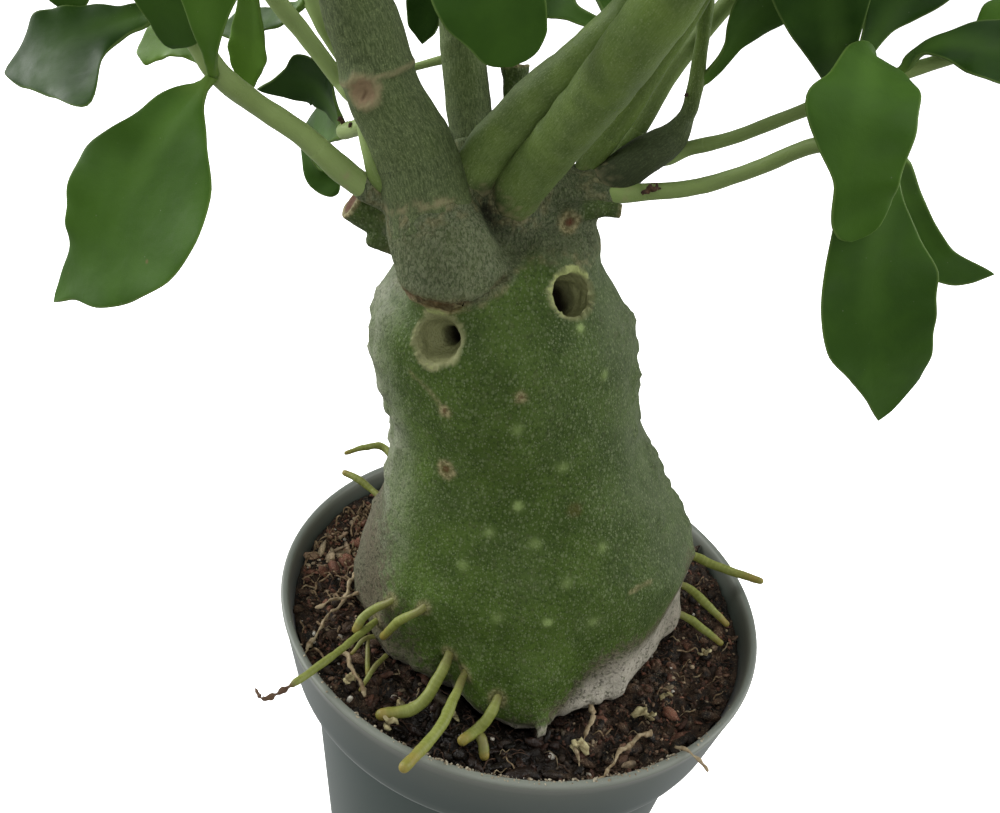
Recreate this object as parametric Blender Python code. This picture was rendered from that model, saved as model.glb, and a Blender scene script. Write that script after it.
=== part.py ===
"""Potted ant plant: a swollen green caudex with leafy stems, in a round nursery pot.

Millimetres throughout, converted once when a mesh is made. The pot stands on Z = 0 with its
axis on Z, the plant's front (the side with the two ant holes) faces -Y.
"""

from __future__ import annotations

import math
import random
from dataclasses import dataclass, replace

import bmesh
import bpy
import numpy as np

MM = 0.001
GAP = 0.4
ROUND_SIDES = 48
SOIL_SIDES = 36

# Nursery pot, 4.5 inch across the rim
RIM_RADIUS = 57.0
POT_HEIGHT = 108.0
COLLAR_HEIGHT = 19.0
COLLAR_FOOT_RADIUS = 53.3
BODY_TOP_RADIUS = 49.2
BASE_RADIUS = 39.0
WALL = 1.8
FLOOR = 2.2
DRAIN_HOLES = 6
DRAIN_HOLE_RADIUS = 4.0
DRAIN_RING_RADIUS = 28.0

# Potting mix
SOIL_TOP = 101.5
SOIL_ROUGHNESS = 0.7
BOWL_CLEARANCE = 1.2

# Caudex: height, centre across, radius across
CAUDEX_STATIONS = (
    (86.0, -3.0, 8.0), (90.0, -3.0, 20.0), (96.0, -3.0, 31.0), (102.0, -3.0, 36.5),
    (107.0, -3.0, 39.3), (112.0, -2.9, 38.8), (122.0, -1.5, 37.2), (131.0, -0.3, 35.6),
    (140.0, -3.0, 32.5), (148.0, -5.2, 29.8), (157.0, -8.8, 27.8), (168.0, -12.6, 27.9),
    (178.0, -14.3, 27.0), (186.0, -14.8, 23.0), (193.0, -15.5, 17.0), (198.0, -16.0, 9.0),
)
CAUDEX_DEPTH_RATIO = 0.95
CAUDEX_SIDES = 32
CAUDEX_ROWS = 20
SKIRT_TOP = 128.0
SKIRT_FULL = 108.0
SKIRT_MEAN = 38.2
# Radius of the corky skirt every 15 degrees, anticlockwise from +X
SKIRT_RADII = (
    39.6, 41.0, 40.0, 38.5, 39.5, 37.5, 38.0, 39.5, 37.5, 38.5, 39.0, 38.0,
    36.5, 36.2, 34.6, 36.2, 34.8, 33.8, 39.3, 42.0, 37.8, 38.5, 36.5, 36.7,
)
# Warts of the skin: degrees anticlockwise from +X, and height
WARTS = (
    (-4.0, 187.0), (3.0, 181.0), (-2.0, 174.5), (5.0, 168.0), (-6.0, 161.0), (2.0, 152.0),
    (4.0, 144.5), (-3.0, 140.0), (183.0, 184.0), (176.0, 178.5), (185.0, 172.5), (181.0, 163.0),
)
WART_RADIUS = 2.0

# Leaves
BLADE_THICKNESS = 0.8
STALK_THICKNESS = 1.8
STALK_HALF_WIDTH = 0.9
STALK_SHARE = 0.16
TIP_SHARES = (0.955, 1.0)
ROUND_TIP = (0.70, 0.22)
POINTED_TIP = (0.42, 0.07)
TIP_HALF_WIDTH = 0.3
WAVES_PER_LEAF = 1.7
WAVE_OFFSET = 2.2
FULL_WAVE_WIDTH = 6.0

# Meshes: merging distance and the angle below which two faces are made one, in metres and degrees
MERGE_DISTANCE = 0.000004
FLAT_ANGLE = 0.4


@dataclass(frozen=True)
class Tube:
    """A stem, neck or root swept along a smooth path.

    Args:
        path: Points of the centre line.
        radii: Radius at each point of the path.
        sides: Number of sides of the section.
        steps: Number of lengths the tube is divided in.
        rounded: True where the far end is a dome and False where it is cut flat.
        first: Share of the path where the tube starts.
        last: Share of the path where the tube ends.
    """

    path: tuple[tuple[float, float, float], ...]
    radii: tuple[float, ...]
    sides: int = 8
    steps: int = 8
    rounded: bool = True
    first: float = 0.0
    last: float = 1.0


@dataclass(frozen=True)
class Leaf:
    """A leaf blade on its own short stalk.

    Args:
        rib: Points of the midrib, from inside the stem to the tip.
        face: Direction that the upper side looks in.
        left: Width left of the rib at each ninth of its length.
        right: Width right of the rib at each ninth of its length.
        round_tip: True where the blade ends bluntly.
        cup: Rise of the margins as a share of the width.
        wave: Height of the waves of the margins.
        phase: Start of the waves, in turns.
        fine: True where the blade is divided more finely across.
        stations: Which ninths of the length have a row of points.
    """

    rib: tuple[tuple[float, float, float], ...]
    face: tuple[float, float, float]
    left: tuple[float, ...]
    right: tuple[float, ...]
    round_tip: bool = False
    cup: float = 0.12
    wave: float = 0.6
    phase: float = 0.0
    fine: bool = True
    stations: tuple[int, ...] = (0, 1, 2, 3, 4, 5, 6, 7, 8)


@dataclass(frozen=True)
class CrownLeaf:
    """A leaf of the crown above the part of the plant that the photo shows.

    Args:
        point: Place on the stem.
        azimuth: Direction in degrees, anticlockwise from +X.
        length: Length with its stalk.
        rise: Angle above the horizontal at which it leaves the stem, in degrees.
        droop: Share of the length that the tip falls back by.
    """

    point: tuple[float, float, float]
    azimuth: float
    length: float = 40.0
    rise: float = 40.0
    droop: float = 0.28


# Usual outline of a leaf: share of its half width at each ninth of its length
STANDARD_OUTLINE = (0.20, 0.50, 0.76, 0.94, 1.00, 0.93, 0.74, 0.43)


def unit(vector):
    """Return the vector at a length of one."""
    vector = np.asarray(vector, dtype=float)
    return vector / np.linalg.norm(vector)


def smooth_path(points, count):
    """Return evenly numbered points on a smooth curve through the given points."""
    control = np.asarray(points, dtype=float)
    last = len(control) - 1
    if last == 1:
        share = np.linspace(0.0, 1.0, count)[:, None]
        return control[0] * (1.0 - share) + control[1] * share
    padded = np.vstack([2 * control[0] - control[1], control, 2 * control[-1] - control[-2]])
    curve = []
    for place in np.linspace(0.0, last, count):
        index = min(int(place), last - 1)
        t = place - index
        before, start, end, after = padded[index:index + 4]
        curve.append(0.5 * (2 * start + (end - before) * t
                            + (2 * before - 5 * start + 4 * end - after) * t * t
                            + (3 * start - before - 3 * end + after) * t ** 3))
    return np.array(curve)


def smoothstep(low, high, value):
    """Return 0 below low, 1 above high and an eased blend between them."""
    share = min(max((value - low) / (high - low), 0.0), 1.0)
    return share * share * (3.0 - 2.0 * share)


def strip(first, second, count, closed):
    """Return the quads between two rows of points of the same count."""
    faces = []
    for i in range(count if closed else count - 1):
        j = (i + 1) % count
        faces.append((first + i, first + j, second + j, second + i))
    return faces


def lathe(profile, sides=ROUND_SIDES):
    """Turn a profile that starts and ends on the axis.

    Args:
        profile: Radius and height pairs, with a radius of zero at both ends.
        sides: Number of sides.

    Returns:
        Vertices and faces of a closed body.
    """
    verts = [(0.0, 0.0, profile[0][1])]
    for radius, height in profile[1:-1]:
        for i in range(sides):
            angle = 2.0 * math.pi * i / sides
            verts.append((radius * math.cos(angle), radius * math.sin(angle), height))
    verts.append((0.0, 0.0, profile[-1][1]))
    return verts, closed_rows(len(profile) - 2, sides)


def closed_rows(rows, sides):
    """Return faces of a body made of round rows between two poles."""
    faces = [(0, 1 + (i + 1) % sides, 1 + i) for i in range(sides)]
    for row in range(rows - 1):
        faces += strip(1 + row * sides, 1 + (row + 1) * sides, sides, True)
    last = 1 + (rows - 1) * sides
    pole = last + sides
    faces += [(last + i, last + (i + 1) % sides, pole) for i in range(sides)]
    return faces


def tube(spec):
    """Sweep a round section along a path.

    Args:
        spec: The tube to make.

    Returns:
        Vertices and faces of a closed body.
    """
    samples = 240
    curve = smooth_path(spec.path, samples + 1)
    tangents = np.gradient(curve, axis=0)
    knots = np.linspace(0.0, 1.0, len(spec.radii))
    side = unit(np.cross(tangents[0], (0.31, 0.83, 0.17)))
    sides = []
    for tangent in tangents:
        tangent = unit(tangent)
        side = unit(side - tangent * np.dot(side, tangent))
        sides.append(side)
    rows = []
    for share in np.linspace(spec.first, spec.last, spec.steps + 1):
        index = int(round(share * samples))
        tangent = unit(tangents[index])
        radius = float(np.interp(share, knots, spec.radii))
        rows.append((curve[index], radius, tangent, sides[index]))
    if spec.first > 0.0:
        point, radius, tangent, side = rows[0]
        rows[0] = (point + tangent * GAP, radius, tangent, side)
    start = rows[0][0]
    end, radius, tangent, side = rows[-1]
    if spec.rounded:
        rows.append((end + tangent * radius * 0.6, radius * 0.7, tangent, side))
        end = end + tangent * radius * 0.9
    verts = [tuple(start)]
    for point, radius, tangent, side in rows:
        up = np.cross(tangent, side)
        for i in range(spec.sides):
            angle = 2.0 * math.pi * i / spec.sides
            verts.append(tuple(point + radius * (side * math.cos(angle) + up * math.sin(angle))))
    verts.append(tuple(end))
    return verts, closed_rows(len(rows), spec.sides)


def leaf_rows(leaf):
    """Return the rows of points of a blade's middle surface, their normals and thicknesses."""
    columns = (-1.0, -0.5, 0.0, 0.5, 1.0) if leaf.fine else (-1.0, 0.0, 1.0)
    shares = [k / 9.0 for k in leaf.stations] + list(TIP_SHARES)
    curve = smooth_path(leaf.rib, 91)
    tangents = np.gradient(curve, axis=0)
    tip = ROUND_TIP if leaf.round_tip else POINTED_TIP
    rows = []
    for k, share in enumerate(shares):
        index = int(round(share * 90))
        tangent = unit(tangents[index])
        across = unit(np.cross(tangent, leaf.face))
        normal = np.cross(across, tangent)
        ends = len(shares) - k
        if k == 0:
            widths = (STALK_HALF_WIDTH, STALK_HALF_WIDTH)
        elif ends > 2:
            station = leaf.stations[k] - 1
            widths = (max(leaf.left[station], STALK_HALF_WIDTH),
                      max(leaf.right[station], STALK_HALF_WIDTH))
        else:
            widths = (max(leaf.left[-1] * tip[2 - ends], TIP_HALF_WIDTH),
                      max(leaf.right[-1] * tip[2 - ends], TIP_HALF_WIDTH))
        points = []
        for column in columns:
            width = widths[0] if column > 0 else widths[1]
            turn = 2.0 * math.pi * (WAVES_PER_LEAF * share + leaf.phase)
            if column <= 0:
                turn += WAVE_OFFSET
            fade = min(1.0, width / FULL_WAVE_WIDTH)
            lift = column * column * (leaf.cup * width + leaf.wave * fade * math.sin(turn))
            points.append(curve[index] + across * column * width + normal * lift)
        blade = smoothstep(0.0, STALK_SHARE, share)
        rows.append((points, normal, STALK_THICKNESS * (1 - blade) + BLADE_THICKNESS * blade))
    return rows


def leaf_blade(leaf):
    """Make a closed leaf blade whose two faces are divided alike."""
    rows = leaf_rows(leaf)
    columns = len(rows[0][0])
    verts = []
    for sign in (0.5, -0.5):
        for points, normal, thickness in rows:
            verts += [tuple(point + normal * thickness * sign) for point in points]
    under = len(rows) * columns
    faces = []
    for row in range(len(rows) - 1):
        for column in range(columns - 1):
            a = row * columns + column
            b, c, d = a + 1, a + columns + 1, a + columns
            faces += [(a, b, c), (a, c, d)]
            faces += [(under + a, under + c, under + b), (under + a, under + d, under + c)]
    rim = [column for column in range(columns)]
    rim += [row * columns + columns - 1 for row in range(1, len(rows))]
    rim += [(len(rows) - 1) * columns + column for column in range(columns - 2, -1, -1)]
    rim += [row * columns for row in range(len(rows) - 2, 0, -1)]
    for i, a in enumerate(rim):
        b = rim[(i + 1) % len(rim)]
        faces.append((a, under + a, under + b, b))
    return verts, faces


def crown_leaf(spec, rng):
    """Make a leaf of the crown, with its own small differences."""
    azimuth = math.radians(spec.azimuth)
    rise = math.radians(spec.rise)
    length = spec.length
    out = np.array([math.cos(azimuth), math.sin(azimuth), 0.0])
    up = np.array([0.0, 0.0, 1.0])
    start = np.array(spec.point, dtype=float)
    reach = length * math.cos(rise)
    climb = length * math.sin(rise)
    bend = np.array([-out[1], out[0], 0.0]) * rng.uniform(-0.06, 0.06) * length
    rib = [start]
    for share in (0.33, 0.68, 1.0):
        height = climb * share - length * spec.droop * share * share
        rib.append(start + out * reach * share + up * height + bend * share * share)
    half = length * rng.uniform(0.25, 0.30)
    left = tuple(half * w * rng.uniform(0.93, 1.07) for w in STANDARD_OUTLINE)
    right = tuple(half * w * rng.uniform(0.93, 1.07) for w in STANDARD_OUTLINE)
    face = tuple(up * math.cos(rise) - out * math.sin(rise))
    return Leaf(tuple(tuple(point) for point in rib), face, left, right,
                round_tip=rng.random() < 0.4, cup=rng.uniform(0.05, 0.16),
                wave=rng.uniform(0.4, 0.9), phase=rng.random(), fine=False,
                stations=(0, 1, 3, 5, 7, 8))


def caudex_centre(height):
    """Return the caudex's centre across at a height."""
    heights = [station[0] for station in CAUDEX_STATIONS]
    return float(np.interp(height, heights, [station[1] for station in CAUDEX_STATIONS]))


def caudex_radius(angle, height):
    """Return the caudex's radius at an angle in radians and a height."""
    heights = [station[0] for station in CAUDEX_STATIONS]
    radius = float(np.interp(height, heights, [station[2] for station in CAUDEX_STATIONS]))
    place = (angle / (2.0 * math.pi) % 1.0) * len(SKIRT_RADII)
    index = int(place) % len(SKIRT_RADII)
    after = (index + 1) % len(SKIRT_RADII)
    share = smoothstep(0.0, 1.0, place - int(place))
    skirt = SKIRT_RADII[index] * (1.0 - share) + SKIRT_RADII[after] * share
    amount = 1.0 - smoothstep(SKIRT_FULL, SKIRT_TOP, height)
    radius *= 1.0 + amount * (skirt / SKIRT_MEAN - 1.0)
    lump = 0.4 * math.sin(3.0 * angle + height * 0.11) + 0.3 * math.sin(5.0 * angle - height * 0.17)
    radius += lump * smoothstep(112.0, 130.0, height) * (1.0 - smoothstep(176.0, 190.0, height))
    return radius / math.hypot(math.cos(angle), math.sin(angle) / CAUDEX_DEPTH_RATIO)


def caudex_point(angle, height, outward=0.0):
    """Return a point on the caudex's skin, or further out by a distance."""
    radius = caudex_radius(angle, height) + outward
    return (caudex_centre(height) + radius * math.cos(angle), radius * math.sin(angle), height)


def caudex_heights():
    """Return the heights of the caudex's rows, which are closer at both ends."""
    low = CAUDEX_STATIONS[0][0]
    high = CAUDEX_STATIONS[-1][0]
    heights = []
    for k in range(CAUDEX_ROWS):
        share = k / (CAUDEX_ROWS - 1.0)
        share -= 0.07 * math.sin(2.0 * math.pi * share)
        heights.append(low + (high - low) * share)
    return heights


def caudex_body():
    """Make the swollen base of the plant on its own."""
    heights = caudex_heights()
    low, high = heights[0], heights[-1]
    verts = [(caudex_centre(low), 0.0, low - 1.5)]
    for height in heights:
        for i in range(CAUDEX_SIDES):
            verts.append(caudex_point(2.0 * math.pi * i / CAUDEX_SIDES, height))
    verts.append((caudex_centre(high), 0.0, high + 1.5))
    return verts, closed_rows(CAUDEX_ROWS, CAUDEX_SIDES)


def wart(angle, height, rng):
    """Make one low wart sunk in the caudex's skin."""
    foot = np.array(caudex_point(angle, height, -1.6))
    head = np.array(caudex_point(angle, height, rng.uniform(0.5, 1.0)))
    radius = WART_RADIUS * rng.uniform(0.75, 1.1)
    return tube(Tube((tuple(foot), tuple(head)), (radius, radius * 0.55), sides=5, steps=1,
                     rounded=False))


def soil_body():
    """Make the potting mix with a bowl in its top that the caudex sits in."""
    rng = random.Random(11)
    sides = SOIL_SIDES
    slope = (BODY_TOP_RADIUS - BASE_RADIUS) / (POT_HEIGHT - COLLAR_HEIGHT)
    collar_slope = (RIM_RADIUS - COLLAR_FOOT_RADIUS) / COLLAR_HEIGHT
    low = FLOOR + GAP
    ledge = POT_HEIGHT - COLLAR_HEIGHT + 1.0
    side_rows = [
        (BASE_RADIUS + slope * low - WALL - GAP, low),
        (BASE_RADIUS + slope * 45.0 - WALL - GAP, 45.0),
        (BODY_TOP_RADIUS - WALL - GAP, ledge),
        (COLLAR_FOOT_RADIUS + collar_slope - WALL - GAP, ledge + 2.0),
        (COLLAR_FOOT_RADIUS + collar_slope * (SOIL_TOP - ledge) - WALL - GAP, SOIL_TOP - 0.6),
    ]
    verts = [(0.0, 0.0, low)]
    angles = [2.0 * math.pi * i / sides for i in range(sides)]
    for radius, height in side_rows:
        verts += [(radius * math.cos(a), radius * math.sin(a), height) for a in angles]
    outer = side_rows[-1][0]
    for share in (0.25, 0.6):
        for a in angles:
            x, y, _ = caudex_point(a, SOIL_TOP, BOWL_CLEARANCE + 1.0)
            x = outer * math.cos(a) * (1.0 - share) + x * share
            y = outer * math.sin(a) * (1.0 - share) + y * share
            verts.append((x, y, SOIL_TOP + rng.uniform(-1.0, 1.0) * SOIL_ROUGHNESS))
    bowl_heights = [SOIL_TOP]
    bowl_heights += [h for h in reversed(caudex_heights()) if h < SOIL_TOP - 1.5]
    for height in bowl_heights:
        for a in angles:
            verts.append(caudex_point(a, height, BOWL_CLEARANCE))
    verts.append((caudex_centre(86.0), 0.0, bowl_heights[-1] - 3.0))
    rows = len(side_rows) + 2 + len(bowl_heights)
    return verts, closed_rows(rows, sides)


def pot_body():
    """Make the pot's turned shell."""
    collar_foot = POT_HEIGHT - COLLAR_HEIGHT
    collar_slope = (RIM_RADIUS - COLLAR_FOOT_RADIUS) / COLLAR_HEIGHT
    profile = [
        (0.0, 0.0), (BASE_RADIUS - 0.8, 0.0), (BASE_RADIUS, 1.0),
        (BODY_TOP_RADIUS, collar_foot),
        (COLLAR_FOOT_RADIUS - 0.5, collar_foot), (COLLAR_FOOT_RADIUS, collar_foot + 0.6),
        (RIM_RADIUS, POT_HEIGHT - 0.7), (RIM_RADIUS - 0.6, POT_HEIGHT),
        (RIM_RADIUS - WALL + 0.4, POT_HEIGHT), (RIM_RADIUS - WALL - 0.1, POT_HEIGHT - 0.7),
        (COLLAR_FOOT_RADIUS + collar_slope * 2.0 - WALL, collar_foot + 2.4),
        (BODY_TOP_RADIUS - WALL, collar_foot + 0.4),
        (BASE_RADIUS + 0.25 - WALL, FLOOR), (0.0, FLOOR),
    ]
    return lathe(profile)


def drain_holes():
    """Make the cutters of the holes in the pot's floor."""
    cutters = []
    for i in range(DRAIN_HOLES):
        angle = 2.0 * math.pi * (i + 0.5) / DRAIN_HOLES
        x = DRAIN_RING_RADIUS * math.cos(angle)
        y = DRAIN_RING_RADIUS * math.sin(angle)
        ends = ((x, y, -3.0), (x, y, FLOOR + 3.0))
        radii = (DRAIN_HOLE_RADIUS, DRAIN_HOLE_RADIUS)
        cutters.append(tube(Tube(ends, radii, sides=12, steps=1, rounded=False)))
    return cutters


BACK_NECK = Tube(
    ((-9.0, -4.0, 184.0), (-8.0, -3.0, 191.7), (-9.1, 0.0, 199.0), (-10.0, 1.5, 203.6)),
    (13.0, 11.2, 9.8, 8.8), sides=14, steps=6)
CUT_STUBS = (
    Tube(((-29.0, -9.0, 193.0), (-37.5, -8.0, 197.4), (-41.8, -8.0, 198.3), (-45.2, -9.0, 200.3)),
         (3.8, 3.7, 3.5, 3.4), steps=4, rounded=False),
    Tube(((-30.0, -10.0, 191.0), (-35.5, -10.0, 193.4), (-40.2, -11.0, 194.3)), (2.0, 1.8, 1.4),
         sides=6, steps=3),
    Tube(((-8.0, -5.4, 202.9), (-3.7, -6.1, 204.9), (1.6, -6.0, 206.6), (4.8, -6.0, 206.8)),
         (2.3, 2.1, 2.0, 1.9), sides=7, steps=3, rounded=False),
    Tube(((-16.5, 2.0, 199.0), (-17.6, 7.5, 210.0), (-19.6, 10.0, 221.2), (-20.4, 11.0, 225.4)),
         (3.0, 2.2, 2.2, 2.8), sides=7, steps=5, rounded=False),
)
ANT_HOLES = (
    Tube(((-26.6, -28.5, 184.2), (-24.6, -22.5, 182.2), (-21.0, -13.5, 179.5)), (5.4, 4.9, 2.8),
         sides=10, steps=4),
    Tube(((1.0, -17.0, 196.0), (-1.9, -11.8, 191.6), (-6.2, -5.6, 186.0)), (5.2, 4.6, 2.8),
         sides=10, steps=4),
)
ROOTS = (
    Tube(((-11.5, -29.0, 116.0), (-13.2, -36.5, 112.0), (-16.5, -41.5, 106.6),
          (-23.4, -44.4, 105.0)), (1.7, 1.9, 1.9, 1.6), sides=6, steps=6),
    Tube(((-8.0, -33.0, 112.0), (-9.3, -41.0, 111.0), (-10.8, -49.5, 110.6),
          (-15.2, -61.0, 111.8)), (1.8, 1.9, 1.9, 1.6), sides=6, steps=7),
    Tube(((0.5, -33.0, 112.0), (-1.2, -41.0, 109.0), (-3.4, -43.6, 105.8), (-5.8, -46.4, 105.2)),
         (1.6, 1.7, 1.7, 1.5), sides=6, steps=5),
    Tube(((-23.5, -14.0, 114.0), (-28.4, -20.2, 114.0), (-32.4, -23.5, 112.5),
          (-33.8, -27.0, 110.0)), (1.3, 1.4, 1.4, 1.2), sides=6, steps=5),
    Tube(((-16.5, -14.0, 115.0), (-20.5, -19.5, 114.0), (-24.0, -23.5, 113.0),
          (-27.4, -28.5, 111.4)), (1.3, 1.4, 1.4, 1.2), sides=6, steps=5),
    Tube(((-27.0, -18.0, 110.0), (-31.2, -26.5, 110.8), (-35.5, -36.0, 111.3),
          (-41.0, -46.3, 111.7), (-45.8, -51.4, 110.8), (-48.6, -49.4, 110.6)),
         (1.3, 1.5, 1.4, 1.2, 1.3, 0.7), sides=6, steps=9),
    Tube(((-32.0, 14.0, 118.0), (-41.4, 26.5, 120.5), (-46.5, 24.3, 121.5), (-50.4, 20.2, 121.5)),
         (1.1, 1.1, 0.9, 0.6), sides=5, steps=6),
    Tube(((-36.0, 15.0, 111.0), (-42.8, 19.6, 112.0), (-47.0, 21.3, 113.2), (-50.9, 22.7, 113.4)),
         (1.2, 1.1, 1.1, 0.9), sides=5, steps=5),
    Tube(((33.0, 20.0, 111.0), (40.5, 20.6, 111.0), (47.5, 17.9, 111.2), (57.4, 13.8, 112.8)),
         (1.3, 1.3, 1.3, 1.0), sides=6, steps=6),
    Tube(((33.0, 11.0, 108.5), (40.0, 11.2, 108.4), (45.0, 7.5, 107.4), (50.4, 4.4, 105.2)),
         (1.2, 1.3, 1.2, 1.0), sides=6, steps=5),
    Tube(((33.0, 2.0, 107.5), (40.0, 1.8, 107.0), (44.3, 0.0, 106.0), (48.8, -2.2, 104.8)),
         (1.1, 1.2, 1.1, 0.9), sides=6, steps=5),
    Tube(((8.0, -34.0, 107.0), (10.5, -41.2, 105.6), (10.9, -43.6, 104.2), (12.0, -45.2, 103.2)),
         (2.4, 1.8, 1.0, 0.7), sides=6, steps=5),
    Tube(((16.0, -27.0, 106.0), (19.0, -34.0, 105.4), (18.6, -37.2, 104.4), (17.9, -39.6, 103.4)),
         (1.6, 1.2, 0.9, 0.7), sides=6, steps=5),
)


@dataclass(frozen=True)
class LeafyStem:
    """A stem with its side shoots and leaves, made as one piece above its joint.

    Args:
        name: Name of the piece.
        stem: The whole stem, whose foot below the joint is grown in one with the caudex.
        joint: Share of the stem where the separate piece starts.
        foot_steps: Number of lengths that the foot is divided in.
        shoots: Side shoots.
        leaves: Leaves that the photo shows.
        crown: Leaves above the photo's edge.
    """

    name: str
    stem: Tube
    joint: float
    foot_steps: int = 4
    shoots: tuple[Tube, ...] = ()
    leaves: tuple[Leaf, ...] = ()
    crown: tuple[CrownLeaf, ...] = ()


MAIN_LEFT = LeafyStem(
    "stem_main_left",
    Tube(((-19.0, -3.0, 182.0), (-21.8, -11.5, 189.0), (-25.3, -15.8, 196.0),
          (-29.9, -14.0, 204.8), (-33.7, -13.0, 213.6), (-40.1, -12.0, 222.8),
          (-43.3, -12.0, 230.6), (-46.6, -12.0, 238.9), (-49.0, -11.0, 252.0),
          (-50.0, -10.0, 266.0), (-49.5, -9.0, 281.0)),
         (8.0, 9.2, 9.2, 8.1, 7.4, 6.5, 6.3, 5.8, 5.2, 4.2, 3.0), sides=14, steps=9),
    joint=0.385, foot_steps=9,
    shoots=(
        Tube(((-39.5, -11.0, 217.0), (-46.3, -9.0, 219.9), (-49.5, -7.0, 221.9),
              (-55.8, -7.0, 228.4), (-61.0, -8.0, 234.0), (-65.1, -9.0, 241.0),
              (-67.0, -9.0, 252.0)), (1.5, 1.3, 1.4, 1.6, 1.7, 1.6, 1.4), sides=7, steps=9),
        Tube(((-39.5, -9.0, 219.0), (-45.2, -8.0, 221.8), (-49.5, -3.5, 224.5),
              (-54.5, -2.0, 230.3), (-58.2, 0.0, 236.0), (-60.0, 3.0, 247.0)),
             (1.5, 1.3, 1.4, 1.6, 1.6, 1.3), sides=7, steps=7),
        Tube(((-37.5, -10.5, 217.5), (-43.5, -6.0, 214.5), (-50.0, 1.0, 210.1)),
             (1.6, 1.5, 1.6), sides=6, steps=4),
        Tube(((-36.0, -13.0, 214.5), (-41.0, -15.5, 213.4), (-42.5, -17.0, 216.6)),
             (1.8, 1.8, 1.5), sides=7, steps=3),
        Tube(((-47.5, -11.5, 250.0), (-40.0, -18.0, 252.0), (-31.0, -24.0, 253.5)),
             (1.6, 1.4, 1.3), sides=6, steps=4),
    ),
    leaves=(
        Leaf(((-50.0, 1.0, 210.1), (-55.0, 6.0, 214.0), (-60.0, 8.0, 216.0), (-70.0, 8.0, 213.0)),
             (-0.2, -0.8, -0.35), (2.5, 4.5, 6.0, 6.1, 7.0, 7.0, 3.6, 1.4),
             (1.9, 2.9, 3.4, 3.9, 4.4, 4.7, 3.9, 2.3), fine=False),
        Leaf(((-49.6, 0.5, 209.6), (-55.6, 8.0, 205.8), (-59.8, 14.0, 200.3), (-58.9, 16.0, 194.6),
              (-54.2, 14.0, 192.2)), (-0.5, -0.65, 0.55),
             (2.0, 5.5, 9.2, 9.2, 6.4, 4.0, 3.0, 2.4), (1.2, 1.8, 2.2, 2.6, 2.6, 2.6, 2.8, 2.8),
             round_tip=True, wave=0.2, fine=False),
        Leaf(((-57.4, -1.5, 233.0), (-63.0, 1.0, 229.0), (-69.6, 3.0, 226.4), (-76.3, 4.0, 223.3)),
             (0.1, -0.6, 0.75), (1.0, 1.9, 2.5, 2.8, 2.9, 3.1, 3.2, 2.0),
             (1.4, 2.1, 2.6, 3.2, 3.6, 3.7, 3.2, 1.9), fine=False),
        Leaf(((-65.0, -9.0, 241.0), (-67.3, -1.5, 227.0), (-68.5, 0.0, 219.7),
              (-69.3, -0.5, 213.9)), (-0.1, -0.9, 0.2),
             (1.5, 2.8, 3.8, 4.6, 4.6, 3.8, 2.6, 1.3), (1.0, 1.6, 2.4, 3.2, 3.7, 3.0, 2.2, 1.6),
             fine=False),
        Leaf(((-31.5, -23.7, 253.4), (-26.0, -28.0, 254.5), (-21.0, -31.0, 250.0),
              (-19.2, -31.0, 243.5), (-16.5, -30.0, 234.6)), (0.1, -0.75, 0.65),
             (1.2, 2.2, 4.6, 8.0, 10.3, 10.3, 9.2, 6.0), (1.4, 3.0, 5.0, 6.4, 6.6, 6.3, 6.5, 6.3),
             round_tip=True, wave=0.4),
    ),
    crown=(
        CrownLeaf((-50.0, -10.5, 262.0), 215.0, 40.0),
        CrownLeaf((-50.0, -10.0, 263.0), 60.0, 30.0, 66.0, 0.2),
        CrownLeaf((-49.7, -9.3, 275.0), 135.0, 38.0),
        CrownLeaf((-49.7, -9.3, 275.0), 300.0, 36.0, 46.0),
        CrownLeaf((-49.5, -9.0, 281.0), 200.0, 32.0, 62.0, 0.2),
        CrownLeaf((-49.5, -9.0, 281.0), 30.0, 30.0, 64.0, 0.2),
        CrownLeaf((-67.0, -9.0, 251.0), 175.0, 34.0, 40.0),
        CrownLeaf((-60.0, 3.0, 246.0), 120.0, 36.0, 36.0),
    ),
)
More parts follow.
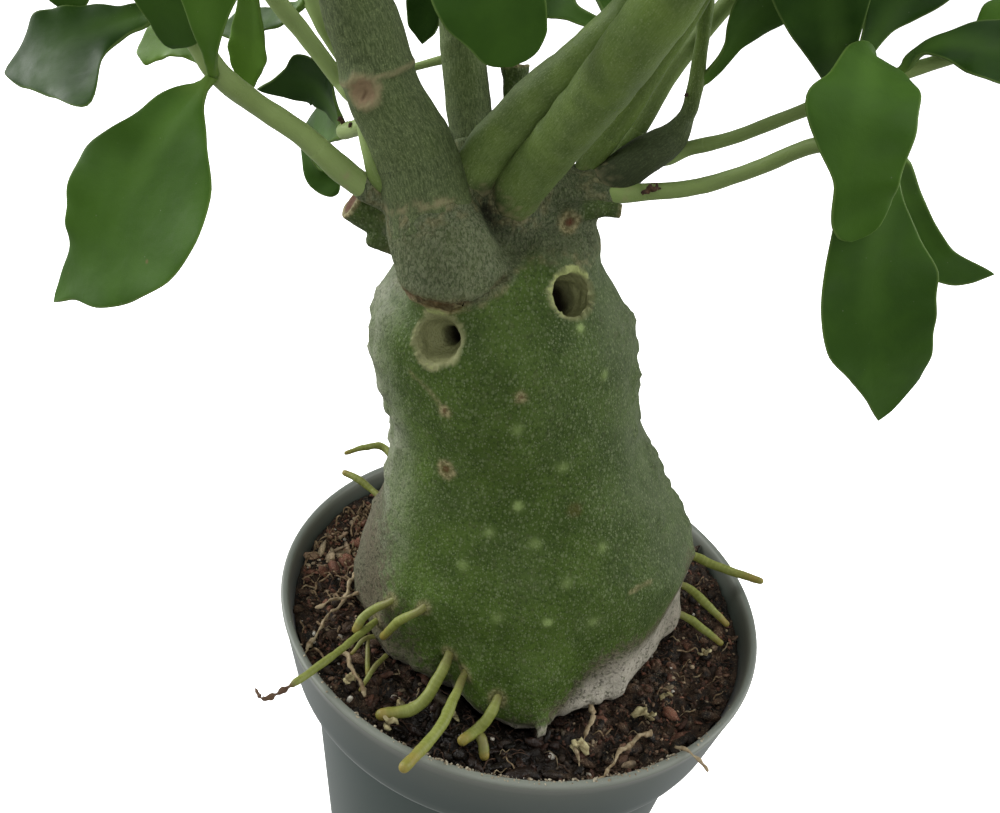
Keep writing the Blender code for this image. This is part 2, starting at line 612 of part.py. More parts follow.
LOW_LEFT = LeafyStem(
    "stem_low_left",
    Tube(((-31.0, -13.5, 201.5), (-37.9, -14.5, 204.8), (-43.6, -16.0, 207.5),
          (-52.1, -20.0, 215.3), (-58.2, -25.0, 220.6), (-61.6, -32.0, 226.4),
          (-66.5, -31.0, 231.5), (-72.0, -30.0, 234.5), (-77.5, -29.0, 241.0),
          (-80.0, -28.0, 250.0)), (2.4, 2.5, 2.4, 2.0, 1.9, 1.9, 1.8, 1.7, 1.6, 1.5), steps=11),
    joint=0.30, foot_steps=4,
    leaves=(
        Leaf(((-61.5, -34.0, 226.5), (-65.0, -44.0, 220.0), (-70.0, -49.0, 209.0),
              (-75.0, -50.0, 199.0), (-84.0, -47.0, 189.0)), (-0.15, -0.75, 0.62),
             (3.5, 5.0, 7.9, 10.6, 9.8, 8.3, 6.3, 3.8),
             (2.3, 7.1, 13.1, 15.9, 15.2, 11.6, 7.2, 2.4)),
        Leaf(((-71.5, -30.0, 234.0), (-78.0, -33.0, 231.0), (-86.0, -36.0, 227.0),
              (-96.0, -34.0, 221.0)), (-0.25, -0.7, 0.6),
             (1.9, 2.5, 3.9, 5.6, 6.1, 6.3, 6.1, 2.6), (2.5, 2.8, 3.7, 6.9, 14.2, 9.6, 6.2, 3.8)),
        Leaf(((-74.5, -29.5, 237.8), (-80.5, -26.5, 246.0), (-86.5, -27.0, 245.5),
              (-88.0, -28.5, 239.0), (-85.5, -29.0, 231.2)), (-0.3, -0.7, 0.6),
             (0.9, 1.4, 2.4, 4.0, 5.6, 6.4, 6.2, 4.6), (0.9, 1.4, 2.6, 4.2, 5.8, 6.6, 6.2, 4.6),
             round_tip=True, wave=0.3, fine=False),
        Leaf(((-62.0, -32.5, 227.0), (-66.0, -29.5, 228.4), (-71.5, -27.0, 228.0),
              (-78.2, -25.0, 225.4)), (0.0, -0.75, 0.65),
             (1.5, 2.4, 3.2, 4.0, 4.6, 4.8, 4.6, 3.6), (1.2, 1.6, 1.8, 2.0, 2.2, 2.4, 2.6, 2.8),
             fine=False),
        Leaf(((-77.0, -29.0, 240.5), (-73.0, -35.5, 243.5), (-69.0, -37.5, 237.5),
              (-67.0, -36.0, 230.0)), (-0.2, -0.85, 0.3),
             (1.4, 3.0, 4.4, 4.8, 4.0, 3.0, 2.4, 2.0), (1.4, 3.0, 4.4, 5.6, 8.0, 9.5, 8.9, 6.8),
             round_tip=True, fine=False),
        Leaf(((-61.3, -34.5, 227.0), (-59.5, -42.0, 235.0), (-58.0, -45.5, 247.0),
              (-57.0, -47.0, 258.0), (-57.0, -50.0, 270.0)), (0.15, -0.85, 0.4),
             (1.3, 2.3, 3.9, 6.5, 8.6, 9.4, 8.4, 5.0), (0.9, 1.6, 3.0, 6.0, 8.2, 9.2, 8.2, 5.0),
             fine=False),
    ),
    crown=(
        CrownLeaf((-79.5, -28.2, 249.0), 190.0, 34.0, 42.0),
        CrownLeaf((-79.5, -28.2, 249.0), 255.0, 34.0, 50.0, 0.2),
    ),
)
BACK_LEFT = LeafyStem(
    "stem_back_left",
    Tube(((-22.0, 0.0, 196.0), (-24.0, 3.0, 206.0), (-27.5, 7.0, 216.6), (-29.9, 9.0, 225.2),
          (-32.4, 12.0, 236.0), (-35.0, 15.0, 250.0), (-38.0, 19.0, 265.0), (-40.0, 22.0, 277.0)),
         (4.6, 4.5, 4.4, 4.3, 4.2, 3.8, 3.2, 2.4), sides=10, steps=9),
    joint=0.22, foot_steps=3,
    shoots=(
        Tube(((-30.0, 9.5, 226.0), (-35.5, 9.5, 223.8), (-42.0, 9.0, 221.0)), (0.9, 0.85, 0.7),
             sides=5, steps=3),
    ),
    leaves=(
        Leaf(((-34.2, 14.0, 247.5), (-37.5, 18.0, 242.0), (-39.0, 19.0, 233.0),
              (-40.0, 18.5, 224.5)), (-0.1, -0.9, 0.3),
             (1.6, 3.0, 4.0, 4.6, 4.8, 4.8, 4.4, 3.6), (1.4, 2.6, 3.2, 3.4, 3.4, 3.2, 2.8, 2.2),
             fine=False),
    ),
    crown=(
        CrownLeaf((-36.5, 17.0, 258.0), 100.0, 42.0, 30.0, 0.3),
        CrownLeaf((-38.2, 19.5, 267.0), 165.0, 40.0, 36.0),
        CrownLeaf((-38.2, 19.5, 267.0), 30.0, 36.0, 40.0),
        CrownLeaf((-40.0, 22.0, 277.0), 110.0, 30.0, 60.0, 0.2),
        CrownLeaf((-40.0, 22.0, 277.0), 290.0, 26.0, 74.0, 0.1),
    ),
)
CENTRE = LeafyStem(
    "stem_centre",
    Tube(((-21.0, -4.0, 199.0), (-23.0, -8.0, 206.5), (-20.6, -9.5, 214.8), (-15.9, -11.5, 221.9),
          (-11.5, -14.0, 228.3), (-7.6, -15.5, 232.3), (-3.5, -18.0, 238.4), (0.0, -20.0, 244.2),
          (1.5, -19.5, 255.0), (1.5, -17.5, 267.0)),
         (4.6, 4.6, 4.5, 4.4, 4.2, 4.2, 3.8, 3.7, 3.3, 2.5), sides=10, steps=8),
    joint=0.62, foot_steps=8,
    leaves=(
        Leaf(((-3.6, -17.8, 240.2), (-9.5, -14.2, 240.6), (-13.7, -10.0, 243.0),
              (-17.5, -5.0, 252.0)), (-0.4, -0.8, 0.3),
             (1.1, 1.4, 1.6, 2.6, 4.0, 4.6, 4.2, 2.6), (0.9, 1.0, 1.2, 2.0, 3.4, 4.2, 4.0, 2.6),
             fine=False),
        Leaf(((-3.0, -17.8, 241.0), (-5.2, -9.0, 243.0), (-5.0, -2.0, 247.5), (-3.5, 3.0, 254.0)),
             (0.3, -0.85, 0.4), (1.0, 1.4, 2.2, 3.2, 4.0, 4.2, 3.6, 2.2),
             (1.0, 1.4, 2.2, 3.2, 4.0, 4.2, 3.6, 2.2), fine=False),
    ),
    crown=(
        CrownLeaf((1.5, -19.0, 258.0), 185.0, 34.0, 52.0, 0.2),
        CrownLeaf((1.5, -17.5, 267.0), 100.0, 30.0, 66.0, 0.15),
        CrownLeaf((1.5, -17.5, 267.0), 290.0, 28.0, 76.0, 0.1),
    ),
)
FRONT = LeafyStem(
    "stem_front",
    Tube(((-14.0, -1.0, 198.0), (-15.2, -8.5, 206.0), (-10.3, -14.8, 217.1), (-5.4, -21.8, 227.0),
          (-1.2, -28.3, 236.1), (1.9, -34.0, 243.6), (5.5, -38.0, 252.0), (9.5, -43.0, 262.0),
          (12.0, -46.0, 273.0)), (4.4, 4.5, 4.5, 4.5, 4.6, 4.5, 4.3, 3.7, 2.8), sides=10, steps=8),
    joint=0.47, foot_steps=6,
    crown=(
        CrownLeaf((9.0, -42.5, 261.0), 205.0, 40.0, 44.0),
        CrownLeaf((9.0, -42.5, 261.0), 340.0, 42.0, 34.0),
        CrownLeaf((12.0, -46.0, 273.0), 268.0, 36.0, 44.0, 0.35),
        CrownLeaf((12.0, -46.0, 273.0), 45.0, 34.0, 56.0, 0.2),
    ),
)
RIGHT_INNER = LeafyStem(
    "stem_right_inner",
    Tube(((-6.0, 1.5, 200.0), (-3.5, 3.5, 208.5), (-2.3, 4.0, 213.0), (2.2, 3.0, 222.9),
          (6.2, 2.0, 233.6), (9.8, 1.0, 243.5), (14.0, -1.0, 257.0), (16.0, -2.0, 269.0)),
         (2.6, 2.6, 2.5, 2.3, 2.2, 2.2, 1.9, 1.5), steps=8),
    joint=0.36, foot_steps=3,
    crown=(
        CrownLeaf((14.3, -1.1, 259.0), 4.0, 32.0, 48.0),
        CrownLeaf((14.3, -1.1, 259.0), 150.0, 36.0, 56.0, 0.2),
        CrownLeaf((16.0, -2.0, 269.0), 260.0, 26.0, 76.0, 0.1),
    ),
)
RIGHT_OUTER = LeafyStem(
    "stem_right_outer",
    Tube(((-1.0, 6.0, 203.0), (2.3, 8.5, 211.9), (5.1, 9.0, 219.2), (8.9, 11.0, 229.3),
          (13.2, 12.5, 237.2), (18.4, 12.5, 246.4), (23.4, 13.5, 257.8), (26.4, 15.0, 269.0)),
         (2.2, 2.2, 1.9, 1.8, 1.7, 1.7, 1.5, 1.2), sides=7, steps=8),
    joint=0.27, foot_steps=3,
    crown=(
        CrownLeaf((22.6, 13.3, 256.0), 72.0, 40.0, 30.0),
        CrownLeaf((26.4, 15.0, 269.0), 15.0, 38.0, 44.0),
        CrownLeaf((26.4, 15.0, 269.0), 130.0, 28.0, 70.0, 0.12),
    ),
)
RIGHT_SHOOT = LeafyStem(
    "stem_right_shoot",
    Tube(((-6.0, 0.0, 203.5), (0.0, 2.0, 207.8), (6.3, 4.0, 214.2), (11.4, 6.3, 218.2),
          (13.3, 7.6, 223.2), (13.6, 7.5, 228.1), (12.9, 7.0, 235.2), (12.2, 7.0, 243.3),
          (12.2, 9.0, 253.4)), (3.9, 3.9, 3.8, 3.0, 1.5, 1.6, 1.3, 1.2, 1.1), steps=8),
    joint=0.47, foot_steps=6,
    leaves=(
        Leaf(((13.6, 8.0, 227.5), (17.0, 6.0, 234.0), (20.0, 4.0, 242.0), (27.0, 0.0, 256.0),
              (31.0, -3.0, 266.0)), (0.35, -0.85, -0.3),
             (1.3, 1.6, 2.0, 4.5, 6.5, 8.0, 8.0, 5.0), (0.9, 1.0, 1.5, 3.8, 6.0, 7.5, 7.5, 4.5),
             fine=False),
    ),
    crown=(
        CrownLeaf((12.2, 8.7, 252.0), 128.0, 38.0, 36.0),
    ),
)
RIGHT_FAR = LeafyStem(
    "stem_right_far",
    Tube(((8.0, 5.0, 214.0), (11.5, 7.0, 214.5), (15.3, 8.0, 216.6), (22.1, 6.0, 220.3),
          (32.3, 2.0, 228.1), (41.4, -3.0, 235.6), (46.5, -6.0, 239.6), (52.0, -9.0, 243.5)),
         (1.6, 1.6, 1.4, 1.3, 1.25, 1.2, 1.2, 1.1), sides=7, steps=9),
    joint=0.35, foot_steps=3,
    leaves=(
        Leaf(((37.0, -0.5, 231.9), (33.5, -8.0, 240.5), (29.0, -12.0, 250.0), (24.5, -14.5, 262.0),
              (21.0, -16.0, 274.0)), (0.25, -0.85, -0.3),
             (1.9, 2.9, 4.3, 6.5, 8.8, 10.0, 9.5, 6.0), (2.0, 3.8, 5.7, 7.6, 9.4, 10.2, 9.2, 5.8),
             fine=False),
        Leaf(((37.6, -1.0, 232.4), (41.0, 2.5, 241.0), (44.0, 5.0, 249.0), (48.0, 8.0, 259.0),
              (52.0, 10.0, 268.0)), (0.1, -0.85, 0.35),
             (0.9, 1.0, 1.6, 4.0, 6.5, 8.0, 8.0, 5.2), (1.2, 2.2, 3.8, 6.4, 8.4, 9.3, 8.5, 5.2),
             fine=False),
        Leaf(((41.4, -3.0, 235.6), (38.0, -14.0, 242.0), (35.3, -30.0, 238.5),
              (35.5, -37.0, 229.0), (38.5, -36.0, 219.5)), (0.05, -0.8, 0.6),
             (1.5, 3.0, 4.6, 6.0, 8.9, 5.9, 2.9, 3.5), (1.5, 4.0, 6.5, 7.7, 7.7, 7.1, 6.6, 6.2),
             round_tip=True, wave=0.3),
        Leaf(((45.0, -5.2, 238.6), (47.0, -9.5, 244.0), (54.0, -13.0, 246.0), (64.0, -18.0, 245.0),
              (76.0, -25.0, 239.0)), (0.1, -0.6, 0.75),
             (1.0, 1.4, 3.2, 5.2, 7.6, 8.0, 7.2, 4.8), (1.4, 1.8, 2.6, 4.2, 6.0, 7.5, 7.0, 4.5),
             fine=False),
    ),
    crown=(
        CrownLeaf((51.5, -8.8, 243.2), 20.0, 38.0, 40.0),
    ),
)
LOW_RIGHT = LeafyStem(
    "stem_low_right",
    Tube(((-3.0, -1.0, 203.5), (0.5, -1.0, 207.3), (7.2, 1.0, 208.6), (17.6, 0.0, 212.0),
          (26.8, -4.0, 218.6), (33.6, -9.0, 225.2), (39.9, -15.0, 229.0), (44.5, -20.0, 230.0)),
         (1.9, 1.9, 1.7, 1.5, 1.4, 1.4, 1.3, 1.2), sides=7, steps=9),
    joint=0.31, foot_steps=3,
    leaves=(
        Leaf(((44.0, -19.5, 230.0), (43.5, -26.5, 222.5), (45.0, -31.0, 210.0),
              (49.0, -32.0, 199.0), (55.0, -28.0, 186.0)), (0.0, -0.85, 0.5),
             (2.3, 4.9, 7.0, 7.2, 7.8, 7.5, 4.5, 1.9),
             (1.9, 3.5, 6.8, 10.0, 10.1, 10.0, 9.8, 8.1)),
        Leaf(((44.5, -19.5, 230.0), (52.0, -12.0, 220.0), (61.0, -10.0, 211.0),
              (70.0, -12.0, 210.0)), (-0.35, -0.8, 0.4),
             (0.9, 0.9, 1.4, 2.8, 4.0, 4.4, 4.0, 2.6), (1.8, 2.0, 2.0, 2.0, 2.1, 1.9, 1.5, 0.9)),
    ),
)
LEAFY_STEMS = (MAIN_LEFT, LOW_LEFT, BACK_LEFT, CENTRE, FRONT, RIGHT_INNER, RIGHT_OUTER,
               RIGHT_SHOOT, RIGHT_FAR, LOW_RIGHT)


def material(name, colour, roughness):
    """Make a plain material."""
    made = bpy.data.materials.new(name)
    made.use_nodes = True
    shader = made.node_tree.nodes["Principled BSDF"]
    shader.inputs["Base Color"].default_value = (*colour, 1.0)
    shader.inputs["Roughness"].default_value = roughness
    made.diffuse_color = (*colour, 1.0)
    return made


def mesh_object(name, body):
    """Make an object from vertices in millimetres and faces, closed and facing outwards."""
    verts, faces = body
    mesh = bpy.data.meshes.new(name)
    mesh.from_pydata([tuple(MM * float(value) for value in vert) for vert in verts], [], faces)
    mesh.update()
    work = bmesh.new()
    work.from_mesh(mesh)
    bmesh.ops.recalc_face_normals(work, faces=work.faces)
    bmesh.ops.triangulate(work, faces=[face for face in work.faces if len(face.verts) > 3])
    work.to_mesh(mesh)
    work.free()
    made = bpy.data.objects.new(name, mesh)
    bpy.context.scene.collection.objects.link(made)
    return made


def combine(body, tools, operation):
    """Join the tools to the body or cut them from it, with one modifier.

    Args:
        body: Object that is changed.
        tools: Objects that are joined or cut, and removed afterwards.
        operation: UNION or DIFFERENCE.
    """
    group = bpy.data.collections.new("tools")
    bpy.context.scene.collection.children.link(group)
    for tool in tools:
        bpy.context.scene.collection.objects.unlink(tool)
        group.objects.link(tool)
    change = body.modifiers.new("combine", "BOOLEAN")
    change.operation = operation
    change.operand_type = "COLLECTION"
    change.collection = group
    change.solver = "EXACT"
    graph = bpy.context.evaluated_depsgraph_get()
    result = bpy.data.meshes.new_from_object(body.evaluated_get(graph))
    body.modifiers.remove(change)
    old = body.data
    body.data = result
    bpy.data.meshes.remove(old)
    for tool in tools:
        bpy.data.objects.remove(tool)
    bpy.data.collections.remove(group)


def finish(body, finish_material, smooth_angle=40.0):
    """Drop loose scraps and give the object its name, material and shading."""
    work = bmesh.new()
    work.from_mesh(body.data)
    bmesh.ops.remove_doubles(work, verts=work.verts, dist=MERGE_DISTANCE)
    bmesh.ops.dissolve_degenerate(work, edges=work.edges, dist=MERGE_DISTANCE)
    bmesh.ops.dissolve_limit(work, angle_limit=math.radians(FLAT_ANGLE), verts=work.verts,
                             edges=work.edges)
    bmesh.ops.triangulate(work, faces=[face for face in work.faces if len(face.verts) > 3])
    keep_largest(work)
    work.to_mesh(body.data)
    work.free()
    body.data.name = body.name
    body.data.materials.clear()
    body.data.materials.append(finish_material)
    body.data.set_sharp_from_angle(angle=math.radians(smooth_angle))


def keep_largest(work):
    """Delete every separate shell but the one with the most faces."""
    left = set(work.faces)
    shells = []
    while left:
        todo = [left.pop()]
        shell = set(todo)
        while todo:
            face = todo.pop()
            for edge in face.edges:
                for other in edge.link_faces:
                    if other in left:
                        left.discard(other)
                        shell.add(other)
                        todo.append(other)
        shells.append(shell)
    shells.sort(key=len)
    scraps = [face for shell in shells[:-1] for face in shell]
    if scraps:
        bmesh.ops.delete(work, geom=scraps, context="FACES")
        loose = [vert for vert in work.verts if not vert.link_faces]
        bmesh.ops.delete(work, geom=loose, context="VERTS")


def build_pot():
    """Build the pot with its drain holes."""
    pot = mesh_object("pot", pot_body())
    cutters = [mesh_object("cutter", hole) for hole in drain_holes()]
    combine(pot, cutters, "DIFFERENCE")
    finish(pot, material("pot plastic", (0.045, 0.075, 0.07), 0.55))
    return pot


def build_soil():
    """Build the potting mix."""
    soil = mesh_object("soil", soil_body())
    finish(soil, material("potting mix", (0.035, 0.02, 0.014), 0.95))
    return soil


def build_caudex():
    """Build the caudex with the feet of its stems, cut stubs, roots and warts."""
    rng = random.Random(5)
    caudex = mesh_object("caudex", caudex_body())
    parts = [tube(spec) for spec in (BACK_NECK, *CUT_STUBS, *ROOTS)]
    for spec in LEAFY_STEMS:
        foot = replace(spec.stem, last=spec.joint, steps=spec.foot_steps, rounded=False)
        parts.append(tube(foot))
    parts += [wart(math.radians(degrees), height, rng) for degrees, height in WARTS]
    combine(caudex, [mesh_object("tool", part) for part in parts], "UNION")
    holes = [mesh_object("cutter", tube(hole)) for hole in ANT_HOLES]
    combine(caudex, holes, "DIFFERENCE")
    finish(caudex, material("caudex skin", (0.06, 0.10, 0.03), 0.6))
    return caudex


def build_stem(spec):
    """Build a leafy stem as one piece, from its joint upwards."""
    rng = random.Random(spec.name)
    stem = mesh_object(spec.name, tube(replace(spec.stem, first=spec.joint)))
    parts = [tube(shoot) for shoot in spec.shoots]
    parts += [leaf_blade(leaf) for leaf in spec.leaves]
    parts += [leaf_blade(crown_leaf(leaf, rng)) for leaf in spec.crown]
    if parts:
        combine(stem, [mesh_object("tool", part) for part in parts], "UNION")
    finish(stem, material(spec.name + " green", (0.05, 0.13, 0.02), 0.4))
    return stem


def clear_scene():
    """Remove whatever the new file starts with."""
    for item in list(bpy.data.objects):
        bpy.data.objects.remove(item)


def main():
    """Build every piece of the plant."""
    clear_scene()
    build_pot()
    build_soil()
    build_caudex()
    for spec in LEAFY_STEMS:
        build_stem(spec)


if __name__ == "__main__":
    main()
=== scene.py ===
"""Potted ant plant: a swollen green caudex with leafy stems, in a round nursery pot.

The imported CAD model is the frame. It gives every piece's place, and finer pieces of the same
form stand for its nodes here. Lengths are millimetres in the frame's own axes until a mesh is
made, where MM turns them into metres. The plant's front faces -Y and the pot stands on Z = 0.
"""

from __future__ import annotations

import itertools
import logging
import math
import random
from dataclasses import dataclass, field
from enum import Enum
from functools import cache, cached_property

import bpy
import numpy as np
from mathutils import Matrix, Vector


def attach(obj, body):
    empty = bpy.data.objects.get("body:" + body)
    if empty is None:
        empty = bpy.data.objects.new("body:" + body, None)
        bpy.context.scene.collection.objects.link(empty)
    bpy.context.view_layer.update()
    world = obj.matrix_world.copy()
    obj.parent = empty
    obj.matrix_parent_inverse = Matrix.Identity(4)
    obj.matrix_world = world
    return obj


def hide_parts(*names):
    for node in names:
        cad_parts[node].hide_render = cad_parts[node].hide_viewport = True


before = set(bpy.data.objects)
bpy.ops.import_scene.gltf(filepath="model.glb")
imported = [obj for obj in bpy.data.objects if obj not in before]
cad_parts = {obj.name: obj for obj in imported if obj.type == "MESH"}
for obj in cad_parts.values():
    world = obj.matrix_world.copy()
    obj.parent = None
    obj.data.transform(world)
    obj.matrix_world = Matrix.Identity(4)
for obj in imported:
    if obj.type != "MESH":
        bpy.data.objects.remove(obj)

LOG = logging.getLogger("ant_plant")
MM = 0.001
FAR = 1000.0

Vec = tuple[float, float, float]
Colour = tuple[float, float, float, float]


def paint(red: int, green: int, blue: int) -> Colour:
    """Turn a colour as it is seen on a screen into a linear one.

    Args:
        red: Red from 0 to 255.
        green: Green from 0 to 255.
        blue: Blue from 0 to 255.

    Returns:
        The linear colour with an alpha of one.
    """
    linear = []
    for value in (red, green, blue):
        share = value / 255.0
        linear.append(share / 12.92 if share <= 0.04045 else ((share + 0.055) / 1.055) ** 2.4)
    return (linear[0], linear[1], linear[2], 1.0)


# Curves and noise


def unit(vector: np.ndarray) -> np.ndarray:
    """Return the vector, or each row of vectors, at a length of one."""
    vector = np.asarray(vector, dtype=float)
    return vector / np.maximum(np.linalg.norm(vector, axis=-1, keepdims=True), 1e-9)


def smoothstep(low: float, high: float, value: np.ndarray) -> np.ndarray:
    """Return 0 below low, 1 above high and an eased blend between them."""
    share = np.clip((np.asarray(value, dtype=float) - low) / (high - low), 0.0, 1.0)
    return share * share * (3.0 - 2.0 * share)


def bell(distance: np.ndarray, width: float) -> np.ndarray:
    """Return 1 at no distance, falling to nothing over about twice the width."""
    return np.exp(-0.5 * (distance / width) ** 2)


def away_from(points: np.ndarray, place: Vec | np.ndarray) -> np.ndarray:
    """Return how far points are from a place."""
    return np.linalg.norm(points - np.array(place), axis=1)


def length_of(line: np.ndarray) -> float:
    """Return the length of a line of points."""
    return float(np.linalg.norm(np.diff(line, axis=0), axis=1).sum())


def spline(points: tuple[Vec, ...], shares: np.ndarray) -> np.ndarray:
    """Follow a smooth curve through control points.

    Args:
        points: Control points.
        shares: Places along the curve, from 0 at the first point to 1 at the last.

    Returns:
        A point for each share.
    """
    control = np.asarray(points, dtype=float)
    last = len(control) - 1
    place = np.clip(shares, 0.0, 1.0) * last
    if last == 1:
        return control[0] + (control[1] - control[0]) * place[:, None]
    padded = np.vstack([2 * control[0] - control[1], control, 2 * control[-1] - control[-2]])
    index = np.minimum(place.astype(int), last - 1)
    t = (place - index)[:, None]
    before, start, end, after = (padded[index + step] for step in range(4))
    return 0.5 * (2 * start + (end - before) * t
                  + (2 * before - 5 * start + 4 * end - after) * t * t
                  + (3 * start - before - 3 * end + after) * t ** 3)


def steady(knots: np.ndarray, values: np.ndarray, places: np.ndarray) -> np.ndarray:
    """Interpolate smoothly without overshooting the values.

    Args:
        knots: Rising places of the known values.
        values: The known values.
        places: Where the result is wanted.

    Returns:
        A value for each place, held constant outside the knots.
    """
    knots = np.asarray(knots, dtype=float)
    values = np.asarray(values, dtype=float)
    steps = np.diff(knots)
    slopes = np.diff(values) / steps
    product = slopes[:-1] * slopes[1:]
    total = slopes[:-1] + slopes[1:]
    inner = np.where(product > 0, 2.0 * product / np.where(product > 0, total, 1.0), 0.0)
    tangents = np.concatenate([slopes[:1], inner, slopes[-1:]])
    index = np.clip(np.searchsorted(knots, places, "right") - 1, 0, len(steps) - 1)
    step = steps[index]
    t = np.clip((places - knots[index]) / step, 0.0, 1.0)
    return ((2 * t ** 3 - 3 * t ** 2 + 1) * values[index]
            + (t ** 3 - 2 * t ** 2 + t) * step * tangents[index]
            + (3 * t ** 2 - 2 * t ** 3) * values[index + 1]
            + (t ** 3 - t ** 2) * step * tangents[index + 1])


def noise(points: np.ndarray, size: float, seed: int) -> np.ndarray:
    """Give smooth noise from -1 to 1 that depends only on the place.

    Args:
        points: Places in millimetres, a row each.
        size: Size of a lump in millimetres.
        seed: Number of the pattern.

    Returns:
        A value for each place.
    """
    place = np.asarray(points, dtype=float) / size
    cell = np.floor(place).astype(np.int64)
    share = place - cell
    share = share * share * (3.0 - 2.0 * share)
    total = np.zeros(len(place))
    for corner in itertools.product((0, 1), repeat=3):
        key = cell + corner
        code = (key[:, 0] * 73856093) ^ (key[:, 1] * 19349663) ^ (key[:, 2] * 83492791)
        code = (code ^ (seed * 7919 + 12345)) & 0xFFFFFF
        code = (code * 1664525 + 1013904223) & 0xFFFFFFFF
        code = ((code ^ (code >> 15)) * 22695477) & 0xFFFFFFFF
        code = code ^ (code >> 13)
        weight = np.ones(len(place))
        for axis, side in enumerate(corner):
            weight = weight * (share[:, axis] if side else 1.0 - share[:, axis])
        total += weight * ((code & 0xFFFF) / 32767.5 - 1.0)
    return total


def rough(points: np.ndarray, size: float, seed: int) -> np.ndarray:
    """Give noise with three sizes of lumps, each half of the one before."""
    return (noise(points, size, seed) + 0.5 * noise(points, size / 2, seed + 1)
            + 0.25 * noise(points, size / 4, seed + 2)) / 1.75


def path_distance(points: np.ndarray, path: np.ndarray, radii: np.ndarray) -> np.ndarray:
    """Measure how far points are from a round rod along a path.

    Args:
        points: Places in millimetres.
        path: Points of the rod's centre line.
        radii: The rod's radius at each point of the path.

    Returns:
        Distance from the rod's skin, negative inside, and large far away from it.
    """
    nearest = np.full(len(points), FAR)
    reach = float(np.max(radii)) + 12.0
    close = np.all((points > path.min(0) - reach) & (points < path.max(0) + reach), axis=1)
    inside = points[close]
    result = np.full(len(inside), FAR)
    for start, end, first, last in zip(path[:-1], path[1:], radii[:-1], radii[1:]):
        line = end - start
        t = np.clip((inside - start) @ line / max(float(line @ line), 1e-9), 0.0, 1.0)
        away = inside - start - t[:, None] * line
        gap = np.sqrt(np.einsum("ij,ij->i", away, away)) - (first + (last - first) * t)
        result = np.minimum(result, gap)
    nearest[close] = result
    return nearest


def soft_join(first: np.ndarray, second: np.ndarray, fillet: float) -> np.ndarray:
    """Join two distance fields with a fillet where they meet."""
    overlap = np.maximum(fillet - np.abs(first - second), 0.0) / fillet
    return np.minimum(first, second) - overlap * overlap * fillet * 0.25


# Shapes on their way to a mesh


@dataclass
class Shape:
    """Points and faces in millimetres, with named values at each point.

    Args:
        points: A row for each point.
        quads: Four point numbers a row.
        triangles: Three point numbers a row.
        values: One number, or a row of three, at each point by name.
    """

    points: np.ndarray
    quads: np.ndarray
    triangles: np.ndarray = field(default_factory=lambda: np.zeros((0, 3), dtype=int))
    values: dict[str, np.ndarray] = field(default_factory=dict)

    @staticmethod
    def joined(shapes: list[Shape]) -> Shape:
        """Put several shapes in one.

        Args:
            shapes: The shapes; a value that one of them lacks is 0 there.

        Returns:
            A shape that holds all of them.
        """
        starts = np.cumsum([0] + [len(shape.points) for shape in shapes])
        names = sorted({name for shape in shapes for name in shape.values})
        values = {}
        for name in names:
            sample = next(shape.values[name] for shape in shapes if name in shape.values)
            parts = [shape.values.get(name, np.zeros((len(shape.points), *sample.shape[1:])))
                     for shape in shapes]
            values[name] = np.concatenate(parts)
        return Shape(
            np.vstack([shape.points for shape in shapes]),
            np.vstack([shape.quads + start for shape, start in zip(shapes, starts)]),
            np.vstack([shape.triangles + start for shape, start in zip(shapes, starts)]),
            values)

    def to_object(self, name: str) -> bpy.types.Object:
        """Make a smoothly shaded mesh object of the shape.

        Args:
            name: Name of the object.

        Returns:
            The object, linked to the scene.
        """
        mesh = bpy.data.meshes.new(name)
        faces = self.quads.tolist() + self.triangles.tolist()
        mesh.from_pydata((self.points * MM).tolist(), [], faces)
        mesh.update()
        mesh.shade_smooth()
        made = bpy.data.objects.new(name, mesh)
        bpy.context.scene.collection.objects.link(made)
        write_values(made, self.values)
        return made


def write_values(made: bpy.types.Object, values: dict[str, np.ndarray]) -> None:
    """Store named values on a mesh, where its material reads them.

    Args:
        made: The mesh object.
        values: One number, or a row of three, at each vertex by name.
    """
    for name, numbers in values.items():
        numbers = np.asarray(numbers, dtype=np.float32)
        kind, key = ("FLOAT_VECTOR", "vector") if numbers.ndim == 2 else ("FLOAT", "value")
        layer = made.data.attributes.new(name, kind, "POINT")
        layer.data.foreach_set(key, numbers.ravel())


def read_points(made: bpy.types.Object) -> np.ndarray:
    """Return a mesh's vertices in millimetres.

    Args:
        made: The mesh object.

    Returns:
        A row for each vertex.
    """
    flat = np.zeros(len(made.data.vertices) * 3, dtype=np.float32)
    made.data.vertices.foreach_get("co", flat)
    return flat.reshape(-1, 3).astype(float) / MM


def write_points(made: bpy.types.Object, points: np.ndarray) -> None:
    """Move a mesh's vertices to places in millimetres."""
    made.data.vertices.foreach_set("co", (points * MM).astype(np.float32).ravel())
    made.data.update()


def apply_modifiers(made: bpy.types.Object) -> None:
    """Turn what an object's modifiers make of it into its mesh.

    Args:
        made: The object, which is changed.
    """
    graph = bpy.context.evaluated_depsgraph_get()
    result = bpy.data.meshes.new_from_object(made.evaluated_get(graph))
    made.modifiers.clear()
    old = made.data
    made.data = result
    bpy.data.meshes.remove(old)


def net(rows: int, columns: int, closed: bool) -> np.ndarray:
    """Number the quads of a net of points.

    Args:
        rows: Number of rows.
        columns: Number of points in each row.
        closed: True where each row is a ring.

    Returns:
        Four point numbers a row.
    """
    numbers = np.arange(rows * columns).reshape(rows, columns)
    if closed:
        numbers = np.hstack([numbers, numbers[:, :1]])
    corners = (numbers[:-1, :-1], numbers[:-1, 1:], numbers[1:, 1:], numbers[1:, :-1])
    return np.stack([corner.ravel() for corner in corners], axis=1)


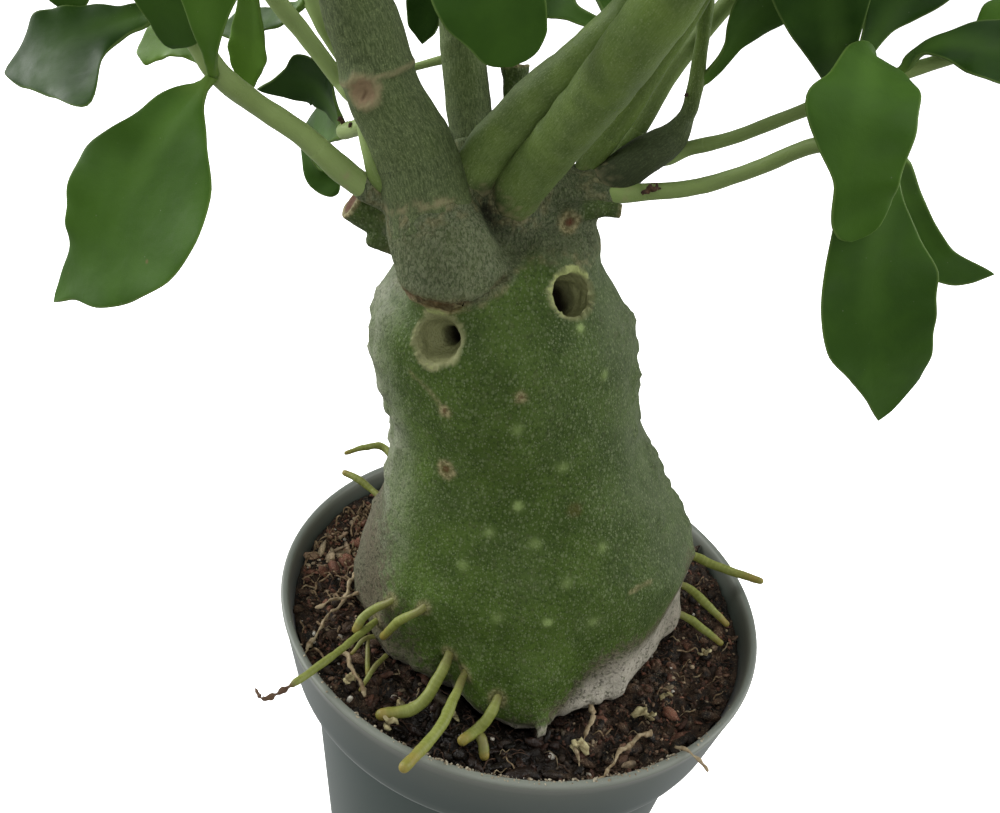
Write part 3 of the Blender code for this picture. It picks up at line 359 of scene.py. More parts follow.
def circle(radius: float | np.ndarray, angle: np.ndarray, height: float,
           centre: float = 0.0) -> np.ndarray:
    """Return the points of a level ring about a centre across."""
    return np.stack([centre + radius * np.cos(angle), radius * np.sin(angle),
                     np.full(len(angle), height)], axis=1)


def ring_net(rows: int, sides: int) -> tuple[np.ndarray, np.ndarray]:
    """Number the faces of a closed body of rings, whose two poles are its last two points.

    Args:
        rows: Number of rings.
        sides: Number of points in each ring.

    Returns:
        The quads between the rings and the triangles to the poles.
    """
    quads = net(rows, sides, True)
    first, last = rows * sides, rows * sides + 1
    around = np.arange(sides)
    after = (around + 1) % sides
    top = (rows - 1) * sides
    low = np.stack([np.full(sides, first), after, around], axis=1)
    high = np.stack([np.full(sides, last), top + around, top + after], axis=1)
    return quads, np.vstack([low, high])


def sweep(path: tuple[Vec, ...], radii: tuple[float, ...], sides: int, shares: np.ndarray,
          dome: bool = True, swell: np.ndarray | None = None, foot: float = 1.0) -> Shape:
    """Sweep a round section along a smooth path.

    Args:
        path: Control points of the centre line.
        radii: Radius at each control point.
        sides: Number of sides of the section.
        shares: Places along the path with a ring of points.
        dome: True where the far end is rounded and False where it is cut.
        swell: What the radius is multiplied by at each ring, or none.
        foot: What the first ring's radius is multiplied by.

    Returns:
        A closed shape with the values grain, along (millimetres from the start), share and round
        (the share of a turn).
    """
    line = spline(path, shares)
    step = 0.004
    ahead = unit(spline(path, shares + step) - spline(path, shares - step))
    knots = np.linspace(0.0, 1.0, len(radii))
    radius = steady(knots, np.array(radii), shares)
    if swell is not None:
        radius = radius * swell
    radius[0] *= foot
    if dome:
        for lift, size in ((0.45, 0.9), (0.8, 0.66), (0.97, 0.34)):
            line = np.vstack([line, line[len(shares) - 1] + ahead[-1] * radius[len(shares) - 1] * lift])
            ahead = np.vstack([ahead, ahead[-1:]])
            radius = np.append(radius, radius[len(shares) - 1] * size)
    side = unit(np.cross(ahead[0], (0.31, 0.83, 0.17)))
    frames = []
    for tangent in ahead:
        side = unit(side - tangent * np.dot(side, tangent))
        frames.append(side)
    across = np.array(frames)
    up = np.cross(ahead, across)
    angle = np.linspace(0.0, 2.0 * math.pi, sides, endpoint=False)
    ring = (across[:, None] * np.cos(angle)[None, :, None]
            + up[:, None] * np.sin(angle)[None, :, None]) * radius[:, None, None]
    points = (line[:, None] + ring).reshape(-1, 3)
    tip = line[-1] + ahead[-1] * (radius[-1] * 0.08 if dome else 0.0)
    points = np.vstack([points, line[:1], tip])
    lengths = np.concatenate([[0.0], np.cumsum(np.linalg.norm(np.diff(line, axis=0), axis=1))])
    along = np.append(np.repeat(lengths, sides), [lengths[0], lengths[-1]])
    turns = np.append(np.tile(angle / (2.0 * math.pi), len(line)), [0.0, 0.0])
    thick = np.append(np.repeat(radius, sides), [0.0, 0.0])
    grain = np.stack([thick * np.cos(turns * 2.0 * math.pi),
                      thick * np.sin(turns * 2.0 * math.pi), along], axis=1)
    spots = np.append(shares, np.full(len(line) - len(shares), shares[-1]))
    share = np.append(np.repeat(spots, sides), [spots[0], spots[-1]])
    quads, triangles = ring_net(len(line), sides)
    return Shape(points, quads, triangles,
                 {"grain": grain, "along": along, "round": turns, "share": share})


def push(shape: Shape, amount: np.ndarray) -> None:
    """Move a shape's points outwards along its normals.

    Args:
        shape: The shape, which is changed.
        amount: Distance in millimetres at each point.
    """
    corners = shape.points[shape.quads]
    faces = np.cross(corners[:, 2] - corners[:, 0], corners[:, 3] - corners[:, 1])
    normals = np.zeros_like(shape.points)
    for column in range(4):
        np.add.at(normals, shape.quads[:, column], faces)
    shape.points = shape.points + unit(normals) * amount[:, None]


# What the plant is made of


class Bark(Enum):
    """Skin of a stem: how old it is, how pale, and how dark (each from 0 to 1)."""

    TRUNK = (0.85, 0.0, 0.15)
    KNUCKLE = (0.8, 0.0, 1.0)
    GREEN = (0.25, 0.1, 0.1)
    STALK = (0.12, 0.6, 0.0)
    LIMB = (0.45, 0.1, 0.05)
    SHOOT = (0.1, 0.75, 0.0)
    TWIG = (0.05, 1.0, 0.0)


class LeafTone(Enum):
    """Colour of a leaf: how bright it is and how far it turns yellow (each from 0 to 1); the brightness is
    partly the leaf's own and partly painted shade, darker for leaves that others shade.
    """

    DARK = (0.04, 0.0)
    DEEP = (0.15, 0.0)
    CALM = (0.23, 0.0)
    MID = (0.34, 0.0)
    FRESH = (0.48, 0.1)
    YOUNG = (0.5, 0.22)


@dataclass(frozen=True)
class Tube:
    """A stem, neck or root along a smooth path.

    Args:
        path: Points of the centre line.
        radii: Radius at each point of the path.
        rounded: True where the far end is a dome and False where it is cut.
        start: Skin at the foot.
        end: Skin at the far end.
        rings: Shares of the path with a ring scar.
    """

    path: tuple[Vec, ...]
    radii: tuple[float, ...]
    rounded: bool = True
    start: Bark = Bark.LIMB
    end: Bark = Bark.GREEN
    rings: tuple[float, ...] = ()


@dataclass(frozen=True)
class Leaf:
    """A leaf blade on its own short stalk.

    Args:
        rib: Points of the midrib, from inside the stem to the tip.
        face: Direction that the upper side looks in.
        left: Width left of the rib at each ninth of its length.
        right: Width right of the rib at each ninth of its length.
        round_tip: True where the blade ends bluntly.
        cup: Rise of the margins as a share of the width.
        wave: Height of the waves of the margins.
        phase: Start of the waves, in turns.
        tone: Colour of the blade, whose brightness is partly painted shade.
        marks: Brown spots: distance left of the rib, share of the length, size.
    """

    rib: tuple[Vec, ...]
    face: Vec
    left: tuple[float, ...]
    right: tuple[float, ...]
    round_tip: bool = False
    cup: float = 0.12
    wave: float = 0.6
    phase: float = 0.0
    tone: LeafTone = LeafTone.MID
    marks: tuple[Vec, ...] = ()


@dataclass(frozen=True)
class CrownLeaf:
    """A leaf of the crown above the part of the plant that the photo shows.

    Args:
        point: Place on the stem.
        azimuth: Direction in degrees, anticlockwise from +X.
        length: Length with its stalk.
        rise: Angle above the horizontal at which it leaves the stem, in degrees.
        droop: Share of the length that the tip falls back by.
    """

    point: Vec
    azimuth: float
    length: float = 40.0
    rise: float = 40.0
    droop: float = 0.28

    def blade(self, rng: random.Random) -> Leaf:
        """Draw the leaf with its own small differences.

        Args:
            rng: Source of the differences.

        Returns:
            The leaf.
        """
        azimuth, rise, length = math.radians(self.azimuth), math.radians(self.rise), self.length
        out = np.array([math.cos(azimuth), math.sin(azimuth), 0.0])
        up = np.array([0.0, 0.0, 1.0])
        start = np.array(self.point, dtype=float)
        bend = np.array([-out[1], out[0], 0.0]) * rng.uniform(-0.06, 0.06) * length
        rib = [start]
        for share in (0.33, 0.68, 1.0):
            height = length * (math.sin(rise) * share - self.droop * share * share)
            rib.append(start + out * length * math.cos(rise) * share + up * height
                       + bend * share * share)
        half = length * rng.uniform(0.25, 0.30)
        left = tuple(half * width * rng.uniform(0.93, 1.07) for width in STANDARD_OUTLINE)
        right = tuple(half * width * rng.uniform(0.93, 1.07) for width in STANDARD_OUTLINE)
        face = tuple(up * math.cos(rise) - out * math.sin(rise))
        return Leaf(tuple(tuple(point) for point in rib), face, left, right,
                    round_tip=rng.random() < 0.4, cup=rng.uniform(0.05, 0.16),
                    wave=rng.uniform(0.4, 0.9), phase=rng.random(),
                    tone=rng.choice((LeafTone.DEEP, LeafTone.MID, LeafTone.MID, LeafTone.FRESH)))


@dataclass(frozen=True)
class LeafyStem:
    """A stem with its side shoots and leaves above its joint.

    Args:
        name: Name of the CAD node.
        stem: The whole stem, whose foot below the joint is grown in one with the caudex.
        joint: Share of the stem where the node starts.
        shoots: Side shoots.
        leaves: Leaves that the photo shows.
        crown: Leaves above the photo's edge.
    """

    name: str
    stem: Tube
    joint: float
    shoots: tuple[Tube, ...] = ()
    leaves: tuple[Leaf, ...] = ()
    crown: tuple[CrownLeaf, ...] = ()

    def collar_share(self, height: float) -> float:
        """Find where the skin of the caudex ends on the stem.

        Args:
            height: Height of the skin's upper edge.

        Returns:
            Share of the stem, no more than its joint; 0 where the stem starts above the height.
        """
        shares = np.linspace(0.0, self.joint, 81)
        above = spline(self.stem.path, shares)[:, 2] > height
        return float(shares[int(np.argmax(above))]) if above.any() else self.joint

    def build(self, effects: Effects) -> list[bpy.types.Object]:
        """Build one mesh of stems and one of leaves.

        Args:
            effects: Shader groups.

        Returns:
            The pieces that stand for the CAD node.
        """
        stems = [stem_shape(self, below=False)]
        for number, shoot in enumerate(self.shoots):
            stems.append(tube_shape(shoot, dome=shoot.rounded, seed=100 + number))
        rng = random.Random(self.name)
        leaves = [leaf_shape(leaf, 64, 25) for leaf in self.leaves]
        leaves += [leaf_shape(leaf.blade(rng), 44, 19) for leaf in self.crown]
        pieces = []
        for shapes, kind, ending in ((stems, "stem", "_stalk"), (leaves, "leaf", "_leaves")):
            if not shapes:
                continue
            piece = Shape.joined(shapes).to_object(self.name + ending)
            piece.data.materials.append(shared_material(kind, effects))
            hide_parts(self.name)
            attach(piece, "root")
            pieces.append(piece)
        return pieces


# Usual outline of a leaf: share of its half width at each ninth of its length
STANDARD_OUTLINE = (0.20, 0.50, 0.76, 0.94, 1.00, 0.93, 0.74, 0.43)

BACK_NECK = Tube(
    ((-9, -4, 184), (-8, -3, 191.7), (-9.1, 0, 199), (-10, 1.5, 203.6)),
    (13, 11.2, 9.8, 8.8))
CUT_STUBS = (
    Tube(((-29, -9, 193), (-37.5, -8, 197.4), (-41.8, -8, 198.3), (-45.2, -9, 200.3)), (3.8, 3.7, 3.5, 3.4),
         rounded=False, end=Bark.SHOOT),
    Tube(((-30, -10, 191), (-35.5, -10, 193.4), (-40.2, -11, 194.3)), (2, 1.8, 1.4)),
    Tube(((-8, -5.4, 202.9), (-3.7, -6.1, 204.9), (1.6, -6, 206.6), (4.8, -6, 206.8)), (2, 1.6, 1.5, 1.5),
         rounded=False, end=Bark.SHOOT),
    Tube(((-16.5, 2, 199), (-17.6, 7.5, 210), (-19.6, 10, 221.2), (-20.4, 11, 225.4)), (3, 2.2, 2.2, 2.8),
         rounded=False, end=Bark.LIMB),
)
ANT_HOLES = (
    Tube(((-26, -28.5, 184.2), (-24, -22.5, 182.2), (-22.2, -17.5, 181), (-20, -12.5, 179.8)),
         (5.3, 4.4, 2, 1.5)),
    Tube(((1, -17, 195.2), (-1.9, -11.8, 190.8), (-4.4, -8, 187.6), (-6.2, -5.6, 185.2)),
         (4.5, 4, 3.5, 2.4)),
)
GREEN_ROOTS = (
    Tube(((-11.5, -29, 116), (-13.2, -36.5, 112), (-16.5, -41.5, 106.6), (-23.4, -44.4, 105)),
         (1.25, 1.45, 1.5, 1.4)),
    Tube(((-8, -33, 112), (-9.3, -41, 111), (-10.8, -49.5, 110.6), (-15.2, -61, 111.8)),
         (1.2, 1.3, 1.35, 1.25)),
    Tube(((0.5, -33, 112), (-1.2, -41, 109), (-3.4, -43.6, 105.8), (-5.8, -46.4, 105.2)),
         (1.3, 1.45, 1.5, 1.3)),
    Tube(((-24, -24.6, 121), (-27.4, -26.2, 118.8), (-30.6, -25.8, 115.6), (-32.6, -27, 113.6),
          (-33.6, -28.6, 111.4)), (0.9, 1.05, 1.1, 1.1, 1)),
    Tube(((-16.8, -28.4, 125.2), (-19.8, -31.4, 123.4), (-22.3, -31.2, 120.8), (-24.6, -30.6, 117.6),
          (-27.2, -29.4, 112)), (0.8, 1.05, 1.1, 1.15, 1.1)),
    Tube(((-27, -18, 110), (-31.2, -26.5, 110.8), (-35.5, -36, 111.3), (-41, -46.3, 111.7),
          (-45.8, -51.4, 110.8), (-48.6, -49.4, 110.6)), (1.1, 1.05, 1, 0.9, 0.8, 0.45)),
    Tube(((33, 20, 111), (40.5, 20.6, 111), (47.5, 17.9, 111.2), (57.4, 13.8, 112.8)), (1.3, 1.3, 1.3, 1)),
    Tube(((33, 11, 108.5), (40, 11.2, 108.4), (45, 7.5, 107.4), (50.4, 4.4, 105.2)), (1.2, 1.3, 1.2, 1)),
    Tube(((33, 2, 107.5), (40, 1.8, 107), (44.3, 0, 106), (48.8, -2.2, 104.8)), (1.1, 1.2, 1.1, 0.9)),
)
THIN_ROOTS = (
    Tube(((-32, 14, 118), (-41.4, 26.5, 120.5), (-46.5, 24.3, 121.5), (-50.4, 20.2, 121.5)),
         (1.1, 1.1, 0.9, 0.6)),
    Tube(((-36, 15, 111), (-42.8, 19.6, 112), (-47, 21.3, 113.2), (-50.9, 22.7, 113.4)),
         (1.2, 1.1, 1.1, 0.9)),
)
# Small green shoots in the mix at the left, under the long root
WEEDS = (
    Tube(((-29, -22.5, 104.5), (-32, -25.5, 106), (-34, -28.8, 104)), (0.7, 0.6, 0.5)),
    Tube(((-31.5, -25, 105.6), (-30.5, -29, 105.2), (-29.2, -33.5, 103.6)), (0.6, 0.6, 0.5)),
    Tube(((-26.5, -27.8, 104.5), (-28, -32, 105), (-29.6, -37.8, 103.5)), (0.7, 0.6, 0.5)),
    Tube(((-4, -42, 103), (-2.2, -45, 105), (-0.9, -47.5, 103.2)), (1.2, 1.3, 1.1)),
)
# Dried brown scales at the nodes of the stems
SCALES = ((-49.9, 0.8, 211.2), (-43.1, -5.9, 213.6), (-45.8, -3.3, 213.2), (9.1, -2.4, 211.2),
          (13.7, 7.6, 226.4))
# Middle of the round knot on the main stem, and of the shade between the stems' feet
KNOT = (-41.8, -18, 223.7)
FEET_SHADE = (-19.5, -9.5, 204.5)
# Pale ring where the bark of the main stem starts
RING_JOINT = ((-38.2, -11.5, 203), (-36.9, -17.5, 203.7), (-33.4, -21.3, 205.4),
              (-29.9, -21.8, 206.8), (-25.9, -20.1, 207.9), (-22.3, -12.9, 207.3))
SKIRT_POINTS = (
    Tube(((8, -34, 108), (9.8, -40.4, 106.4), (10.7, -43.2, 104.6), (11.8, -45.4, 102.6)),
         (1.3, 0.85, 0.5, 0.4)),
)
# Pale husks on the mix that the photo shows: place and size
HUSKS = (((-20.8, -44.8, 103.4), 1.9), ((-20.4, -38.9, 103), 1.5), ((-8.6, -39.2, 103), 2),
         ((31.7, -28.3, 103.2), 2.1), ((-32.7, -35.9, 103.4), 1.8), ((45.5, -6, 103.4), 1.2),
         ((18.3, -40.4, 103.2), 2.1), ((36.2, -21.4, 103.2), 1.2))
# Dead roots that the photo shows: points and radius
DRY_ROOTS = (
    (((19.5, -29.2, 105), (20.4, -33, 104.6), (19.4, -36, 103.8), (18.8, -39.5, 102.9)), 0.8),
    (((32.9, -33.4, 104), (30.5, -35.4, 104.3), (27.7, -38.2, 103.9), (25.4, -43, 104.4),
      (22.7, -48.8, 104.6)), 0.75),
    (((37.6, -38.6, 107), (39.6, -40.4, 108.6), (41.8, -42, 108.9), (43.7, -43.4, 108.3)), 0.6),
    (((17, -40.6, 103.4), (17.6, -42, 103.4), (18.4, -44.6, 103)), 0.6),
    (((-38.6, -6.4, 108.2), (-39.3, -8.4, 108), (-40, -15.1, 106.4), (-42.4, -23.1, 105.2),
      (-43.9, -33.5, 105.2)), 0.9),
    (((-37, -13, 107), (-41.5, -17, 107.6), (-45.6, -19, 105.2)), 0.6),
    (((-35.6, -29.2, 105), (-33, -33.4, 105.2), (-30.4, -36.6, 104.6), (-28.2, -39, 103.4)),
     0.8),
)
MAIN_LEFT = LeafyStem(
    "stem_main_left",
    Tube(((-19, -3, 182), (-21.8, -11.5, 189), (-25.3, -15.8, 196), (-29.9, -14, 204.8),
          (-33.7, -13, 213.6), (-40.1, -12, 222.8), (-43.3, -12, 230.6), (-46.6, -12, 238.9),
          (-49, -11, 252), (-50, -10, 266), (-49.5, -9, 281)),
         (8, 9.2, 9.2, 8.1, 7.4, 6.5, 6.3, 5.8, 5.2, 4.2, 3), start=Bark.TRUNK, end=Bark.TRUNK,
         rings=(0.535,)),
    joint=0.385,
    shoots=(
        Tube(((-39.5, -11, 217), (-46.3, -9, 219.9), (-49.5, -7, 221.9), (-55.8, -7, 228.4), (-61, -8, 234),
              (-65.1, -9, 241), (-67, -9, 252)), (1.5, 1.3, 1.4, 1.6, 1.7, 1.6, 1.4), start=Bark.SHOOT,
             end=Bark.TWIG),
        Tube(((-39.5, -9, 219), (-45.2, -8, 221.8), (-49.5, -3.5, 224.5), (-54.5, -2, 230.3),
              (-58.2, 0, 236), (-60, 3, 247)), (1.5, 1.3, 1.4, 1.6, 1.6, 1.3), start=Bark.SHOOT,
             end=Bark.TWIG),
        Tube(((-37.5, -10.5, 217.5), (-43.5, -6, 214.5), (-50, 1, 210.1)), (1.6, 1.5, 1.6),
             start=Bark.SHOOT, end=Bark.TWIG),
        Tube(((-35.4, -15.5, 205.8), (-38.9, -16.4, 208.6), (-41, -14.4, 212.2), (-43, -12.2, 215.8)),
             (1.6, 1.6, 1.5, 1.3), start=Bark.GREEN, end=Bark.SHOOT),
        Tube(((-47.5, -11.5, 250), (-40, -18, 252), (-31, -24, 253.5)), (1.6, 1.4, 1.3), start=Bark.SHOOT,
             end=Bark.TWIG),
    ),
    leaves=(
        Leaf(((-50, 1, 210.1), (-55, 6, 214), (-60, 8, 216), (-70, 8, 213)), (-0.2, -0.8, -0.35),
             (2.5, 4.5, 6, 6.1, 7, 7, 3.6, 1.4), (1.9, 2.9, 3.4, 3.9, 4.4, 4.7, 3.9, 2.3),
             tone=LeafTone.DARK),
        Leaf(((-49.6, 0.5, 209.6), (-55.6, 8, 205.8), (-59.8, 14, 200.3), (-58.9, 16, 194.6),
              (-54.2, 14, 192.2)), (-0.5, -0.65, 0.55), (2, 5.5, 9.2, 9.2, 6.4, 4, 3, 2.4),
             (1.2, 1.8, 2.2, 2.6, 2.6, 2.6, 2.8, 2.8), round_tip=True, wave=0.2, tone=LeafTone.DEEP),
        Leaf(((-57.4, -1.5, 233), (-63, 1, 229), (-69.6, 3, 226.4), (-76.3, 4, 223.3)), (0.1, -0.6, 0.75),
             (1, 1.9, 2.5, 2.8, 2.9, 3.1, 3.2, 2), (1.4, 2.1, 2.6, 3.2, 3.6, 3.7, 3.2, 1.9),
             tone=LeafTone.DEEP),
        Leaf(((-65, -9, 241), (-67.3, -1.5, 227), (-68.5, 0, 219.7), (-69.3, -0.5, 213.9)),
             (-0.1, -0.9, 0.2), (1.5, 2.8, 3.8, 4.6, 4.6, 3.8, 2.6, 1.3),
             (1, 1.6, 2.4, 3.2, 3.7, 3, 2.2, 1.6), tone=LeafTone.FRESH),
        Leaf(((-31.5, -23.7, 253.4), (-26, -28, 254.5), (-21, -31, 250), (-19.2, -31, 243.5),
              (-16.5, -30, 234.6)), (0.1, -0.75, 0.65), (1.2, 2.2, 4.6, 8, 10.3, 10.3, 9.2, 6),
             (1.4, 3, 5, 6.4, 6.6, 6.3, 6.5, 6.3), round_tip=True, wave=0.4, tone=LeafTone.DEEP),
    ),
    crown=(
        CrownLeaf((-50, -10.5, 262), 215, 40),
        CrownLeaf((-50, -10, 263), 60, 30, 66, 0.2),
        CrownLeaf((-49.7, -9.3, 275), 135, 38),
        CrownLeaf((-49.7, -9.3, 275), 300, 36, 46),
        CrownLeaf((-49.5, -9, 281), 200, 32, 62, 0.2),
        CrownLeaf((-49.5, -9, 281), 30, 30, 64, 0.2),
        CrownLeaf((-67, -9, 251), 175, 34, 40),
        CrownLeaf((-60, 3, 246), 120, 36, 36),
    ),
)
LOW_LEFT = LeafyStem(
    "stem_low_left",
    Tube(((-31, -13.5, 201.5), (-37.9, -14.5, 204.8), (-43.6, -16, 207.5), (-52.1, -20, 215.3),
          (-58.2, -25, 220.6), (-61.6, -32, 226.4), (-66.5, -31, 231.5), (-72, -30, 234.5),
          (-77.5, -29, 241), (-80, -28, 250)), (2.4, 2.5, 2.4, 2, 1.9, 1.9, 1.8, 1.7, 1.6, 1.5),
         start=Bark.SHOOT, end=Bark.SHOOT),
    joint=0.30,
    leaves=(
        Leaf(((-61.5, -34, 226.5), (-65, -44, 220), (-70, -49, 209), (-75, -50, 199), (-84, -47, 189)),
             (-0.15, -0.75, 0.62), (3.5, 5, 7.9, 10.6, 9.8, 8.3, 6.3, 3.8),
             (2.3, 7.1, 13.1, 15.9, 15.2, 11.6, 7.2, 2.4), tone=LeafTone.CALM,
             marks=((12.8, 0.56, 0.7), (11.9, 0.58, 0.5))),
        Leaf(((-71.5, -30, 234), (-78, -33, 231), (-86, -36, 227), (-96, -34, 221)), (-0.25, -0.7, 0.6),
             (1.9, 2.5, 3.9, 5.6, 6.1, 6.3, 6.1, 2.6), (2.5, 2.8, 3.7, 6.9, 14.2, 9.6, 6.2, 3.8),
             tone=LeafTone.DARK),
        Leaf(((-74.5, -29.5, 237.8), (-80.5, -26.5, 246), (-86.5, -27, 245.5), (-88, -28.5, 239),
              (-85.5, -29, 231.2)), (-0.3, -0.7, 0.6), (0.9, 1.4, 2.4, 4, 5.6, 6.4, 6.2, 4.6),
             (0.9, 1.4, 2.6, 4.2, 5.8, 6.6, 6.2, 4.6), round_tip=True, wave=0.3, tone=LeafTone.DEEP),
        Leaf(((-62, -32.5, 227), (-66, -29.5, 228.4), (-71.5, -27, 228), (-78.2, -25, 225.4)),
             (0, -0.75, 0.65), (1.5, 2.4, 3.2, 4, 4.6, 4.8, 4.6, 3.6),
             (1.2, 1.6, 1.8, 2, 2.2, 2.4, 2.6, 2.8), tone=LeafTone.YOUNG),
        Leaf(((-77, -29, 240.5), (-73, -35.5, 243.5), (-69, -37.5, 237.5), (-67, -36, 230)),
             (-0.2, -0.85, 0.3), (1.4, 3, 4.4, 4.8, 4, 3, 2.4, 2), (1.4, 3, 4.4, 5.6, 8, 9.5, 8.9, 6.8),
             round_tip=True, tone=LeafTone.DEEP),
        Leaf(((-61.3, -34.5, 227), (-59.5, -42, 235), (-58, -45.5, 247), (-57, -47, 258), (-57, -50, 270)),
             (0.15, -0.85, 0.4), (1.3, 2.3, 3.9, 6.5, 8.6, 9.4, 8.4, 5), (0.9, 1.6, 3, 6, 8.2, 9.2, 8.2, 5),
             tone=LeafTone.MID),
    ),
    crown=(
        CrownLeaf((-79.5, -28.2, 249), 190, 34, 42),
        CrownLeaf((-79.5, -28.2, 249), 255, 34, 50, 0.2),
    ),
)
BACK_LEFT = LeafyStem(
    "stem_back_left",
    Tube(((-22, 0, 196), (-24, 3, 206), (-27.5, 7, 216.6), (-29.9, 9, 225.2), (-32.4, 12, 236),
          (-35, 15, 250), (-38, 19, 265), (-40, 22, 277)), (4.6, 4.5, 4.4, 4.3, 4.2, 3.8, 3.2, 2.4),
         start=Bark.TRUNK, end=Bark.LIMB),
    joint=0.22,
    shoots=(
        Tube(((-30, 9.5, 226), (-35.5, 9.5, 223.8), (-42, 9, 221)), (0.9, 0.85, 0.7), start=Bark.SHOOT,
             end=Bark.TWIG),
    ),
    leaves=(
        Leaf(((-34.2, 14, 247.5), (-37.5, 18, 242), (-39, 19, 233), (-40, 18.5, 224.5)), (-0.1, -0.9, 0.3),
             (1.6, 3, 4, 4.6, 4.8, 4.8, 4.4, 3.6), (1.4, 2.6, 3.2, 3.4, 3.4, 3.2, 2.8, 2.2),
             tone=LeafTone.DARK),
    ),
    crown=(
        CrownLeaf((-36.5, 17, 258), 100, 42, 30, 0.3),
        CrownLeaf((-38.2, 19.5, 267), 165, 40, 36),
        CrownLeaf((-38.2, 19.5, 267), 30, 36, 40),
        CrownLeaf((-40, 22, 277), 110, 30, 60, 0.2),
        CrownLeaf((-40, 22, 277), 290, 26, 74, 0.1),
    ),
)
CENTRE = LeafyStem(
    "stem_centre",
    Tube(((-21, -4, 199), (-23, -8, 206.5), (-20.6, -9.5, 214.8), (-15.9, -11.5, 221.9),
          (-11.5, -14, 228.3), (-7.6, -15.5, 232.3), (-3.5, -18, 238.4), (0, -20, 244.2), (1.5, -19.5, 255),
          (1.5, -17.5, 267)), (4.6, 4.6, 4.5, 4.4, 4.2, 4.2, 3.8, 3.7, 3.3, 2.5), start=Bark.LIMB,
         end=Bark.GREEN),
    joint=0.62,
    leaves=(
        Leaf(((-3.6, -17.8, 240.2), (-9.5, -14.2, 240.6), (-13.7, -10, 243), (-17.5, -5, 252)),
             (-0.4, -0.8, 0.3), (1.1, 1.4, 1.6, 2.6, 4, 4.6, 4.2, 2.6), (0.9, 1, 1.2, 2, 3.4, 4.2, 4, 2.6),
             tone=LeafTone.DEEP),
        Leaf(((-3, -17.8, 241), (-5.2, -9, 243), (-5, -2, 247.5), (-3.5, 3, 254)), (0.3, -0.85, 0.4),
             (1, 1.4, 2.2, 3.2, 4, 4.2, 3.6, 2.2), (1, 1.4, 2.2, 3.2, 4, 4.2, 3.6, 2.2),
             tone=LeafTone.DEEP),
    ),
    crown=(
        CrownLeaf((1.5, -19, 258), 185, 34, 52, 0.2),
        CrownLeaf((1.5, -17.5, 267), 100, 30, 66, 0.15),
        CrownLeaf((1.5, -17.5, 267), 290, 28, 76, 0.1),
    ),
)
FRONT = LeafyStem(
    "stem_front",
    Tube(((-14, -1, 198), (-15.2, -8.5, 206), (-10.3, -14.8, 217.1), (-5.4, -21.8, 227),
          (-1.2, -28.3, 236.1), (1.9, -34, 243.6), (5.5, -38, 252), (9.5, -43, 262), (12, -46, 273)),
         (4.4, 4.5, 4.5, 4.5, 4.6, 4.5, 4.3, 3.7, 2.8), start=Bark.LIMB, end=Bark.GREEN),
    joint=0.47,
    crown=(
        CrownLeaf((9, -42.5, 261), 205, 40, 44),
        CrownLeaf((9, -42.5, 261), 340, 42, 34),
        CrownLeaf((12, -46, 273), 268, 36, 44, 0.35),
        CrownLeaf((12, -46, 273), 45, 34, 56, 0.2),
    ),
)
RIGHT_INNER = LeafyStem(
    "stem_right_inner",
    Tube(((-6, 1.5, 200), (-3.5, 3.5, 208.5), (-2.3, 4, 213), (2.2, 3, 222.9), (6.2, 2, 233.6),
          (9.8, 1, 243.5), (14, -1, 257), (16, -2, 269)), (2.6, 2.6, 2.5, 2.3, 2.2, 2.2, 1.9, 1.5),
         start=Bark.LIMB, end=Bark.GREEN),
    joint=0.36,
    crown=(
        CrownLeaf((14.3, -1.1, 259), 4, 32, 48),
        CrownLeaf((14.3, -1.1, 259), 150, 36, 56, 0.2),
        CrownLeaf((16, -2, 269), 260, 26, 76, 0.1),
    ),
)
RIGHT_OUTER = LeafyStem(
    "stem_right_outer",
    Tube(((-1, 6, 203), (2.3, 8.5, 211.9), (5.1, 9, 219.2), (8.9, 11, 229.3), (13.2, 12.5, 237.2),
          (18.4, 12.5, 246.4), (23.4, 13.5, 257.8), (26.4, 15, 269)),
         (2.2, 2.2, 1.9, 1.8, 1.7, 1.7, 1.5, 1.2), start=Bark.LIMB, end=Bark.SHOOT),
    joint=0.27,
    crown=(
        CrownLeaf((22.6, 13.3, 256), 72, 40, 30),
        CrownLeaf((26.4, 15, 269), 15, 38, 44),
        CrownLeaf((26.4, 15, 269), 130, 28, 70, 0.12),
    ),
)
RIGHT_SHOOT = LeafyStem(
    "stem_right_shoot",
    Tube(((-6, 0, 203.5), (0, 2, 207.8), (6.3, 4, 214.2), (11.4, 6.3, 218.2), (13.3, 7.6, 223.2),
          (13.6, 7.5, 228.1), (12.9, 7, 235.2), (12.2, 7, 243.3), (12.2, 9, 253.4)),
         (3.9, 3.9, 3.8, 3, 1.5, 1.6, 1.3, 1.2, 1.1), start=Bark.KNUCKLE, end=Bark.GREEN),
    joint=0.47,
    leaves=(
        Leaf(((13.6, 8, 227.5), (17, 6, 234), (20, 4, 242), (27, 0, 256), (31, -3, 266)),
             (0.35, -0.85, -0.3), (1.3, 1.6, 2, 4.5, 6.5, 8, 8, 5), (0.9, 1, 1.5, 3.8, 6, 7.5, 7.5, 4.5),
             tone=LeafTone.DEEP),
    ),
    crown=(
        CrownLeaf((12.2, 8.7, 252), 128, 38, 36),
    ),
)
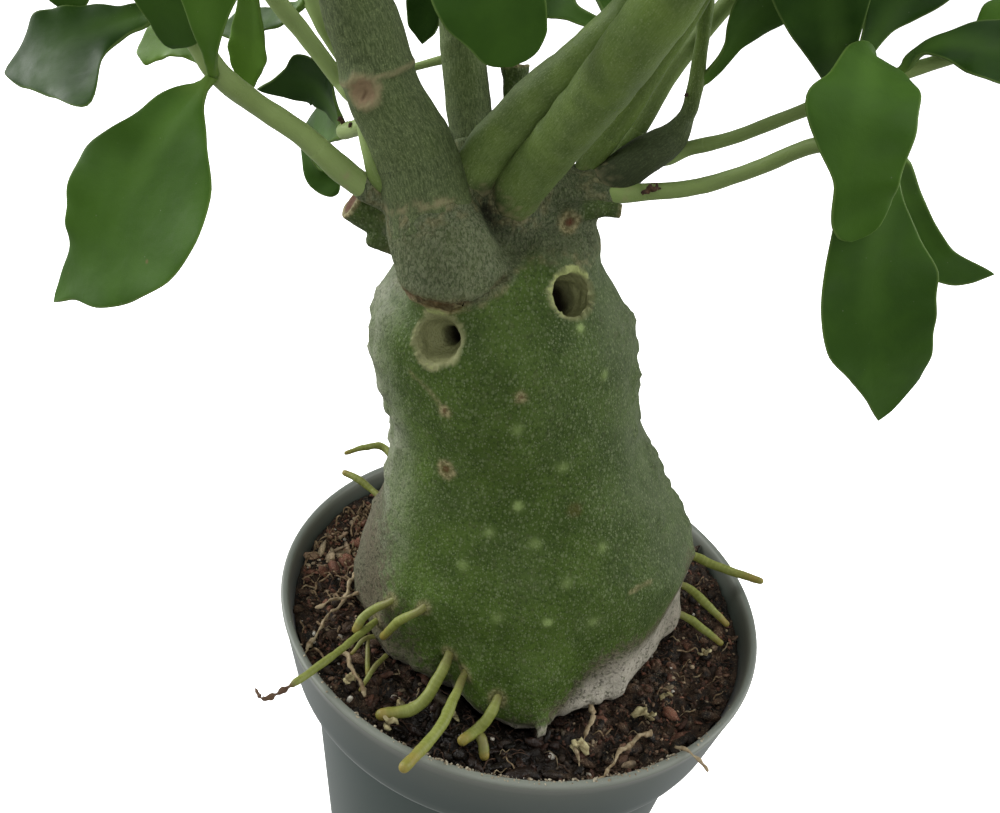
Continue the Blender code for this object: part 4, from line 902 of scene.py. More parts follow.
RIGHT_FAR = LeafyStem(
    "stem_right_far",
    Tube(((8, 5, 214), (11.5, 7, 214.5), (15.3, 8, 216.6), (22.1, 6, 220.3), (32.3, 2, 228.1),
          (41.4, -3, 235.6), (46.5, -6, 239.6), (52, -9, 243.5)), (1.6, 1.6, 1.4, 1.3, 1.25, 1.2, 1.2, 1.1),
         start=Bark.STALK, end=Bark.SHOOT),
    joint=0.35,
    leaves=(
        Leaf(((37, -0.5, 231.9), (33.5, -8, 240.5), (29, -12, 250), (24.5, -14.5, 262), (21, -16, 274)),
             (0.25, -0.85, -0.3), (1.9, 2.9, 4.3, 6.5, 8.8, 10, 9.5, 6),
             (2, 3.8, 5.7, 7.6, 9.4, 10.2, 9.2, 5.8), tone=LeafTone.DARK),
        Leaf(((37.6, -1, 232.4), (41, 2.5, 241), (44, 5, 249), (48, 8, 259), (52, 10, 268)),
             (0.1, -0.85, 0.35), (0.9, 1, 1.6, 4, 6.5, 8, 8, 5.2), (1.2, 2.2, 3.8, 6.4, 8.4, 9.3, 8.5, 5.2),
             tone=LeafTone.DARK),
        Leaf(((41.4, -3, 235.6), (38, -14, 242), (35.3, -30, 238.5), (35.5, -37, 229), (38.5, -36, 219.5)),
             (0.05, -0.8, 0.6), (1.5, 3, 4.6, 6, 8.9, 5.9, 2.9, 3.5),
             (1.5, 4, 6.5, 7.7, 7.7, 7.1, 6.6, 6.2), round_tip=True, wave=0.3, tone=LeafTone.CALM),
        Leaf(((45, -5.2, 238.6), (47, -9.5, 244), (54, -13, 246), (64, -18, 245), (76, -25, 239)),
             (0.1, -0.6, 0.75), (1, 1.4, 3.2, 5.2, 7.6, 8, 7.2, 4.8), (1.4, 1.8, 2.6, 4.2, 6, 7.5, 7, 4.5),
             tone=LeafTone.DARK),
    ),
    crown=(
        CrownLeaf((51.5, -8.8, 243.2), 20, 38, 40),
    ),
)
LOW_RIGHT = LeafyStem(
    "stem_low_right",
    Tube(((-3, -1, 203.5), (0.5, -1, 207.3), (7.2, 1, 208.6), (17.6, 0, 212), (26.8, -4, 218.6),
          (33.6, -9, 225.2), (39.9, -15, 229), (44.5, -20, 230)), (1.9, 1.9, 1.7, 1.5, 1.4, 1.4, 1.3, 1.2),
         start=Bark.STALK, end=Bark.SHOOT),
    joint=0.31,
    leaves=(
        Leaf(((44, -19.5, 230), (43.5, -26.5, 222.5), (45, -31, 210), (49, -32, 199), (55, -28, 186)),
             (0, -0.85, 0.5), (2.3, 4.9, 7, 7.2, 7.8, 7.5, 4.5, 1.9),
             (1.9, 3.5, 6.8, 10, 10.1, 10, 9.8, 8.1), tone=LeafTone.DEEP),
        Leaf(((44.5, -19.5, 230), (52, -12, 220), (61, -10, 211), (70, -12, 210)), (-0.35, -0.8, 0.4),
             (0.9, 0.9, 1.4, 2.8, 4, 4.4, 4, 2.6), (1.8, 2, 2, 2, 2.1, 1.9, 1.5, 0.9), tone=LeafTone.DEEP),
    ),
)
LEAFY_STEMS = (MAIN_LEFT, LOW_LEFT, BACK_LEFT, CENTRE, FRONT, RIGHT_INNER, RIGHT_OUTER,
               RIGHT_SHOOT, RIGHT_FAR, LOW_RIGHT)


# Ways to lay out shader nodes


class Painter:
    """Adds and links the nodes of one material or group."""

    def __init__(self, tree: bpy.types.NodeTree) -> None:
        """Keep the tree that the nodes go in."""
        self.tree = tree

    def node(self, kind: str, **settings: object) -> bpy.types.Node:
        """Add a node.

        Args:
            kind: Blender's name of the node's type.
            settings: Properties of the node to set.

        Returns:
            The node.
        """
        made = self.tree.nodes.new(kind)
        for name, value in settings.items():
            setattr(made, name, value)
        return made

    def feed(self, socket: bpy.types.NodeSocket, source: object) -> None:
        """Link a socket to an output, or set it to a plain value.

        Args:
            socket: The socket.
            source: An output, or a number or colour.
        """
        if isinstance(source, bpy.types.NodeSocket):
            self.tree.links.new(source, socket)
        else:
            socket.default_value = source

    def value(self, name: str) -> bpy.types.NodeSocket:
        """Return the number stored on the mesh under a name."""
        return self.node("ShaderNodeAttribute", attribute_name=name).outputs["Fac"]

    def sums(self, operation: str, first: object, second: object = 0.0) -> bpy.types.NodeSocket:
        """Do one sum on two numbers.

        Args:
            operation: Blender's name of the sum.
            first: First number or output.
            second: Second number or output.

        Returns:
            The result.
        """
        made = self.node("ShaderNodeMath", operation=operation)
        self.feed(made.inputs[0], first)
        self.feed(made.inputs[1], second)
        return made.outputs[0]

    def times(self, first: object, second: object) -> bpy.types.NodeSocket:
        """Multiply two numbers."""
        return self.sums("MULTIPLY", first, second)

    def plus(self, first: object, second: object) -> bpy.types.NodeSocket:
        """Add two numbers."""
        return self.sums("ADD", first, second)

    def sway(self, source: object, reach: float) -> bpy.types.NodeSocket:
        """Turn a mask into a number that sways about nothing, over a reach in all."""
        return self.times(self.sums("SUBTRACT", source, 0.5), reach)

    def span(self, source: object, low: float, high: float, start: float = 0.0,
             end: float = 1.0) -> bpy.types.NodeSocket:
        """Turn a range of numbers into another with an eased middle.

        Args:
            source: The number.
            low: Where the range starts.
            high: Where the range ends.
            start: What low becomes.
            end: What high becomes.

        Returns:
            The new number, held within start and end.
        """
        made = self.node("ShaderNodeMapRange", interpolation_type="SMOOTHSTEP")
        for name, number in zip(("Value", "From Min", "From Max", "To Min", "To Max"),
                                (source, low, high, start, end)):
            self.feed(made.inputs[name], number)
        return made.outputs["Result"]

    def mix(self, share: object, first: object, second: object) -> bpy.types.NodeSocket:
        """Blend two colours.

        Args:
            share: How much of the second colour shows.
            first: First colour.
            second: Second colour.

        Returns:
            The blended colour.
        """
        made = self.node("ShaderNodeMix", data_type="RGBA")
        self.feed(made.inputs[0], share)
        self.feed(made.inputs[6], first)
        self.feed(made.inputs[7], second)
        return made.outputs[2]

    def squeeze(self, place: object, by: Vec) -> bpy.types.NodeSocket:
        """Multiply each coordinate of a place, so that lumps become streaks.

        Args:
            place: The place.
            by: What each coordinate is multiplied by.

        Returns:
            The new place.
        """
        made = self.node("ShaderNodeVectorMath", operation="MULTIPLY")
        self.feed(made.inputs[0], place)
        made.inputs[1].default_value = by
        return made.outputs[0]

    def shrink(self, place: object, size: object) -> bpy.types.NodeSocket:
        """Divide a place by a size.

        Args:
            place: The place.
            size: What it is divided by.

        Returns:
            The new place.
        """
        made = self.node("ShaderNodeVectorMath", operation="SCALE")
        self.feed(made.inputs[0], place)
        self.feed(made.inputs["Scale"], self.sums("DIVIDE", 1.0, size))
        return made.outputs[0]

    def cloud(self, place: object, size: float, detail: float = 3.0, stretch: Vec | None = None,
              warp: float = 0.0) -> bpy.types.NodeSocket:
        """Lay soft noise over the surface.

        Args:
            place: Place in millimetres.
            size: Size of a lump in millimetres.
            detail: How much finer noise is added.
            stretch: What each direction is squeezed by, or none.
            warp: How far the noise is pulled about.

        Returns:
            The noise, around 0.5.
        """
        made = self.node("ShaderNodeTexNoise")
        made.inputs["Scale"].default_value = 1.0 / size
        made.inputs["Detail"].default_value = detail
        made.inputs["Distortion"].default_value = warp
        self.feed(made.inputs["Vector"], self.squeeze(place, stretch) if stretch else place)
        return made.outputs["Fac"]

    def group(self, tree: bpy.types.NodeTree, **inputs: object) -> bpy.types.Node:
        """Place a group and set its inputs by name.

        Args:
            tree: The group.
            inputs: A number, colour or output for each input by name.

        Returns:
            The group's node.
        """
        made = self.node("ShaderNodeGroup", node_tree=tree)
        for name, source in inputs.items():
            self.feed(made.inputs[name], source)
        return made


class Surface(Painter):
    """A material with one Principled shader, coloured coat by coat."""

    def __init__(self, name: str, effects: Effects, **fixed: float) -> None:
        """Make the material and set its fixed values.

        Args:
            name: Name of the material.
            effects: Shader groups.
            fixed: Values that are the same all over, by the shader's socket, with _ for
                a space.
        """
        self.material = bpy.data.materials.new(name)
        self.material.use_nodes = True
        super().__init__(self.material.node_tree)
        self.effects = effects
        self.shader = self.tree.nodes["Principled BSDF"]
        self.colour: object = None
        for socket, number in fixed.items():
            self.shader.inputs[socket.replace("_", " ")].default_value = number

    @cached_property
    def place(self) -> bpy.types.NodeSocket:
        """Return the place stored on the mesh, in millimetres."""
        return self.node("ShaderNodeAttribute", attribute_name="grain").outputs["Vector"]

    def clouds(self, size: float, detail: float = 3.0, **more: object) -> bpy.types.NodeSocket:
        """Return soft noise over this surface."""
        return self.cloud(self.place, size, detail, **more)

    def patches(self, size: float, spread: float) -> bpy.types.NodeSocket:
        """Return a mask of soft patches."""
        made = self.group(self.effects.blotches, Place=self.place, Size=size, Spread=spread)
        return made.outputs["Mask"]

    def dots(self, size: float, radius: float, missing: float,
             place: object = None) -> bpy.types.NodeSocket:
        """Return a mask of small separate dots.

        Args:
            size: Size of a cell in millimetres.
            radius: Radius of a dot as a share of it.
            missing: Share of the cells without a dot.
            place: Place in millimetres, or none for the surface's own.

        Returns:
            The mask.
        """
        made = self.group(self.effects.speckles, Place=self.place if place is None else place,
                          Size=size, Radius=radius, Missing=missing)
        return made.outputs["Mask"]

    def pores(self, size: float) -> bpy.types.NodeSocket:
        """Return the height of a fine pitted relief."""
        return self.group(self.effects.pores, Place=self.place, Size=size).outputs["Height"]

    def streaks(self, width: float) -> tuple[bpy.types.NodeSocket, bpy.types.NodeSocket]:
        """Return the mask and the height of fine fibres."""
        made = self.group(self.effects.streaks, Place=self.place, Width=width)
        return made.outputs["Mask"], made.outputs["Height"]

    def lay(self, mask: object, colour: object, strength: float | None = None) -> None:
        """Lay a colour over the coats so far.

        Args:
            mask: Where it shows.
            colour: The colour.
            strength: How much of it shows at most, or none for all of it.
        """
        mask = mask if strength is None else self.times(mask, strength)
        self.colour = self.mix(mask, self.colour, colour)

    def finish(self, roughness: object, height: object = None,
               depth: float = 0.1) -> bpy.types.Material:
        """Feed the shader.

        Args:
            roughness: Roughness.
            height: Height of the surface's relief from 0 to 1, or none.
            depth: Depth of the relief in millimetres.

        Returns:
            The material.
        """
        self.feed(self.shader.inputs["Base Color"], self.colour)
        self.feed(self.shader.inputs["Roughness"], roughness)
        if height is not None:
            bump = self.node("ShaderNodeBump")
            bump.inputs["Strength"].default_value = 1.0
            bump.inputs["Distance"].default_value = depth * MM
            self.feed(bump.inputs["Height"], height)
            self.feed(self.shader.inputs["Normal"], bump.outputs["Normal"])
        return self.material


class GroupMaker(Painter):
    """A node group with named inputs and outputs."""

    KINDS = {"value": "NodeSocketFloat", "vector": "NodeSocketVector", "colour": "NodeSocketColor"}

    def __init__(self, name: str, inputs: dict[str, object], outputs: dict[str, str]) -> None:
        """Make the group and its sockets.

        Args:
            name: Name of the group.
            inputs: Default value of each input by name: a number, or the name of its kind.
            outputs: Kind of each output by name.
        """
        super().__init__(bpy.data.node_groups.new(name, "ShaderNodeTree"))
        for socket, start in inputs.items():
            kind = start if isinstance(start, str) else "value"
            made = self.tree.interface.new_socket(socket, in_out="INPUT",
                                                  socket_type=self.KINDS[kind])
            if kind == "value":
                made.default_value = start
        for socket, kind in outputs.items():
            self.tree.interface.new_socket(socket, in_out="OUTPUT", socket_type=self.KINDS[kind])
        self.inputs = self.node("NodeGroupInput").outputs
        self.results = self.node("NodeGroupOutput").inputs


@dataclass(frozen=True)
class Effects:
    """The effects that more than one material uses, as node groups.

    Args:
        speckles: Small separate dots.
        streaks: Fine fibres along the grain, and the relief they make.
        blotches: Large soft patches.
        grime: Pale dust and lime that gathers in patches.
        pores: Fine pitted relief.
    """

    speckles: bpy.types.NodeTree
    streaks: bpy.types.NodeTree
    blotches: bpy.types.NodeTree
    grime: bpy.types.NodeTree
    pores: bpy.types.NodeTree

    @classmethod
    def build(cls) -> Effects:
        """Build every group once."""
        return cls(cls._speckles(), cls._streaks(), cls._blotches(), cls._grime(), cls._pores())

    @staticmethod
    def _speckles() -> bpy.types.NodeTree:
        """Make small dots, one in each cell, of which a share is left out.

        Returns:
            The group.
        """
        made = GroupMaker("Speckles", {"Place": "vector", "Size": 1.0, "Radius": 0.25,
                                       "Missing": 0.4}, {"Mask": "value"})
        cells = made.node("ShaderNodeTexVoronoi")
        made.feed(cells.inputs["Scale"], made.sums("DIVIDE", 1.0, made.inputs["Size"]))
        cells.inputs["Randomness"].default_value = 0.95
        made.feed(cells.inputs["Vector"], made.inputs["Place"])
        split = made.node("ShaderNodeSeparateColor")
        made.feed(split.inputs[0], cells.outputs["Color"])
        reach = made.times(made.inputs["Radius"], made.span(split.outputs[0], 0.0, 1.0, 0.6, 1.3))
        dot = made.span(made.sums("DIVIDE", cells.outputs["Distance"], reach), 0.45, 1.0, 1.0, 0.0)
        kept = made.sums("GREATER_THAN", split.outputs[1], made.inputs["Missing"])
        power = made.times(dot, made.span(split.outputs[2], 0.0, 1.0, 0.35, 1.0))
        made.feed(made.results["Mask"], made.times(power, kept))
        return made.tree

    @staticmethod
    def _streaks() -> bpy.types.NodeTree:
        """Make fine fibres that run along the third coordinate of the place.

        Returns:
            The group.
        """
        made = GroupMaker("Streaks", {"Place": "vector", "Width": 0.6},
                          {"Mask": "value", "Height": "value"})
        fibres = made.node("ShaderNodeTexNoise")
        for name, number in (("Scale", 1.0), ("Detail", 4.0), ("Roughness", 0.62),
                             ("Distortion", 0.5)):
            fibres.inputs[name].default_value = number
        long = made.squeeze(made.inputs["Place"], (1.0, 1.0, 0.22))
        made.feed(fibres.inputs["Vector"], made.shrink(long, made.inputs["Width"]))
        made.feed(made.results["Mask"], made.span(fibres.outputs["Fac"], 0.42, 0.62))
        made.feed(made.results["Height"], fibres.outputs["Fac"])
        return made.tree

    @staticmethod
    def _blotches() -> bpy.types.NodeTree:
        """Make large soft patches with a second, finer pattern in them.

        Returns:
            The group.
        """
        made = GroupMaker("Blotches", {"Place": "vector", "Size": 10.0, "Spread": 0.12},
                          {"Mask": "value"})
        place = made.shrink(made.inputs["Place"], made.inputs["Size"])
        low = made.sums("SUBTRACT", 0.5, made.inputs["Spread"])
        high = made.plus(0.5, made.inputs["Spread"])
        made.feed(made.results["Mask"], made.span(made.cloud(place, 1.0, 4.0, warp=0.3), low, high))
        return made.tree

    @staticmethod
    def _grime() -> bpy.types.NodeTree:
        """Lay pale dust over a colour, in patches and in single grains.

        Returns:
            The group.
        """
        made = GroupMaker("Grime", {"Colour": "colour", "Dust": "colour", "Amount": 0.3,
                                    "Place": "vector"}, {"Colour": "colour", "Mask": "value"})
        patches = made.span(made.cloud(made.inputs["Place"], 6.0, 5.0), 0.35, 0.7)
        grains = made.span(made.cloud(made.inputs["Place"], 0.45, 2.0), 0.5, 0.68)
        mask = made.times(made.plus(made.times(patches, 0.45), made.times(grains, 0.55)),
                          made.inputs["Amount"])
        made.feed(made.results["Colour"], made.mix(mask, made.inputs["Colour"],
                                                   made.inputs["Dust"]))
        made.feed(made.results["Mask"], mask)
        return made.tree

    @staticmethod
    def _pores() -> bpy.types.NodeTree:
        """Make a fine pitted relief.

        Returns:
            The group.
        """
        made = GroupMaker("Pores", {"Place": "vector", "Size": 0.5}, {"Height": "value"})
        place = made.shrink(made.inputs["Place"], made.inputs["Size"])
        made.feed(made.results["Height"], made.plus(made.times(made.cloud(place, 0.6), 0.5),
                                                    made.times(made.cloud(place, 3.0, 2.0), 0.5)))
        return made.tree


# Finishes


@dataclass(frozen=True)
class SkinFinish:
    """Skin of the caudex: waxy green with pale speckles, grey at the flanks from its waxy coat and a
    painted sheen, corky at its foot, with painted shade in its holes, its cleft and its right side.
    """

    deep: Colour = paint(56, 75, 24)
    green: Colour = paint(71, 92, 34)
    # Pale grey of the waxy coat and of the painted sheen on the flanks
    bloom_and_sheen: Colour = paint(138, 142, 122)
    neck_dark: Colour = paint(74, 84, 58)
    neck_light: Colour = paint(120, 126, 98)
    neck_green: Colour = paint(88, 98, 56)
    cork_dark: Colour = paint(54, 56, 38)
    cork_light: Colour = paint(102, 100, 78)
    cork_stain: Colour = paint(104, 88, 74)
    chalk: Colour = paint(190, 184, 170)
    speckle: Colour = paint(124, 136, 98)
    spot: Colour = paint(134, 154, 92)
    tan: Colour = paint(150, 142, 104)
    tan_dark: Colour = paint(100, 94, 62)
    wall: Colour = paint(132, 134, 94)
    flap: Colour = paint(154, 162, 104)
    gap: Colour = paint(34, 50, 14)
    shade: Colour = paint(34, 42, 22)
    brown: Colour = paint(92, 44, 30)
    # Painted shade at the bottoms of the ant holes and in the cleft between the stems
    shade_in_hollows: Colour = paint(30, 26, 18)

    def material(self, effects: Effects) -> bpy.types.Material:
        """Build the material, which reads the masks that the caudex is painted with.

        Args:
            effects: Shader groups.

        Returns:
            The material.
        """
        make = Surface("caudex skin", effects, Specular_IOR_Level=0.14)
        patches, small = make.patches(9.0, 0.2), make.patches(1.3, 0.2)
        ridges = make.clouds(0.45, 4.0, stretch=(1.0, 1.0, 0.5), warp=0.8)
        grain, neck = make.clouds(0.62, 4.0), make.value("neck")
        make.colour = make.mix(patches, self.deep, self.green)
        # Partly the waxy coat and partly painted sheen: the flanks are laid pale grey, in patches
        flank = make.times(make.value("bloom_and_sheen"), make.span(small, 0.0, 1.0, 0.72, 1.0))
        worn = make.span(make.clouds(4.5, 4.0, warp=0.5), 0.36, 0.62, 0.5, 1.0)
        make.lay(make.times(flank, worn), self.bloom_and_sheen)
        make.lay(make.span(grain, 0.52, 0.32, 0.0, 0.55), self.gap)
        wrinkled = make.mix(make.span(ridges, 0.36, 0.64), self.neck_dark, self.neck_light)
        make.lay(neck, make.mix(make.times(patches, 0.35), wrinkled, self.neck_green))
        # Painted shade: darker at the right of the necks, in the cleft between the stems and down the right
        # flank
        make.lay(make.value("painted_shade"), self.shade)
        edge = make.span(make.plus(make.value("cork"), make.sway(small, 0.6)), 0.05, 1.0)
        pits = make.span(make.clouds(0.9, 4.0, warp=0.6), 0.53, 0.68)
        mealy = make.span(make.clouds(0.35, 4.0), 0.3, 0.7)
        corky = make.mix(mealy, self.cork_dark, self.cork_light)
        for mask, strength, colour in ((patches, 0.35, self.cork_stain),
                                       (make.value("chalk"), 0.75, self.chalk),
                                       (pits, 0.6, self.cork_dark)):
            corky = make.mix(make.times(mask, strength), corky, colour)
        make.lay(edge, corky)
        tall = make.squeeze(make.place, (1.0, 1.0, 0.72))
        dotted = make.sums("MAXIMUM", make.times(make.dots(0.85, 0.4, 0.05, tall), 0.55),
                           make.times(make.dots(0.46, 0.42, 0.1, tall), 0.7))
        dotted = make.times(dotted, make.span(edge, 0.0, 1.0, 0.75, 0.25))
        make.lay(dotted, self.speckle)
        make.lay(make.value("spot"), self.spot, 0.55)
        flakes = make.span(make.clouds(0.7, 4.0), 0.38, 0.62)
        make.lay(make.value("tan"), make.mix(flakes, self.tan_dark, self.tan))
        lip = make.span(make.plus(make.clouds(0.5, 4.0), make.value("lip")), 0.5, 1.1)
        make.lay(make.value("flap"), make.mix(lip, self.wall, self.flap))
        make.lay(make.value("brown"), self.brown)
        # Painted shade: near black at the bottoms of the ant holes and in the cleft between the stems
        make.lay(make.value("shade_in_hollows"), self.shade_in_hollows)
        roughness = make.span(make.sums("MAXIMUM", edge, neck), 0.0, 1.0, 0.55, 0.85)
        pitted = make.times(make.pores(0.4), make.span(edge, 0.0, 1.0, 0.6, 1.8))
        relief = make.plus(make.times(dotted, 0.3), pitted)
        relief = make.plus(relief, make.times(ridges, make.span(neck, 0.0, 1.0, 0.1, 2.8)))
        relief = make.sums("SUBTRACT", make.plus(relief, grain), make.times(pits, edge))
        return make.finish(roughness, relief, 0.28)


@dataclass(frozen=True)
class StemFinish:
    """Skin of the stems, from grey bark to smooth green."""

    bark: Colour = paint(96, 106, 76)
    bark_dark: Colour = paint(46, 54, 32)
    green: Colour = paint(98, 124, 40)
    green_deep: Colour = paint(78, 104, 30)
    pale: Colour = paint(152, 172, 108)
    dot: Colour = paint(142, 156, 104)
    scar: Colour = paint(146, 136, 102)
    pink: Colour = paint(142, 122, 94)
    brown: Colour = paint(70, 48, 32)

    def material(self, effects: Effects) -> bpy.types.Material:
        """Build the material, which reads each stem's age, paleness and darkness, the darkness with painted
        shade between the stems' feet.

        Args:
            effects: Shader groups.

        Returns:
            The material.
        """
        make = Surface("stem skin", effects, Specular_IOR_Level=0.16)
        fibres, height = make.streaks(0.26)
        age = make.value("age")
        green = make.mix(make.patches(5.0, 0.2), self.green_deep, self.green)
        make.colour = make.mix(make.value("pale"), green, self.pale)
        grooves = make.span(height, 0.3, 0.7, 0.25, 0.95)
        make.lay(age, make.mix(grooves, self.bark_dark, self.bark))
        # Dark bark, and painted shade between the stems' feet
        make.lay(make.value("dark"), self.bark_dark)
        lit = make.span(make.value("dark"), 0.2, 1.0, 1.0, 0.2)
        make.lay(make.times(make.times(fibres, lit), make.span(age, 0.0, 1.0, 0.03, 0.2)), self.dot)
        dotted = make.sums("MAXIMUM", make.dots(0.8, 0.26, 0.5),
                           make.times(make.dots(0.38, 0.4, 0.1), 0.75))
        dotted = make.times(dotted, lit)
        make.lay(make.times(dotted, make.span(age, 0.0, 0.5, 0.12, 0.5)), self.dot)
        make.lay(make.value("ring"), self.scar)
        make.lay(make.value("pink"), self.pink)
        make.lay(make.value("brown"), self.brown)
        relief = make.plus(make.times(height, make.span(age, 0.0, 1.0, 0.3, 1.1)),
                           make.times(dotted, 0.25))
        return make.finish(make.span(age, 0.0, 1.0, 0.42, 0.68), relief, 0.16)


@dataclass(frozen=True)
class LeafFinish:
    """Thick glossy leaves with a faint midrib and a thin lighter margin."""

    dark: Colour = paint(33, 58, 17)
    bright: Colour = paint(100, 146, 44)
    yellow: Colour = paint(140, 176, 62)
    under: Colour = paint(86, 116, 58)
    rib: Colour = paint(104, 142, 62)
    margin: Colour = paint(116, 140, 74)
    stalk: Colour = paint(98, 126, 52)
    freckle: Colour = paint(104, 92, 56)
    dust: Colour = paint(150, 158, 132)

    def material(self, effects: Effects) -> bpy.types.Material:
        """Build the material, which reads each leaf's tone and the place on its blade.

        Args:
            effects: Shader groups.

        Returns:
            The material.
        """
        make = Surface("leaf", effects, Specular_IOR_Level=0.09)
        side, along, edge = (make.value(name) for name in ("side", "share", "edge"))
        # Partly the leaf's own colour and partly painted shade: leaves that others shade are laid darker
        tone = make.plus(make.value("tone"), make.sway(make.patches(8.0, 0.22), 0.09))
        make.colour = make.mix(tone, self.dark, self.bright)
        make.lay(make.value("hue"), self.yellow)
        make.lay(make.value("under"), self.under, 0.45)
        midrib = make.span(make.sums("ABSOLUTE", side), 0.2, 3.2, 1.0, 0.0)
        make.lay(make.times(midrib, make.span(along, 0.1, 0.75, 0.24, 0.02)), self.rib)
        make.lay(make.span(edge, 0.1, 0.45, 1.0, 0.0), self.margin, 0.4)
        make.lay(make.dots(6.5, 0.06, 0.8), self.freckle, 0.7)
        make.lay(make.dots(1.3, 0.09, 0.75), self.dust, 0.3)
        make.lay(make.span(along, 0.03, 0.15, 1.0, 0.0), self.stalk, 0.6)
        make.lay(make.value("mark"), self.freckle)
        relief = make.plus(make.times(make.pores(0.35), 0.3), make.times(make.clouds(3.2, 2.0), 0.9))
        return make.finish(make.span(make.clouds(4.0), 0.3, 0.7, 0.42, 0.56), relief, 0.1)


@dataclass(frozen=True)
class RootFinish:
    """Stubby green roots with faint rings, brownish feet and tips, and dry brown ends."""

    middle: Colour = paint(110, 118, 50)
    light: Colour = paint(142, 148, 84)
    foot: Colour = paint(104, 98, 58)
    tip: Colour = paint(132, 110, 48)
    dead: Colour = paint(58, 38, 28)
    dead_light: Colour = paint(104, 82, 60)

    def material(self, effects: Effects) -> bpy.types.Material:
        """Build the material, which reads how far along the root a place is.

        Args:
            effects: Shader groups.

        Returns:
            The material.
        """
        make = Surface("green root", effects, Specular_IOR_Level=0.3)
        along, dead = make.value("along"), make.value("dead")
        patches, fine = make.patches(2.2, 0.2), make.pores(0.35)
        waved = make.plus(make.times(along, 5.6), make.times(make.clouds(1.4, 2.0), 3.0))
        rings = make.span(make.sums("SINE", waved), 0.1, 1.0)
        make.colour = make.mix(make.times(rings, 0.2), self.middle, self.light)
        make.lay(patches, self.light, 0.4)
        make.lay(make.times(make.span(make.value("share"), 0.78, 1.0),
                            make.span(patches, 0.0, 1.0, 0.35, 0.75)), self.tip)
        make.lay(make.times(make.span(along, 5.0, 8.0, 1.0, 0.0),
                            make.span(patches, 0.0, 1.0, 0.45, 0.9)), self.foot)
        make.lay(dead, make.mix(fine, self.dead, self.dead_light))
        relief = make.plus(make.times(rings, 0.2), make.times(fine, 0.7))
        return make.finish(make.span(dead, 0.0, 1.0, 0.48, 0.8), relief, 0.12)


@dataclass(frozen=True)
class MixFinish:
    """Potting mix: dark peat with reddish and tan crumbs, and painted shade at its front."""

    dark: Colour = paint(14, 11, 8)
    brown: Colour = paint(100, 76, 58)
    red: Colour = paint(134, 90, 72)
    tan: Colour = paint(204, 184, 150)

    def material(self, effects: Effects) -> bpy.types.Material:
        """Build the material, which reads the kind of each crumb.

        Args:
            effects: Shader groups.

        Returns:
            The material.
        """
        make = Surface("potting mix", effects, Specular_IOR_Level=0.22)
        kind, damp, patches = make.value("kind"), make.value("damp"), make.patches(4.0, 0.15)
        make.colour = make.mix(patches, self.dark, self.brown)
        make.lay(make.span(kind, 0.35, 0.6), self.red)
        make.lay(make.span(kind, 0.8, 0.97), self.tan)
        make.lay(make.span(make.clouds(0.32), 0.54, 0.66), self.tan, 0.35)
        make.lay(make.streaks(0.5)[0], self.dark, 0.3)
        make.lay(make.value("deep"), self.dark, 0.85)
        make.lay(make.span(make.clouds(5.0, 2.0), 0.4, 0.6), self.dark, 0.5)
        # Painted shade: the front of the mix is laid dark, and its roughness is lowered there
        make.lay(damp, self.dark, 0.88)
        dryness = make.sums("SUBTRACT", patches, damp)
        return make.finish(make.span(dryness, -0.6, 1.0, 0.35, 0.8), make.pores(0.7), 0.5)


@dataclass(frozen=True)
class PaleFinish:
    """Dry matter in the mix: perlite, dead roots, husks and threads.

    Args:
        name: Name of the material.
        light: Colour of most of it.
        dark: Colour of its stains.
    """

    name: str
    light: Colour
    dark: Colour

    def material(self, effects: Effects) -> bpy.types.Material:
        """Build the material.

        Args:
            effects: Shader groups.

        Returns:
            The material.
        """
        make = Surface(self.name, effects, Specular_IOR_Level=0.3)
        make.colour = make.mix(make.patches(1.4, 0.22), self.dark, self.light)
        pores = make.pores(0.4)
        return make.finish(make.span(pores, 0.3, 0.7, 0.75, 0.95), pores, 0.25)


@dataclass(frozen=True)
class PlasticFinish:
    """Matte blue-green nursery pot with scuffs, dust and lime at the rim."""

    plastic: Colour = paint(30, 47, 43)
    faded: Colour = paint(54, 71, 65)
    scuff: Colour = paint(122, 132, 124)
    lime: Colour = paint(200, 194, 176)

    def material(self, effects: Effects) -> bpy.types.Material:
        """Build the material, which reads how worn and how limy a place is.

        Args:
            effects: Shader groups.

        Returns:
            The material.
        """
        make = Surface("pot plastic", effects, Specular_IOR_Level=0.42, Sheen_Weight=0.16,
                       Sheen_Roughness=0.3)
        make.colour = make.mix(make.patches(15.0, 0.16), self.plastic, self.faded)
        rings = make.clouds(1.6, stretch=(0.04, 0.04, 1.6))
        make.lay(make.span(rings, 0.5, 0.72, 0.0, 0.28), self.scuff)
        scratches = make.clouds(1.1, 5.0, stretch=(0.25, 0.25, 1.4), warp=1.2)
        make.lay(make.span(scratches, 0.6, 0.7), self.scuff, 0.4)
        smears = make.clouds(7.0, 5.0, stretch=(1.0, 1.0, 0.3), warp=0.9)
        make.lay(make.span(smears, 0.5, 0.72), self.scuff, 0.32)
        make.lay(make.value("worn"), self.scuff, 0.4)
        grime = make.group(effects.grime, Colour=make.colour, Dust=self.lime,
                           Amount=make.value("lime"), Place=make.place).outputs
        make.colour = grime["Colour"]
        relief = make.plus(make.times(make.pores(0.5), 0.5), make.times(grime["Mask"], 1.2))
        return make.finish(make.span(grime["Mask"], 0.0, 0.6, 0.4, 0.85), relief, 0.1)


# Sub-assemblies


